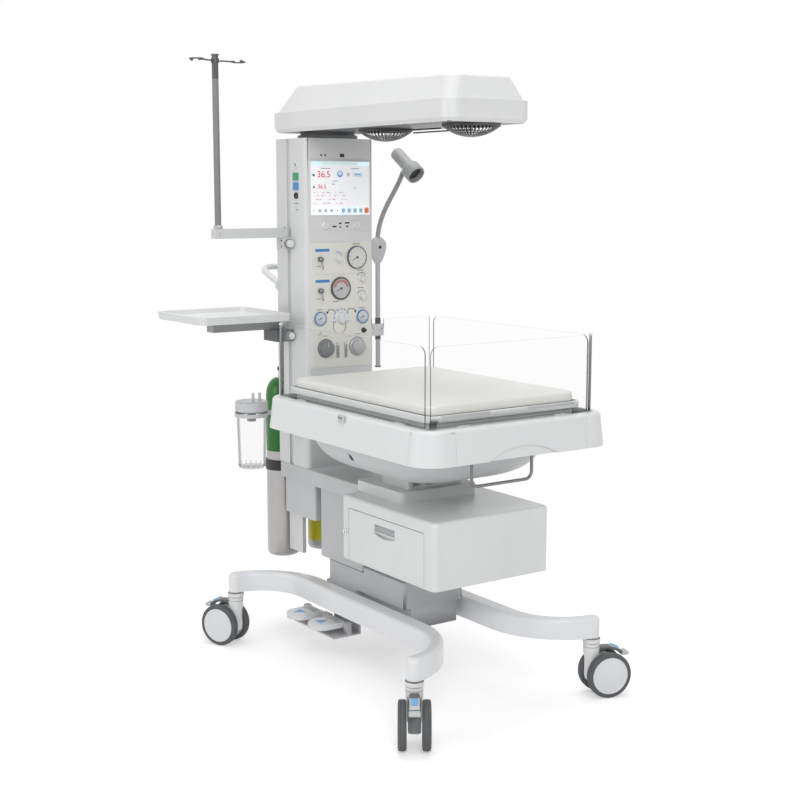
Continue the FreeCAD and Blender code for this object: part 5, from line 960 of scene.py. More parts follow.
@dataclass
class Carriage:
    """Lift cover, arm, tilt head and drawer."""

    face_x: float = -190.0

    def build(self) -> None:
        """Dress the lifting carriage's lower pieces."""
        cover = Finish("lift_cover", (0.58, 0.59, 0.61), drift=0.05, roughness=0.42, bump=0.1,
                       zones=(Zone((-112, 264.5, 380), (112, 470, 500), (0.62, 0.63, 0.635)),))
        Bench.fit(Bench.recast("lift_cover", "lift_cover_shell"), "carriage", "grey_metal", cover)
        arm = Finish("lift_arm", (0.60, 0.61, 0.615), drift=0.05, bump=0.12,
                     grain=(2600.0, 2600.0, 2600.0), zones=(
                         Zone((-140, -200, 529), (140, 27.5, 562), (0.80, 0.81, 0.81)),))
        Bench.fit(Bench.recast("lift_arm", "lift_arm_shell"), "carriage", "grey_metal", arm)
        Bench.fit(Bench.recast("tilt_head", "tilt_head_shell"), "carriage", "white_metal",
                  POWDER_WHITE)
        box = Bench.recast("drawer_box", "drawer_box_shell")
        Bench.fit(box, "carriage", "white_metal", POWDER_WHITE)
        inside = Finish("drawer_shell", POWDER_WHITE.colour, drift=0.04, roughness=0.36,
                        bump=0.1, coat=0.15)
        Bench.fit(Bench.recast("drawer", "drawer_front"), "drawer", "white_metal", inside)
        self.pull()
        self.lock()

    def pull(self) -> None:
        """Blue-grey cup in the drawer's recessed pull."""
        x = self.face_x
        tint = Finish("pull_cup", (0.42, 0.44, 0.46), drift=0.1, roughness=0.4)
        lip = Finish("pull_lip", (0.80, 0.81, 0.81), drift=0.04, roughness=0.3)
        cup = Bench.block("pull_cup", (x + 4.2, -252.0, 454.0), (x + 8.6, -160.0, 475.0), 2.0)
        Bench.fit(cup, "drawer", "white_plastic", tint)
        shelf = Bench.block("pull_lip", (x + 1.0, -251.0, 453.2), (x + 5.0, -161.0, 457.4), 1.6)
        Bench.fit(shelf, "drawer", "white_plastic", lip)

    def lock(self) -> None:
        """Cam lock barrel with its key slot beside the drawer."""
        seat = at(self.face_x - 3.0, -16.0, 428.0)
        ring = Bench.lathe("lock_barrel", [(0, -0.4), (8.4, -0.4), (8.4, 1.0), (7.4, 1.8),
                                           (5.6, 1.8), (5.2, 1.0), (0, 1.0)],
                           seat, Way.LEFT.value)
        Bench.fit(ring, "carriage", "steel", CHROME)
        slit = Bench.block("lock_slit", (self.face_x - 4.4, -16.7, 424.6),
                           (self.face_x - 3.6, -15.3, 431.4))
        Bench.fit(slit, "carriage", "dark_metal", BLACK)


# How far the screen's glass stands off the mast's front, in millimetres.
SCREEN_RISE = 1.9


@dataclass
class Mast:
    """Mast mouldings, display and side sockets."""

    front_y: float = 303.0
    half: float = 117.5
    screen_low: float = 1288.5
    screen_high: float = 1441.5
    screen_half: float = 101.5

    def build(self) -> None:
        """Dress the mast."""
        Bench.fit(Bench.recast("mast_front", "mast_front_shell", 30.0), "carriage",
                  "white_plastic", Finish("mast_front", (0.77, 0.775, 0.775), drift=0.035,
                                          roughness=0.38, coat=0.1))
        Bench.fit(Bench.recast("mast_extrusion", "mast_extrusion_bar", 30.0), "carriage",
                  "pale_alloy", PALE_ALLOY)
        Bench.dress("display", SATIN_WHITE)
        self.screen()
        self.sensor_window()
        self.probe_sockets()
        self.side_sockets()

    def tiles(self, name: str, colour: Colour, rise: float,
              *patches: tuple[float, float, float, float]) -> None:
        """Flat lit patches on the screen, as one piece.

        Args:
            name: name of the piece.
            colour: their colour.
            rise: how far they stand off the glass, in millimetres.
            *patches: left, right, low and high edge, as fractions of the screen's size.
        """
        width, height = 2 * self.screen_half, self.screen_high - self.screen_low
        y = self.front_y - SCREEN_RISE
        pieces = [Bench.block("patch", (-self.screen_half + x0 * width, y - rise,
                                        self.screen_low + z0 * height),
                              (-self.screen_half + x1 * width, y, self.screen_low + z1 * height))
                  for x0, x1, z0, z1 in patches]
        Bench.fit(Bench.join(name, *pieces), "carriage", "screen", lit(colour))

    def on_screen(self, x: float, z: float, rise: float) -> Vector:
        """Point over the screen, x and z as fractions of its size."""
        return at(-self.screen_half + x * 2 * self.screen_half, self.front_y - SCREEN_RISE - rise,
                  self.screen_low + z * (self.screen_high - self.screen_low))

    def discs(self, name: str, colour: Colour, rise: float,
              *places: tuple[float, float, float]) -> None:
        """Round lit marks on the screen: x, z and radius in millimetres."""
        pieces = [Bench.rod("mark", self.on_screen(x, z, 0), Way.FRONT.value, 2 * r, rise, 0.0, 28)
                  for x, z, r in places]
        Bench.fit(Bench.join(name, *pieces), "carriage", "screen", lit(colour))

    def screen(self) -> None:
        """Lit screen with plain generic readings, icons, rows of marks and keys."""
        y = self.front_y
        glass = Bench.block("screen_glass", (-self.screen_half, y - 2.0, self.screen_low),
                            (self.screen_half, y - 1.4, self.screen_high), 0.2, 1)
        Bench.fit(glass, "carriage", "screen", lit((0.95, 0.96, 0.98)))
        red, ink, rose, line = ((0.66, 0.02, 0.05), (0.18, 0.22, 0.28), (0.72, 0.30, 0.40),
                                (0.62, 0.70, 0.80))
        self.tiles("screen_header", (0.62, 0.78, 0.88), 0.1, (0.0, 1.0, 0.93, 1.0))
        self.tiles("screen_header_pill", (0.74, 0.90, 0.86), 0.25, (0.20, 0.79, 0.935, 0.99))
        self.tiles("screen_lines", line, 0.15, (0.01, 0.99, 0.60, 0.604), (0.01, 0.99, 0.45, 0.454),
                   (0.50, 0.503, 0.46, 0.60), (0.60, 0.99, 0.33, 0.333), (0.60, 0.603, 0.17, 0.45))
        self.tiles("screen_pill", (0.60, 0.78, 0.92), 0.2, (0.72, 0.88, 0.72, 0.80))
        self.tiles("screen_labels", ink, 0.2, (0.17, 0.33, 0.865, 0.878), (0.68, 0.82, 0.865, 0.878),
                   (0.36, 0.47, 0.63, 0.642), (0.36, 0.41, 0.57, 0.585), (0.73, 0.78, 0.50, 0.512),
                   (0.03, 0.075, 0.72, 0.77), (0.04, 0.075, 0.50, 0.54), (0.75, 0.85, 0.755, 0.768),
                   (0.24, 0.29, 0.935, 0.945))
        marks = []
        for row, z in enumerate((0.41, 0.35, 0.28, 0.21)):
            for column in range(5):
                x = 0.05 + 0.108 * column + 0.018 * ((row * 3 + column * 2) % 4)
                marks.append((x, x + 0.022 + 0.012 * ((row + column) % 3), z, z + 0.018))
        self.tiles("screen_rows", rose, 0.2, *marks)
        self.tiles("screen_small_rows", ink, 0.2, *[
            (x0 + 0.055, x0 + 0.075, z0 + 0.004, z0 + 0.014) for x0, _, z0, _ in marks[::2]])
        for name, words, x, z, height in (("reading_skin", "36.5", 0.22, 0.755, 19.0),
                                          ("reading_air", "36.5", 0.19, 0.525, 12.5)):
            piece = Bench.digits(name, words, self.on_screen(x, z, 0.4), height, 0.4)
            Bench.fit(piece, "carriage", "screen", lit(red))
        self.discs("screen_round_icons", (0.16, 0.34, 0.70), 0.3, (0.495, 0.77, 10.0))
        self.discs("screen_icon_middle", (0.62, 0.78, 0.94), 0.5, (0.495, 0.785, 6.4))
        self.discs("screen_grey_icon", (0.52, 0.55, 0.58), 0.3, (0.635, 0.76, 6.0))
        keys = 10
        middles = [(step + 0.5) / keys for step in range(keys)]
        self.tiles("screen_key_bar", (0.84, 0.90, 0.95), 0.1, (0.0, 1.0, 0.0, 0.15))
        self.tiles("screen_keys", (0.62, 0.82, 0.93), 0.25, *[
            (x - 0.04, x + 0.04, 0.02, 0.135) for x in middles[5:9]])
        self.tiles("screen_key_last", (0.85, 0.26, 0.10), 0.25, (0.91, 0.99, 0.02, 0.135))
        self.discs("screen_glyphs", (0.16, 0.26, 0.34), 0.45, *[
            (x, 0.078, 2.2 if step in (0, 4) else 4.6) for step, x in enumerate(middles[:9])])
        self.discs("screen_glyph_dots", (0.78, 0.86, 0.92), 0.6, *[
            (x, 0.078, 1.7) for x in middles[1:4] + middles[5:9]])
        self.discs("screen_last_glyph", (0.45, 0.10, 0.03), 0.45, (0.95, 0.078, 4.0))

    def sensor_window(self) -> None:
        """Small dark window and two marks above the screen."""
        y = self.front_y
        window = Bench.block("sensor_window", (0.5, y - 0.5, 1454.5), (15.5, y + 0.4, 1464.5), 1.0)
        Bench.fit(window, "carriage", "dark_metal", BLACK)
        for step, x in enumerate((-64.0, -50.0)):
            lamp = Bench.lathe(f"status_lamp_{step}", [(0, -0.3), (3.2, -0.3), (3.2, 0.3),
                                                       (2.2, 0.9), (0, 1.1)],
                               at(x, y, 1459.5), Way.FRONT.value, 20)
            Bench.fit(lamp, "carriage", "grey_plastic", DARK_GREY)

    def probe_sockets(self) -> None:
        """Two pale probe sockets under the screen with small dark marks between them."""
        y = self.front_y
        for side in (-1, 1):
            ring = Bench.lathe(f"probe_socket_{side + 1}", [
                (0, 0), (12.4, 0), (12.4, 6.4), (11.0, 8.4), (8.4, 9.0), (7.6, 7.6), (4.6, 7.2),
                (4.0, 5.4), (0, 5.4)], at(side * 53.0, y, 1259.0), Way.FRONT.value, 40)
            Bench.fit(ring, "carriage", "steel", SATIN_WHITE)
        for step, (x, half, low) in enumerate(((-20, 7, 1252), (0, 2.4, 1250), (0, 4.5, 1261),
                                               (24, 8, 1262), (24, 3.5, 1252))):
            mark = Bench.block(f"probe_mark_{step}", (x - half, y - 0.4, low),
                               (x + half, y + 0.2, low + 4.5), 0.8)
            Bench.fit(mark, "carriage", "dark_metal", BLACK)

    def side_sockets(self) -> None:
        """Round socket, green and blue switches and a dark socket on the mast's left side."""
        face, y = -self.half, 354.0
        top, step_down = 1432.0, 27.5
        ring = Bench.lathe("data_socket", [(0, 1.0), (6.0, 1.0), (6.0, 4.2), (9.4, 4.2),
                                           (10.4, 3.2), (10.4, 0), (0, 0), (0, 1.0)],
                           at(face, y, top), Way.LEFT.value, 36)
        Bench.fit(ring, "carriage", "steel", SATIN_WHITE)
        for step, (dy, dz) in enumerate(((-2.4, -2.4), (2.4, -2.4), (-2.4, 2.4), (2.4, 2.4))):
            hole = Bench.rod(f"data_pin_{step}", at(face - 0.9, y + dy, top + dz), Way.LEFT.value,
                             2.6, 1.4, 0.3, 12)
            Bench.fit(hole, "carriage", "dark_metal", BLACK)
        for step, finish in ((1, GREEN), (2, BLUE)):
            z = top - 6.0 - step_down * step
            case = Bench.block(f"side_switch_case_{step}", (face - 1.6, y - 17.5, z - 12.6),
                               (face + 0.5, y + 17.5, z + 12.6), 1.4)
            Bench.fit(case, "carriage", "white_plastic", SATIN_WHITE)
            key = Bench.block(f"side_switch_key_{step}", (face - 3.6, y - 16.2, z - 11.4),
                              (face - 1.0, y + 16.2, z + 11.4), 1.2)
            Bench.fit(key, "carriage", "grey_plastic", finish)
        for step in range(4):
            z = top - 112.0 - 9.0 * step
            mark = Bench.block(f"side_mark_{step}", (face - 0.4, y - 10 + step, z),
                               (face + 0.2, y + 9 - 2 * step, z + 2.2), 0.3, 1)
            Bench.fit(mark, "carriage", "dark_metal", PALE_GREY if step % 2 else DARK_GREY)
        z = top - 6.0 - step_down * 3
        core = Bench.lathe("power_socket", [(0, 2.2), (5.5, 2.2), (6.0, 4.0), (9.0, 4.0), (9.4, 0),
                                            (0, 0), (0, 2.2)], at(face, y, z), Way.LEFT.value, 36)
        stand_in = Bench.fit(core, "carriage", "dark_metal", BLACK)
        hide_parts("panel_instruments")


def lit(colour: Colour) -> Finish:
    """Faintly glowing screen colour."""
    name = "lit_" + "_".join(str(round(c * 100)) for c in colour)
    return Finish(name, colour, drift=0.015, roughness=0.22, bump=0.0, glow=0.25)


@dataclass
class GasControls:
    """Gauges, knobs, toggles, flow tubes and prints on the cream panel."""

    face_y: float = 300.0

    def build(self) -> None:
        """Dress the gas panel."""
        Bench.dress("gas_panel", CREAM)
        pale = Finish("pale_blue_dial", (0.72, 0.79, 0.85), drift=0.04, roughness=0.5)
        grey = Finish("grey_dial", (0.62, 0.63, 0.635), drift=0.04, roughness=0.5)
        blue = Finish("blue_rim", (0.12, 0.27, 0.50), drift=0.06, roughness=0.4)
        self.gauge("line_gauge", 54.0, 1163.0, 67.0, 7.0, DARK_GREY, 2.6, DIAL_WHITE)
        self.gauge("airway_gauge", -3.0, 1073.0, 67.0, 7.0, DARK_GREY, 4.6, grey)
        self.gauge("air_gauge", -74.0, 987.0, 40.0, 6.0, blue, 2.6, pale)
        self.gauge("oxygen_gauge", 74.0, 987.0, 40.0, 6.0, blue, 2.6, pale)
        self.red_arc()
        for name, x, z, dia, finish in (
                ("mixer_knob", 0.0, 987.0, 40.0, SATIN_WHITE),
                ("pressure_knob", -12.0, 1163.0, 27.0, SATIN_WHITE),
                ("regulator_knob_upper", 72.0, 1101.0, 26.0, SATIN_WHITE),
                ("regulator_knob_lower", 72.0, 1048.0, 26.0, SATIN_WHITE),
                ("flow_knob_left", -55.0, 898.0, 53.0,
                 Finish("flow_knob_grey", (0.17, 0.175, 0.18), drift=0.14, bump=0.2)),
                ("flow_knob_right", 55.0, 898.0, 53.0,
                 Finish("flow_knob_pale", (0.50, 0.505, 0.51), drift=0.1, bump=0.2,
                        metallic=0.3))):
            self.knob(name, x, z, dia, finish)
        for name, z in (("toggle_lever_upper", 1160.0), ("toggle_lever_lower", 1068.0)):
            self.toggle(name, z)
        self.flow_tubes()
        self.ports()
        self.prints()

    def gauge(self, name: str, x: float, z: float, dia: float, proud: float, rim_finish: Finish,
              rim_width: float, tint: Finish) -> None:
        """Round gauge: coloured rim, face, ring of marks, needle, hub and glass.

        Args:
            name: name of the gauge.
            x: its middle.
            z: its middle.
            dia: of its rim.
            proud: how far it stands off the panel.
            rim_finish: finish of the rim.
            rim_width: width of the rim.
            tint: finish of the dial face.
        """
        centre = at(x, self.face_y, z)
        r = dia / 2
        inner = r - rim_width
        front = Way.FRONT.value
        case = Bench.lathe(name + "_case", [(0, 0), (r, 0), (r, proud - 1.2), (r - 1.0, proud),
                                            (inner + 0.4, proud), (inner, proud - 1.8),
                                            (0, proud - 1.8)], centre, front, 64)
        Bench.fit(case, "carriage", "steel", rim_finish)
        face = Bench.lathe(name + "_face", [(0, 0), (inner, 0), (inner, 0.3), (0, 0.3)],
                           centre + front * (proud - 1.7) * MM, front, 48)
        Bench.fit(face, "carriage", "white_plastic", tint)
        ring_r = inner - 0.8
        top = centre + front * (proud - 1.4) * MM
        marks = []
        count = 11 if dia > 50 else 7
        tick = Bench.block("tick", (-0.35, 0, 0), (0.35, 0.3, dia * 0.055))
        tick.data.transform(Matrix.Translation(-SHIFT))
        for step in range(count):
            turn = math.radians(-135 + 270 * step / (count - 1))
            place = (Matrix.Translation(top + front * 0.2 * MM)
                     @ Matrix.Rotation(turn, 4, "Y")
                     @ Matrix.Translation(Vector((0, 0, (ring_r - dia * 0.085) * MM))))
            marks.append(Bench.copy(tick, "mark", place))
        bpy.data.objects.remove(tick)
        needle = Bench.block("needle", (-0.7, 0, -dia * 0.08), (0.7, 0.4, dia * 0.28))
        needle.data.transform(Matrix.Translation(-SHIFT))
        aim = Matrix.Translation(top + front * 0.8 * MM) @ Matrix.Rotation(
            math.radians(-118), 4, "Y")
        needle.data.transform(aim)
        hub = Bench.rod("hub", top, front, dia * 0.1, 1.2, 0.3, 20)
        Bench.fit(Bench.join(name + "_marks", *marks, needle, hub), "carriage", "dark_metal",
                  BLACK)
        glass = Bench.lathe(name + "_glass", [(0, 0), (inner + 0.3, 0), (inner + 0.3, 0.3),
                                              (0, 0.6)],
                            centre + front * (proud - 0.2) * MM, front, 48)
        Bench.fit(glass, "carriage", "clear_panel", LENS)

    def red_arc(self) -> None:
        """Broad red warning arc on the upper half of the airway gauge."""
        points = []
        for step in range(17):
            turn = math.radians(-78 + 156 * step / 16)
            points.append(at(-3.0 + 22.5 * math.sin(turn), self.face_y - 5.8,
                             1073.0 + 22.5 * math.cos(turn)))
        piece = Bench.tube("airway_red_arc", points, 9.0, sides=2)
        self.flatten(piece, 5.8)
        Bench.fit(piece, "carriage", "dark_metal",
                  Finish("red_arc", (0.55, 0.20, 0.22), drift=0.06, roughness=0.5))

    def knob(self, name: str, x: float, z: float, dia: float, finish: Finish) -> None:
        """Fluted knob on a skirt with a pointer line."""
        r = dia / 2
        seat = at(x, self.face_y - 0.3, z)
        front = Way.FRONT.value
        skirt = Bench.lathe(name + "_skirt", [(0, 0), (r, 0), (r, 2.0), (r - 1.2, 3.2),
                                              (r * 0.8, 4.2), (0, 4.2)], seat, front, 48)
        stand_in = Bench.fit(skirt, name, "knob_white", finish)
        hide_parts(name)
        grip = Bench.rod(name + "_grip", seat + front * 3.6 * MM, front, dia * 0.8, 13.2, 0.0, 48)
        Bench.pick(grip)
        bpy.ops.object.mode_set(mode="EDIT")
        bpy.ops.mesh.select_mode(type="FACE")
        bpy.ops.mesh.select_all(action="DESELECT")
        bpy.ops.object.mode_set(mode="OBJECT")
        sides = [f for f in grip.data.polygons if abs(f.normal.y) < 0.5]
        for count, face in enumerate(sides):
            face.select = count % 2 == 0
        bpy.ops.object.mode_set(mode="EDIT")
        bpy.ops.mesh.inset(thickness=0.00012, depth=-0.0005)
        bpy.ops.object.mode_set(mode="OBJECT")
        Bench.round_edges(grip, 0.8, 2, 80.0)
        Bench.fit(grip, name, "knob_white", finish)
        line = Bench.block(name + "_pointer", (x - 0.7, self.face_y - 17.4, z + r * 0.15),
                           (x + 0.7, self.face_y - 16.6, z + r * 0.70), 0.2, 1)
        mark = SOFT_BLUE if finish is SATIN_WHITE else SATIN_WHITE
        Bench.fit(line, name, "knob_dark", mark)

    def toggle(self, name: str, z: float) -> None:
        """Chrome ball and stick of a toggle lever."""
        Bench.fit(Bench.recast(name, name + "_stick"), name, "steel", ROD_STEEL)
        nut = Bench.lathe(name + "_nut", [(0, -0.1), (9.0, -0.1), (9.0, 0.2), (0, 0.2)],
                          at(-72.0, self.face_y, z), Way.FRONT.value, 6)
        Bench.fit(nut, "carriage", "steel", ANODISED)

    def flow_tubes(self) -> None:
        """Two flow tube cases with dark windows, scales, floats and crowns."""
        front = Way.FRONT.value
        for side in (-1, 1):
            x = side * 14.0
            case = Bench.block(f"flow_case_{side + 1}", (x - 5.4, self.face_y - 3.4, 867.2),
                               (x + 5.4, self.face_y, 912.8), 2.2, 4)
            Bench.fit(case, "carriage", "steel", ANODISED)
            window = Bench.block(f"flow_window_{side + 1}", (x - 3.2, self.face_y - 4.0, 872.0),
                                 (x + 3.2, self.face_y - 3.0, 908.0), 0.9)
            Bench.fit(window, "carriage", "white_plastic",
                      Finish("flow_scale_back", (0.30, 0.31, 0.31), drift=0.1, roughness=0.4))
            floating = Bench.rod(f"flow_float_{side + 1}", at(x, self.face_y - 3.9, 884.0 + side * 5),
                                 front, 4.2, 0.9, 0.2, 20)
            Bench.fit(floating, "carriage", "dark_metal", BLACK if side < 0 else RED)
            crown = Bench.block(f"flow_crown_{side + 1}", (x - 4.4, self.face_y - 4.4, 906.0),
                                (x + 4.4, self.face_y - 3.0, 911.6), 1.4)
            Bench.fit(crown, "carriage", "white_plastic", DIAL_WHITE)
            marks = [Bench.block("mark", (x - 3.0, self.face_y - 4.2, 875.0 + 4 * n),
                                 (x - 1.4, self.face_y - 3.9, 875.5 + 4 * n)) for n in range(8)]
            Bench.fit(Bench.join(f"flow_scale_{side + 1}", *marks), "carriage", "dark_metal",
                      BLACK)

    def ports(self) -> None:
        """Two gas ports with barbed noses."""
        for side in (-1, 1):
            profile = [(0, 0), (8.0, 0), (8.0, 1.6), (5.6, 2.2), (5.6, 5.0), (4.4, 6.0), (5.0, 9.0),
                       (3.8, 12.8), (2.2, 12.8), (2.2, 6.0), (0, 6.0)]
            port = Bench.lathe(f"gas_port_{side + 1}", profile,
                               at(side * 78.0, self.face_y, 945.0), Way.FRONT.value, 32)
            Bench.fit(port, "carriage", "dark_metal", BLACK if side > 0 else PALE_ALLOY)

    def bar(self, name: str, x0: float, x1: float, z0: float, z1: float, finish: Finish) -> None:
        """Thin printed bar on the panel."""
        piece = Bench.block(name, (x0, self.face_y - 0.35, z0), (x1, self.face_y + 0.1, z1))
        Bench.fit(piece, "carriage", "cream_panel", finish)

    def arc(self, name: str, x: float, z: float, r: float, start: float, end: float, width: float,
            finish: Finish) -> None:
        """Thin printed arc round a control; angles clockwise from straight up."""
        steps = 16
        points = []
        for step in range(steps + 1):
            turn = math.radians(start + (end - start) * step / steps)
            points.append(at(x + r * math.sin(turn), self.face_y - 0.1, z + r * math.cos(turn)))
        piece = Bench.tube(name, points, width, sides=2)
        self.flatten(piece, 0.1)
        Bench.fit(piece, "carriage", "cream_panel", finish)

    def flatten(self, piece: bpy.types.Object, proud: float) -> None:
        """Press a wire into a thin print that far off the panel's face."""
        Bench.pick(piece)
        face = at(0, self.face_y - proud, 0).y
        bpy.ops.object.mode_set(mode="EDIT")
        bpy.ops.mesh.select_all(action="SELECT")
        bpy.ops.transform.resize(value=(1, 0.15, 1), center_override=(0, face, 0))
        bpy.ops.object.mode_set(mode="OBJECT")

    def arrow_head(self, side: int) -> None:
        """Printed arrow head at the outer end of a feed arc."""
        tip = at(side * 49.0, self.face_y + 0.1, 1003.0)
        head = Bench.rod(f"feed_head_{side + 1}", tip, Way.FRONT.value, 10.0, 0.5, 0.0, 3)
        turn = Matrix.Rotation(math.radians(180 - 20 * side), 4, "Y")
        head.data.transform(Matrix.Translation(tip) @ turn @ Matrix.Translation(-tip))
        Bench.fit(head, "carriage", "cream_panel", BLACK)

    def prints(self) -> None:
        """Plain bars, arcs and frames printed on the panel, with no words."""
        for z in (1186.0, 1096.0):
            self.bar(f"label_bar_{int(z)}", -88.0, -40.0, z - 4.2, z + 4.2, BLUE)
        for x, z, r in ((72.0, 1101.0, 16.5), (72.0, 1048.0, 16.5)):
            self.arc(f"regulator_arc_{int(z)}", x, z, r, -60, 60, 1.8, DARK_GREY)
        self.arc("pressure_arc", -12.0, 1163.0, 17.5, -20, 110, 2.2, BLUE)
        for step in range(9):
            middle = -120 + 30 * step
            self.arc(f"mixer_dash_{step}", 0.0, 987.0, 25.5, middle - 9, middle + 9, 3.2, BLUE)
        for side in (-1, 1):
            self.arc(f"mixer_feed_{side + 1}", side * 35.0, 996.0, 16.0, -70 if side > 0 else -55,
                     55 if side > 0 else 70, 2.4, BLACK)
            self.arrow_head(side)
            self.arc(f"flow_ring_{side + 1}", side * 55.0, 898.0, 28.0, 0, 360, 2.0, DARK_GREY)
            self.arc(f"outlet_arc_{side + 1}", side * 74.0, 987.0, 23.0, 100, 260, 1.2, DARK_GREY)
        for z in (1115.0, 1012.0, 928.0):
            self.bar(f"panel_line_{int(z)}", -90.0, 90.0, z, z + 0.9, PALE_GREY)
        for x, z, w in ((-84, 1138, 14), (-84, 1044, 14), (40, 1202, 26), (-30, 1034, 20),
                        (58, 1072, 22), (58, 1124, 22), (-84, 1012, 18), (64, 1012, 18),
                        (-66, 934, 18), (48, 934, 18)):
            self.bar(f"fine_mark_{x + 100}_{z}", x, x + w, z, z + 1.5, DARK_GREY)


@dataclass
class Fittings:
    """Push handle, clamps, drip pole and side tray."""

    pole: tuple[float, float] = (-350.0, 400.0)

    def build(self) -> None:
        """Dress the mast's fittings."""
        Bench.fit(Bench.recast("push_handle", "push_handle_tube"), "carriage", "white_metal",
                  POWDER_WHITE)
        clamps = Finish("clamp_blocks", (0.13, 0.135, 0.14), drift=0.12, roughness=0.45, bump=0.1,
                        zones=(Zone((-170, 350, 1180), (-102, 425, 1262), (0.70, 0.71, 0.71)),
                               Zone((-320, 330, 520), (-102, 460, 760), (0.62, 0.63, 0.635)),
                               Zone((117, 330, 900), (190, 372, 970), (0.74, 0.75, 0.75))))
        Bench.fit(Bench.recast("rail_clamps", "rail_clamp_blocks"), "carriage", "dark_metal",
                  clamps)
        self.clamp_knobs()
        Bench.fit(Bench.recast("pole_arm", "pole_arm_bar"), "pole_arm", "grey_metal",
                  Finish("pole_arm", (0.68, 0.69, 0.69), drift=0.05, metallic=0.2,
                         grain=(60.0, 1600.0, 1600.0), bump=0.1))
        pole = Finish("drip_pole", (0.25, 0.255, 0.26), drift=0.06, roughness=0.4, metallic=0.2,
                      grain=(1800.0, 1800.0, 30.0), bump=0.1, zones=(
                          Zone((-460, 300, 1668), (-240, 500, 1740), (0.11, 0.11, 0.115), 0.26,
                               0.5),))
        Bench.fit(Bench.recast("drip_pole", "drip_pole_tube"), "drip_pole", "anodised", pole)
        self.pole_collars()
        Bench.fit(Bench.recast("tray_arm", "tray_arm_channel"), "side_tray", "dark_metal",
                  Finish("tray_arm", (0.34, 0.345, 0.35), drift=0.08, metallic=0.2,
                         grain=(60.0, 1600.0, 1600.0), bump=0.12))
        Bench.fit(Bench.recast("side_tray", "side_tray_shelf"), "side_tray", "white_plastic",
                  SATIN_WHITE)

    def clamp_knobs(self) -> None:
        """Sleeved white knobs at the front of the pole, tray and jar clamps, and fine screws."""
        x, front = -132.5, 379.0
        for name, z in (("pole_clamp", 1204.7), ("tray_clamp", 933.7), ("jar_clamp", 694.7)):
            seat = at(x, front, z)
            sleeve = Bench.lathe(name + "_sleeve", [(0, -1), (13.6, -1), (13.6, 6.0), (12.6, 7.2),
                                                    (0, 7.2)], seat, Way.FRONT.value, 40)
            Bench.fit(sleeve, "carriage", "grey_plastic",
                      Finish("knob_sleeve", (0.26, 0.265, 0.27), drift=0.08))
            knob = Bench.lathe(name + "_knob", [(0, 5), (11.0, 5), (11.2, 6.4), (11.2, 14.6),
                                                (10.2, 16.4), (7.6, 17.2), (0, 17.6)],
                               seat, Way.FRONT.value, 60)
            self.lobes(knob, 10)
            Bench.fit(knob, "carriage", "white_plastic", SATIN_WHITE)
        for step, z in enumerate((1196.0, 1213.0)):
            HeadScrew(5.0, "dark_metal").set(f"pole_clamp_screw_{step}", at(-147.5, 392.0, z),
                                             Way.LEFT.value, "carriage", BLACK)
        HeadScrew(6.0, "dark_metal").set("pole_arm_pin_head", at(x, 400.0, 1250.3), Way.UP.value,
                                         "pole_arm", DARK_GREY)

    def lobes(self, knob: bpy.types.Object, count: int) -> None:
        """Squeeze a round knob into a lobed one."""
        low = Vector([min(v.co[i] for v in knob.data.vertices) for i in range(3)])
        high = Vector([max(v.co[i] for v in knob.data.vertices) for i in range(3)])
        middle = (low + high) / 2
        for vertex in knob.data.vertices:
            off = vertex.co - middle
            turn = math.atan2(off.z, off.x)
            squeeze = 1 - 0.06 * (0.5 - 0.5 * math.cos(count * turn))
            vertex.co.x = middle.x + off.x * squeeze
            vertex.co.z = middle.z + off.z * squeeze

    def pole_collars(self) -> None:
        """Collar at the foot of the pole and the screw of the pole's arm."""
        x, y = self.pole
        foot = Bench.lathe("pole_collar", [(9.3, 0), (13.0, 0), (13.0, 7.0), (11.0, 9.0),
                                           (9.3, 9.0), (9.3, 0)], at(x, y, 1250.4), Way.UP.value)
        Bench.fit(foot, "drip_pole", "grey_metal", ANODISED)
        screw = Bench.rod("pole_arm_screw", at(x, y - 13.0, 1236.0), Way.FRONT.value, 9.0, 2.0,
                          0.5, 24)
        Bench.fit(screw, "pole_arm", "steel", STEEL)


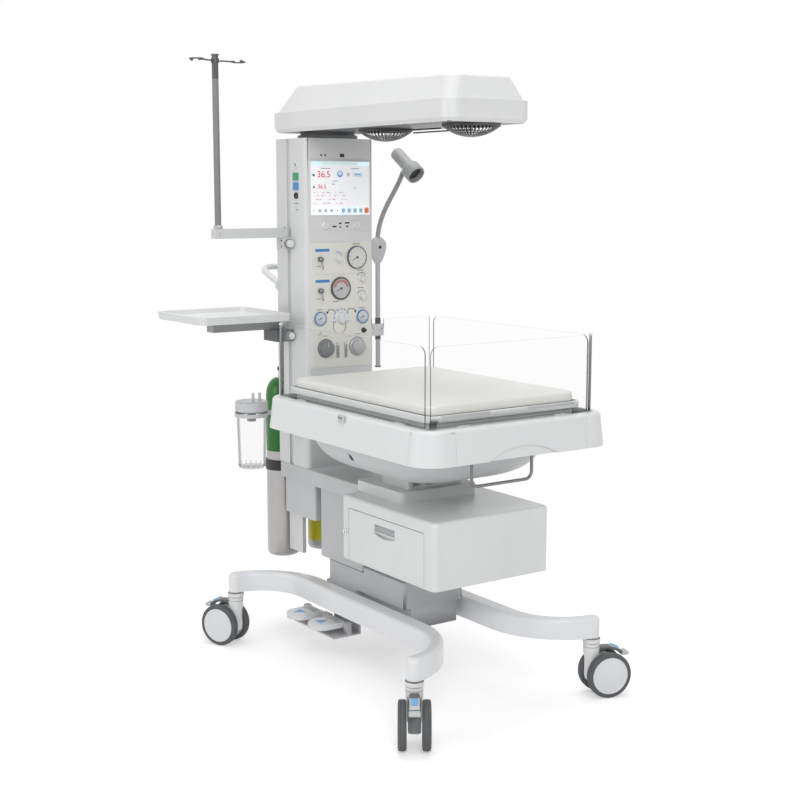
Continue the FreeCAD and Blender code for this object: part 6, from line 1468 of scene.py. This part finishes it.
@dataclass
class Lamp:
    """Examination lamp: stem, switch box, ribbed gooseneck and head."""

    stem: tuple[float, float] = (165.0, 352.0)
    box_low: float = 1138.0
    box_height: float = 82.0
    tip: tuple[float, float, float] = (246.0, 334.0, 1414.0)
    flare: float = 74.0
    drop_deg: float = 37.0
    turn_deg: float = 7.0

    def build(self) -> None:
        """Make and dress the lamp."""
        x, y = self.stem
        up = Way.UP.value
        stem = Bench.rod("lamp_stem_tube", at(x, y, 822.0), up, 14.6, 320.0, 0.6, 32)
        grey = Finish("lamp_stem_grey", (0.54, 0.545, 0.55), drift=0.06, roughness=0.4)
        Bench.fit(stem, "lamp_stem", "grey_plastic", grey)
        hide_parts("lamp_stem")
        sleeve = Bench.rod("lamp_stem_sleeve", at(x, y, 908.0), up, 17.4, 66.0, 1.0, 32)
        Bench.fit(sleeve, "lamp_stem", "grey_plastic", DARK_GREY)
        foot = Bench.lathe("lamp_foot", [(0, 0), (9.0, 0), (9.9, 1.0), (9.9, 3.0), (8.0, 4.0),
                                         (0, 4.0)], at(x, y, 822.0), up)
        Bench.fit(foot, "lamp_stem", "grey_plastic", DARK_GREY)
        self.switch_box()
        self.neck()
        self.head()

    def switch_box(self) -> None:
        """Flat oval box with a black button, tapering into stem and gooseneck."""
        x, y = self.stem
        half = self.box_height / 2
        profile = [(0, -half), (9, -half), (17, -half * 0.76), (25, -half * 0.3),
                   (31.5, half * 0.22), (31, half * 0.56), (20, half * 0.88), (9, half), (0, half)]
        oval = Bench.lathe("lamp_switch_box", profile, at(x, y, self.box_low + half),
                           Way.UP.value, 48)
        Bench.pick(oval)
        centre = at(x, y, self.box_low + half)
        bpy.ops.object.mode_set(mode="EDIT")
        bpy.ops.mesh.select_all(action="SELECT")
        bpy.ops.transform.resize(value=(1, 0.43, 1), center_override=centre)
        bpy.ops.object.mode_set(mode="OBJECT")
        round_off = oval.modifiers.new("round", "SUBSURF")
        round_off.levels = round_off.render_levels = 1
        bpy.ops.object.modifier_apply(modifier=round_off.name)
        Bench.fit(oval, "lamp_stem", "grey_plastic", PALE_GREY)
        button = Bench.lathe("lamp_button", [(0, -3), (5.0, -3), (5.0, 0.6), (4.0, 1.2), (0, 0.9)],
                             at(x, y - 12.7, self.box_low + half + 10), Way.FRONT.value, 32)
        Bench.fit(button, "lamp_stem", "grey_plastic", BLACK)

    def neck_line(self) -> list[Vector]:
        """Middle line of the gooseneck, along the bend that the photograph shows."""
        x, y = self.stem
        start = Vector((x, y, self.box_low + self.box_height - 2))
        tip = Vector(self.tip)
        rise = tip.z - start.z
        poles = [start, start + Vector((8, 0, rise * 0.42)),
                 tip - Vector((27, -6, rise * 0.36)), tip]
        line = []
        steps = 60
        for step in range(steps + 1):
            t = step / steps
            weights = ((1 - t) ** 3, 3 * t * (1 - t) ** 2, 3 * t * t * (1 - t), t ** 3)
            line.append(at(*sum((p * w for p, w in zip(poles, weights)), Vector())))
        return line

    def neck(self) -> None:
        """Gooseneck of one tube with close ribs, and its ball."""
        line = self.neck_line()
        core = Bench.tube("lamp_neck_core", line, 13.6, sides=8)
        ribs = []
        for first, last in zip(line, line[1:]):
            way = last - first
            ribs.append(Bench.rod("rib", first, way, 14.4, way.length / MM * 0.8, 0.3, 16))
        Bench.fit(Bench.join("lamp_neck", core, *ribs), "lamp_stem", "grey_plastic",
                  Finish("gooseneck", (0.42, 0.43, 0.43), drift=0.06, roughness=0.4))
        Bench.clear()
        bpy.ops.mesh.primitive_uv_sphere_add(segments=24, ring_count=14, radius=6.5 * MM,
                                             location=at(*self.tip))
        ball = Bench.settle(bpy.context.object, "lamp_ball")
        Bench.fit(ball, "lamp_stem", "grey_plastic", STEEL)

    def aim(self) -> Vector:
        """The way that the lamp points."""
        drop, turn = math.radians(self.drop_deg), math.radians(self.turn_deg)
        return Vector((math.cos(drop) * math.sin(turn), -math.cos(drop) * math.cos(turn),
                       -math.sin(drop)))

    def head(self) -> None:
        """Barrel that flares into a bell, with a dark honeycomb set back in its mouth."""
        aim = self.aim()
        side = aim.cross(Way.UP.value).normalized()
        lift = side.cross(aim).normalized()
        rear = Vector(self.tip) - aim * (self.flare - 13.0) + lift * (20.0 + 8.0)
        base = at(*rear)
        grey = Finish("lamp_head", (0.44, 0.45, 0.45), drift=0.06, roughness=0.42)
        profile = [(0, 0), (15, 0), (18.6, 1.4), (20, 5), (20, self.flare - 6),
                   (21, self.flare - 2), (26.6, self.flare + 3), (28.4, self.flare + 7),
                   (29, self.flare + 12), (29, 114), (28, 116), (25.6, 116), (24.8, 114.6),
                   (22.6, 100.5), (0, 100.5)]
        shell = Bench.lathe("lamp_head_shell", profile, base, aim, 64)
        Bench.fit(shell, "lamp_head", "grey_plastic", grey)
        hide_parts("lamp_head")
        cells = []
        for row in range(-3, 4):
            for column in range(-3, 4):
                across = 6.6 * (column + 0.5 * (row % 2))
                up = 5.7 * row
                if math.hypot(across, up) < 20.5:
                    cells.append(Bench.lathe("cell", [(2.5, 0), (3.2, 0), (3.2, 2.4), (2.5, 2.4),
                                                      (2.5, 0)],
                                             at(*(rear + aim * 100.4 + side * across + lift * up)),
                                             aim, 6))
        Bench.fit(Bench.join("lamp_honeycomb", *cells), "lamp_head", "grey_plastic",
                  Finish("lamp_honeycomb", (0.16, 0.165, 0.17), drift=0.1, roughness=0.3,
                         metallic=0.4))
        backing = Bench.rod("lamp_backing", at(*(rear + aim * 100.2)), aim, 44.0, 0.6, 0.0, 48)
        Bench.fit(backing, "lamp_head", "grey_plastic", BLACK)
        boss = Bench.rod("lamp_boss", at(*(Vector(self.tip) + lift * 7.0)), lift, 13.0, 14.0, 1.2,
                         28)
        Bench.fit(boss, "lamp_head", "grey_plastic", grey)


@dataclass
class Vessels:
    """Gas cylinders, their strap and the suction jar."""

    spread: float = 73.0
    y: float = 531.0
    jar_x: float = -252.0
    jar_y: float = 400.0
    jar_low: float = 548.0

    def build(self) -> None:
        """Dress cylinders and jar."""
        silver = (0.52, 0.50, 0.49)
        green = Finish("green_cylinder", (0.004, 0.15, 0.008), drift=0.10, roughness=0.34,
                       coat=0.1, zones=(
                           Zone((-130, 470, 200), (-10, 600, 563), silver, 0.34, 0.55),
                           Zone((-90, 500, 788), (-56, 560, 900), (0.66, 0.6, 0.46), 0.25, 1.0)))
        yellow = Finish("yellow_cylinder", (0.74, 0.68, 0.01), drift=0.08, roughness=0.3,
                        coat=0.2, zones=(
                            Zone((10, 470, 200), (130, 600, 262), silver, 0.34, 0.4),
                            Zone((56, 500, 788), (90, 560, 900), (0.66, 0.6, 0.46), 0.25, 1.0)))
        for name, finish, slot in (("left_cylinder", green, "green_paint"),
                                   ("right_cylinder", yellow, "yellow_paint")):
            Bench.fit(Bench.recast(name, name + "_body"), "carriage", slot, finish)
        for side in (-1, 1):
            self.valve(side)
        Bench.fit(Bench.recast("cylinder_strap", "cylinder_band"), "carriage", "dark_metal", BAND)
        for side in (-1, 1):
            buckle = Bench.block(f"strap_buckle_{side + 1}",
                                 (side * self.spread - 14, self.y + 51.5, 508.0),
                                 (side * self.spread + 14, self.y + 55.5, 532.0), 1.4)
            Bench.fit(buckle, "carriage", "steel", STEEL)
        self.jar()

    def valve(self, side: int) -> None:
        """Hand wheel and six-sided brass neck of a valve, inside the CAD valve's outline."""
        x = side * self.spread
        wheel = Bench.lathe(f"valve_wheel_{side + 1}", [
            (0, 20), (10, 20), (13.4, 21.5), (14.0, 25), (13.4, 30.5), (10, 33), (0, 34)],
            at(x, self.y, 790.0), Way.UP.value, 36)
        Bench.fit(wheel, "carriage", "steel", BLACK)
        neck = Bench.lathe(f"valve_neck_{side + 1}", [(12.0, 0), (14.5, 0), (14.5, 5), (12.8, 6.5),
                                                      (12.4, 16), (12.0, 17), (12.0, 0)],
                           at(x, self.y, 790.0), Way.UP.value, 6)
        Bench.fit(neck, "carriage", "steel", BRASS)

    def jar(self) -> None:
        """Clear jar with a ribbed foot, and its lid."""
        glass = Bench.recast("suction_jar", "suction_jar_shell")
        Bench.fit(glass, "suction_jar", "clear_jar", JAR_CLEAR)
        lid = Finish("jar_lid", (0.60, 0.615, 0.625), drift=0.05, roughness=0.3, zones=(
            Zone((-290, 360, 640), (-214, 440, 712), (0.40, 0.42, 0.43), 0.3),
            Zone((-290, 360, 746.5), (-214, 440, 790), (0.62, 0.63, 0.64), 0.3)))
        Bench.fit(Bench.recast("jar_lid", "jar_lid_shell"), "jar_lid", "white_plastic", lid)
        ribs = []
        for step in range(16):
            turn = 2 * math.pi * step / 16
            points = [at(self.jar_x + r * math.cos(turn), self.jar_y + r * math.sin(turn),
                         self.jar_low + rise) for r, rise in ((40.6, 12.0), (40.2, 5.0), (37, 2.0))]
            ribs.append(Bench.tube("rib", points, 2.2, sides=4))
        Bench.fit(Bench.join("jar_foot_ribs", *ribs), "suction_jar", "clear_jar",
                  Clear("clear_ribs", (0.18, 0.20, 0.20), face_on=0.25, grazing=0.8))


@dataclass
class Bed:
    """Deck, cradle, mattress tray, mattress and clear panels."""

    sheet_share: float = 0.6
    half_span: float = 261.0
    front_plane: float = -498.6
    rear_plane: float = 205.0
    bed_low: tuple[float, float, float] = (-240.0, -478.0, 804.3)
    bed_high: tuple[float, float, float] = (240.0, 185.0, 840.3)

    def build(self) -> None:
        """Make and dress the bed."""
        # The dark zone at z 760–770.5 is painted shade in the channel that the clear panels stand in.
        deck = Finish("deck_moulding_with_painted_shade", (0.81, 0.82, 0.825), drift=0.025, roughness=0.34,
                      coat=0.2, zones=(
                          Zone((-278, -524, 760), (278, 226, 770.5), (0.10, 0.10, 0.105), 0.6),))
        Bench.fit(Bench.recast("deck", "deck_shell", 30.0), "bed", "white_plastic", deck)
        Bench.fit(Bench.recast("cradle", "cradle_shell"), "bed", "grey_metal",
                  Finish("cradle", (0.60, 0.61, 0.615), drift=0.04, roughness=0.4, bump=0.08))
        Bench.fit(Bench.recast("grab_bar", "grab_bar_wire"), "bed", "steel",
                  ROD_STEEL)
        Bench.fit(Bench.recast("mattress_tray", "mattress_tray_shell", 30.0), "bed",
                  "white_plastic", SATIN_WHITE)
        for name, across in (("front_panel", 1), ("left_panel", 0), ("right_panel", 0),
                             ("rear_panel", 1)):
            self.sheet(name, across)
        self.mattress()
        self.corner_rods()
        self.channel_gasket()
        self.rail_plates()
        self.level_clip()

    def sheet(self, name: str, across: int) -> None:
        """Clear panel whose narrow edges are denser than its faces.

        Args:
            name: name of the panel.
            across: axis that its faces look along.
        """
        piece = Bench.fit(Bench.recast(name, name + "_sheet", 30.0), name, "clear_panel", ACRYLIC)
        spots = [v.co[across] for v in piece.data.vertices]
        middle = (min(spots) + max(spots)) / 2
        for vertex in piece.data.vertices:
            vertex.co[across] = middle + (vertex.co[across] - middle) * self.sheet_share
        piece.data.materials.append(ACRYLIC_EDGE.material())
        for face in piece.data.polygons:
            if abs(face.normal[across]) < 0.9:
                face.material_index = 1

    def mattress(self) -> None:
        """Foam pad with a cloth cover: inflated as cloth, then a piped seam round its edge."""
        low = Vector(self.bed_low) + Vector((2.5, 2.5, 0.6))
        high = Vector(self.bed_high) - Vector((2.5, 2.5, 1.8))
        pad = Bench.block("mattress_pad", low, high)
        self.round_corners(pad, 26.0)
        Bench.round_edges(pad, 6.0, 4, 50.0)
        self.inflate(pad, 1.2)
        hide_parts("mattress")
        Bench.fit(pad, "bed", "cushion", COVER)
        self.piping(low, high)

    def round_corners(self, pad: bpy.types.Object, radius: float) -> None:
        """Round the four upright corners of the pad."""
        Bench.pick(pad)
        bpy.ops.object.mode_set(mode="EDIT")
        bpy.ops.mesh.select_mode(type="EDGE")
        bpy.ops.mesh.select_all(action="DESELECT")
        bpy.ops.object.mode_set(mode="OBJECT")
        for edge in pad.data.edges:
            first, last = (pad.data.vertices[i].co for i in edge.vertices)
            edge.select = abs(first.z - last.z) > 0.01
        bpy.ops.object.mode_set(mode="EDIT")
        bpy.ops.mesh.bevel(offset=radius * MM, segments=8, affect="EDGES")
        bpy.ops.object.mode_set(mode="OBJECT")

    def inflate(self, pad: bpy.types.Object, cap_mm: float) -> None:
        """Let the cover swell as cloth under pressure, no further than a cap.

        Args:
            pad: the pad, which is remeshed first.
            cap_mm: the furthest that a point may move.
        """
        Bench.pick(pad)
        mesh = pad.modifiers.new("mesh", "REMESH")
        mesh.mode = "VOXEL"
        mesh.voxel_size = 0.006
        bpy.ops.object.modifier_apply(modifier=mesh.name)
        start = [v.co.copy() for v in pad.data.vertices]
        cloth = pad.modifiers.new("cover", "CLOTH")
        cloth.settings.quality = 4
        cloth.settings.mass = 0.3
        cloth.settings.use_pressure = True
        cloth.settings.uniform_pressure_force = 4.0
        cloth.settings.effector_weights.gravity = 0.0
        cloth.collision_settings.use_self_collision = False
        scene = bpy.context.scene
        for step in range(1, 21):
            scene.frame_set(step)
        swollen = pad.evaluated_get(bpy.context.evaluated_depsgraph_get())
        moved = [v.co.copy() for v in swollen.data.vertices]
        pad.modifiers.remove(cloth)
        for vertex, first, last in zip(pad.data.vertices, start, moved):
            off = last - first
            if off.length > cap_mm * MM:
                off = off.normalized() * cap_mm * MM
            vertex.co = first + off
        scene.frame_set(1)
        finer = pad.modifiers.new("finer", "SUBSURF")
        finer.levels = finer.render_levels = 1
        bpy.ops.object.modifier_apply(modifier=finer.name)

    def piping(self, low: Vector, high: Vector) -> None:
        """Dark piped seam round the pad, low on its side."""
        z = low.z + 9.0
        inset, r = 0.4, 26.0
        x0, x1, y0, y1 = low.x - inset, high.x + inset, low.y - inset, high.y + inset
        points = []
        for cx, cy, start in ((x1 - r, y1 - r, 0), (x0 + r, y1 - r, 90), (x0 + r, y0 + r, 180),
                              (x1 - r, y0 + r, 270)):
            for step in range(7):
                turn = math.radians(start + 15 * step)
                points.append(at(cx + r * math.cos(turn), cy + r * math.sin(turn), z))
        seam = Bench.tube("mattress_piping", points, 2.0, ring=True, bend=False, sides=8)
        Bench.fit(seam, "bed", "cushion", Weave("seam", (0.16, 0.17, 0.16)))

    def corner_rods(self) -> None:
        """Steel posts with white caps at the rear left and front right corners."""
        for side, y in ((-1, self.rear_plane), (1, self.front_plane)):
            x = side * self.half_span
            post = Bench.rod(f"corner_post_{side + 1}", at(x, y, 787.5), Way.UP.value, 7.4, 200.0,
                             0.4, 24)
            Bench.fit(post, "bed", "steel", ROD_STEEL)
            cap = Bench.lathe(f"corner_cap_{side + 1}", [(0, 0), (4.8, 0), (4.8, 4.0), (3.6, 5.4),
                                                         (0, 5.6)], at(x, y, 985.6), Way.UP.value,
                              24)
            Bench.fit(cap, "bed", "white_plastic", SATIN_WHITE)

    def channel_gasket(self) -> None:
        """Black strips along the bottom of the deck's channel: painted shade under the side panels.
        """
        x, y0, y1 = 262.0, -512.0, 214.0
        for side in (-1, 1):
            strip = Bench.block(f"channel_seal_{side + 1}", (side * x - 3, y0 + 20, 769.0),
                                (side * x + 3, y1, 772.0), 1.0)
            Bench.fit(strip, "bed", "white_plastic", BLACK)

    def rail_plates(self) -> None:
        """White hinge plates on the tray's front edge."""
        for name, x0, x1 in (("left", -212.0, -61.0), ("right", 60.0, 220.0)):
            plate = Bench.block(f"front_rail_{name}", (x0, -488.0, 806.0), (x1, -484.5, 814.0),
                                1.2)
            Bench.fit(plate, "bed", "white_plastic", PALE_GREY)

    def level_clip(self) -> None:
        """Small clear-and-green level vial clipped to the deck's left side."""
        x, y = -304.0, -176.0
        clip = Bench.block("level_clip", (x - 2.2, y - 13, 764.0), (x + 3.0, y + 13, 786.0), 1.6)
        Bench.fit(clip, "bed", "white_plastic", PALE_GREY)
        vial = Bench.rod("level_vial", at(x - 2.4, y - 9, 777.0), Way.REAR.value, 6.0, 18.0, 1.2,
                         20)
        Bench.fit(vial, "bed", "white_plastic",
                  Finish("level_vial", (0.18, 0.26, 0.16), drift=0.1, roughness=0.1, coat=0.8))


@dataclass
class Hood:
    """Heater hood with reflectors, elements and wire guards."""

    lamps: tuple[float, float] = (-323.0, 66.0)
    low: float = 1526.0
    bowl_dia: float = 136.0
    guard_dia: float = 150.0
    bulge: float = 28.0
    band: float = 8.0
    wire: float = 3.0
    bars: int = 40

    def build(self) -> None:
        """Dress the hood."""
        # Both dark zones are painted shade: a band along the hood's underside, and the hood's neck
        # over the mast, where the hood's shadow falls.
        shell = Finish("hood_moulding_with_painted_shade", (0.81, 0.815, 0.815), drift=0.03, roughness=0.36,
                       coat=0.15, zones=(
                           Zone((-122, -392, 1524), (122, 460, 1527.2), (0.12, 0.125, 0.13), 0.4,
                                0.2),
                           Zone((-125, 180, 1480), (125, 475, 1524), (0.14, 0.145, 0.15), 0.5)))
        Bench.fit(Bench.recast("hood", "hood_shell", 30.0), "hood", "white_plastic", shell)
        for number, y in enumerate(self.lamps):
            bowl = self.bowl(number, y)
            if number == 0:
                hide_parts("heater_units")
            self.element(number, y)
            self.guard(number, y)
        self.rails()

    def bowl(self, number: int, y: float) -> bpy.types.Object:
        """Dished reflector behind the guard; its near-black colour is painted shade inside the hood.
        """
        r = self.bowl_dia / 2
        profile = [(r - 3, -1.0), (r + 3, -1.0), (r + 3, 4.0), (r, 7.0), (r * 0.8, 32.0),
                   (r * 0.4, 46.0), (0, 46.0), (0, 43.0), (r * 0.38, 43.0), (r * 0.77, 30.0),
                   (r - 3, 5.0), (r - 3, -1.0)]
        bowl = Bench.lathe(f"heater_bowl_{number}", profile, at(0, y, self.low), Way.UP.value, 64)
        return Bench.fit(bowl, "hood", "reflector",
                         Finish("heater_bowl", (0.07, 0.07, 0.075), drift=0.15, roughness=0.3,
                                metallic=0.5))

    def depth(self, r: float) -> float:
        """Drop of the guard's dome below its band at a radius."""
        bow = ((self.guard_dia / 2) ** 2 + self.bulge ** 2) / (2 * self.bulge)
        return self.bulge - bow + math.sqrt(bow ** 2 - r ** 2)

    def guard(self, number: int, y: float) -> None:
        """Close wire dome: dark band, bowed bars, two hoops and a hub."""
        radius = self.guard_dia / 2
        z0 = self.low - self.band + self.wire / 2
        band = Bench.lathe(f"guard_band_{number}", [
            (radius - 4, 0), (radius, 0), (radius, self.band), (radius - 4, self.band),
            (radius - 4, 0)], at(0, y, self.low - self.band), Way.UP.value, 72)
        dark = Finish("guard_band", (0.07, 0.07, 0.075), drift=0.15, roughness=0.35)
        Bench.fit(band, "hood", "reflector", dark)
        line = []
        for step in range(9):
            r = 8.0 + (radius - 10.0) * step / 8
            line.append((r, z0 + self.wire / 2 - self.depth(r) + 0.2))
        bars = []
        for index in range(self.bars):
            turn = 2 * math.pi * index / self.bars
            points = [at(r * math.cos(turn), y + r * math.sin(turn), z) for r, z in line]
            bars.append(Bench.tube("bar", points, self.wire, sides=6))
        for r in (radius * 0.36, radius * 0.68):
            ring = [at(r * math.cos(math.radians(a)), y + r * math.sin(math.radians(a)),
                       z0 + self.wire / 2 - self.depth(r) + 0.4) for a in range(0, 360, 10)]
            bars.append(Bench.tube("hoop", ring, self.wire, ring=True, sides=6))
        bars.append(Bench.rod("hub", at(0, y, z0 - self.bulge + 0.2), Way.UP.value, 18.0, 2.6, 0.8,
                              32))
        Bench.fit(Bench.join(f"guard_wires_{number}", *bars), "hood", "reflector",
                  Finish("guard_wires", (0.20, 0.20, 0.205), drift=0.06, roughness=0.35,
                         metallic=0.3))

    def rails(self) -> None:
        """Two dark rods under the hood that tie the guards together."""
        front, rear = self.lamps
        start, end = front + self.guard_dia / 2 - 14, rear - self.guard_dia / 2 + 14
        for side in (-1, 1):
            rail = Bench.rod(f"guard_rail_{side + 1}", at(side * 52.0, start, 1515.0),
                             Way.REAR.value, 4.0, end - start, 0.4, 16)
            Bench.fit(rail, "hood", "reflector", BLACK)

    def element(self, number: int, y: float) -> None:
        """Ceramic heater ring on its holder inside the bowl."""
        coil = []
        turns, radius = 3.5, 30.0
        steps = int(turns * 24)
        for step in range(steps + 1):
            turn = 2 * math.pi * turns * step / steps
            r = 10.0 + (radius - 10.0) * step / steps
            coil.append(at(r * math.cos(turn), y + r * math.sin(turn), self.low + 18.0))
        piece = Bench.tube(f"heater_coil_{number}", coil, 5.0, sides=6)
        Bench.fit(piece, "hood", "reflector", CERAMIC)
        holder = Bench.lathe(f"heater_holder_{number}", [(0, 0), (9, 0), (11, 3), (11, 20),
                                                         (14, 24), (0, 24)],
                             at(0, y, self.low + 16.0), Way.UP.value, 32)
        Bench.fit(holder, "hood", "reflector", CERAMIC)


@dataclass
class Studio:
    """Plain pale floor, soft lamps and the photograph's camera."""

    camera_place: tuple[float, float, float] = (-2.1554, -3.1646, 1.3501)
    azimuth_deg: float = 34.73
    pitch_deg: float = 8.50
    lens_mm: float = 62.2
    sensor_mm: float = 36.0
    floor_lift: float = 0.37
    floor_near: float = 0.9
    floor_far: float = 2.0

    def build(self) -> None:
        """Make camera, floor, world and lamps."""
        self.camera()
        self.floor()
        self.world()
        for name, place, size, watts in (
                ("key", (-2.2, -4.4, 3.6), 2.6, 88.0),
                ("left_fill", (-5.0, 0.2, 2.4), 2.4, 40.0),
                ("top", (0.3, 0.4, 4.6), 2.6, 68.0)):
            self.lamp(name, Vector(place), size, watts)

    def camera(self) -> None:
        """Camera at the photograph's viewing angle."""
        view = bpy.data.cameras.new("camera")
        view.lens, view.sensor_width = self.lens_mm, self.sensor_mm
        eye = bpy.data.objects.new("camera", view)
        eye.location = self.camera_place
        turn, pitch = math.radians(self.azimuth_deg), math.radians(self.pitch_deg)
        look = Vector((math.sin(turn) * math.cos(pitch), math.cos(turn) * math.cos(pitch),
                       -math.sin(pitch)))
        eye.rotation_mode = "QUATERNION"
        eye.rotation_quaternion = look.to_track_quat("-Z", "Y")
        bpy.context.scene.collection.objects.link(eye)
        bpy.context.scene.camera = eye

    def floor(self) -> None:
        """Wide pale floor that keeps the object's shadow and is white further out."""
        Bench.clear()
        bpy.ops.mesh.primitive_plane_add(size=60.0, location=(0, 0, 0))
        ground = Bench.settle(bpy.context.object, "floor")
        made = bpy.data.materials.new("floor")
        made.use_nodes = True
        node = Nodes(made.node_tree)
        shader = made.node_tree.nodes["Principled BSDF"]
        shader.inputs["Base Color"].default_value = (0.92, 0.92, 0.925, 1)
        shader.inputs["Roughness"].default_value = 0.8
        shader.inputs["Specular IOR Level"].default_value = 0.0
        path = node.add("ShaderNodeLightPath")
        seen = node.math("MAXIMUM", path.outputs["Is Camera Ray"],
                         node.math("MAXIMUM", path.outputs["Is Glossy Ray"],
                                   path.outputs["Is Transmission Ray"]))
        lift = node.add("ShaderNodeEmission")
        node.link(node.math("MULTIPLY", seen, self.floor_lift), lift.inputs["Strength"])
        near = node.add("ShaderNodeAddShader")
        node.link(shader.outputs[0], near.inputs[0])
        node.link(lift.outputs[0], near.inputs[1])
        place = node.add("ShaderNodeTexCoord")
        length = node.add("ShaderNodeVectorMath", operation="LENGTH")
        node.link(place.outputs["Object"], length.inputs[0])
        away = node.add("ShaderNodeMapRange", **{"From Min": self.floor_near,
                                                 "From Max": self.floor_far})
        away.interpolation_type = "SMOOTHSTEP"
        node.link(length.outputs["Value"], away.inputs["Value"])
        white = node.add("ShaderNodeEmission", Strength=1.0)
        mix = node.add("ShaderNodeMixShader")
        node.link(node.math("MULTIPLY", seen, away.outputs["Result"]), mix.inputs[0])
        node.link(near.outputs[0], mix.inputs[1])
        node.link(white.outputs[0], mix.inputs[2])
        node.link(mix.outputs[0], made.node_tree.nodes["Material Output"].inputs["Surface"])
        ground.data.materials.append(made)

    def world(self) -> None:
        """Even pale surroundings, white behind the object."""
        scene = bpy.context.scene
        sky = bpy.data.worlds.new("studio")
        scene.world = sky
        sky.use_nodes = True
        node = Nodes(sky.node_tree)
        back = sky.node_tree.nodes["Background"]
        back.inputs["Color"].default_value = (1, 1, 1, 1)
        back.inputs["Strength"].default_value = 0.46
        path = node.add("ShaderNodeLightPath")
        seen = node.math("MAXIMUM", path.outputs["Is Camera Ray"],
                         node.math("MAXIMUM", path.outputs["Is Glossy Ray"],
                                   path.outputs["Is Transmission Ray"]))
        white = node.add("ShaderNodeBackground", Color=(1, 1, 1, 1), Strength=1.0)
        mix = node.add("ShaderNodeMixShader")
        node.link(seen, mix.inputs[0])
        node.link(back.outputs[0], mix.inputs[1])
        node.link(white.outputs[0], mix.inputs[2])
        node.link(mix.outputs[0], sky.node_tree.nodes["World Output"].inputs["Surface"])
        scene.view_settings.view_transform = "Standard"

    def lamp(self, name: str, place: Vector, size: float, watts: float) -> None:
        """Soft square lamp that faces the object."""
        light = bpy.data.lights.new(name, "AREA")
        light.energy, light.size = watts, size
        holder = bpy.data.objects.new(name, light)
        holder.location = place
        aim = Vector((0, 0, 0.8)) - place
        holder.rotation_mode = "QUATERNION"
        holder.rotation_quaternion = aim.to_track_quat("-Z", "Y")
        bpy.context.scene.collection.objects.link(holder)


def main() -> None:
    """Build the scene in order."""
    logging.basicConfig(level=logging.INFO, format="%(name)s %(message)s")
    Studio().build()
    for part in (Castors(), Base(), Carriage(), Mast(), GasControls(), Fittings(), Lamp(),
                 Vessels(), Bed(), Hood()):
        part.build()
        LOG.info("%s done", type(part).__name__)
    Bench.clear()


if __name__ == "__main__":
    main()
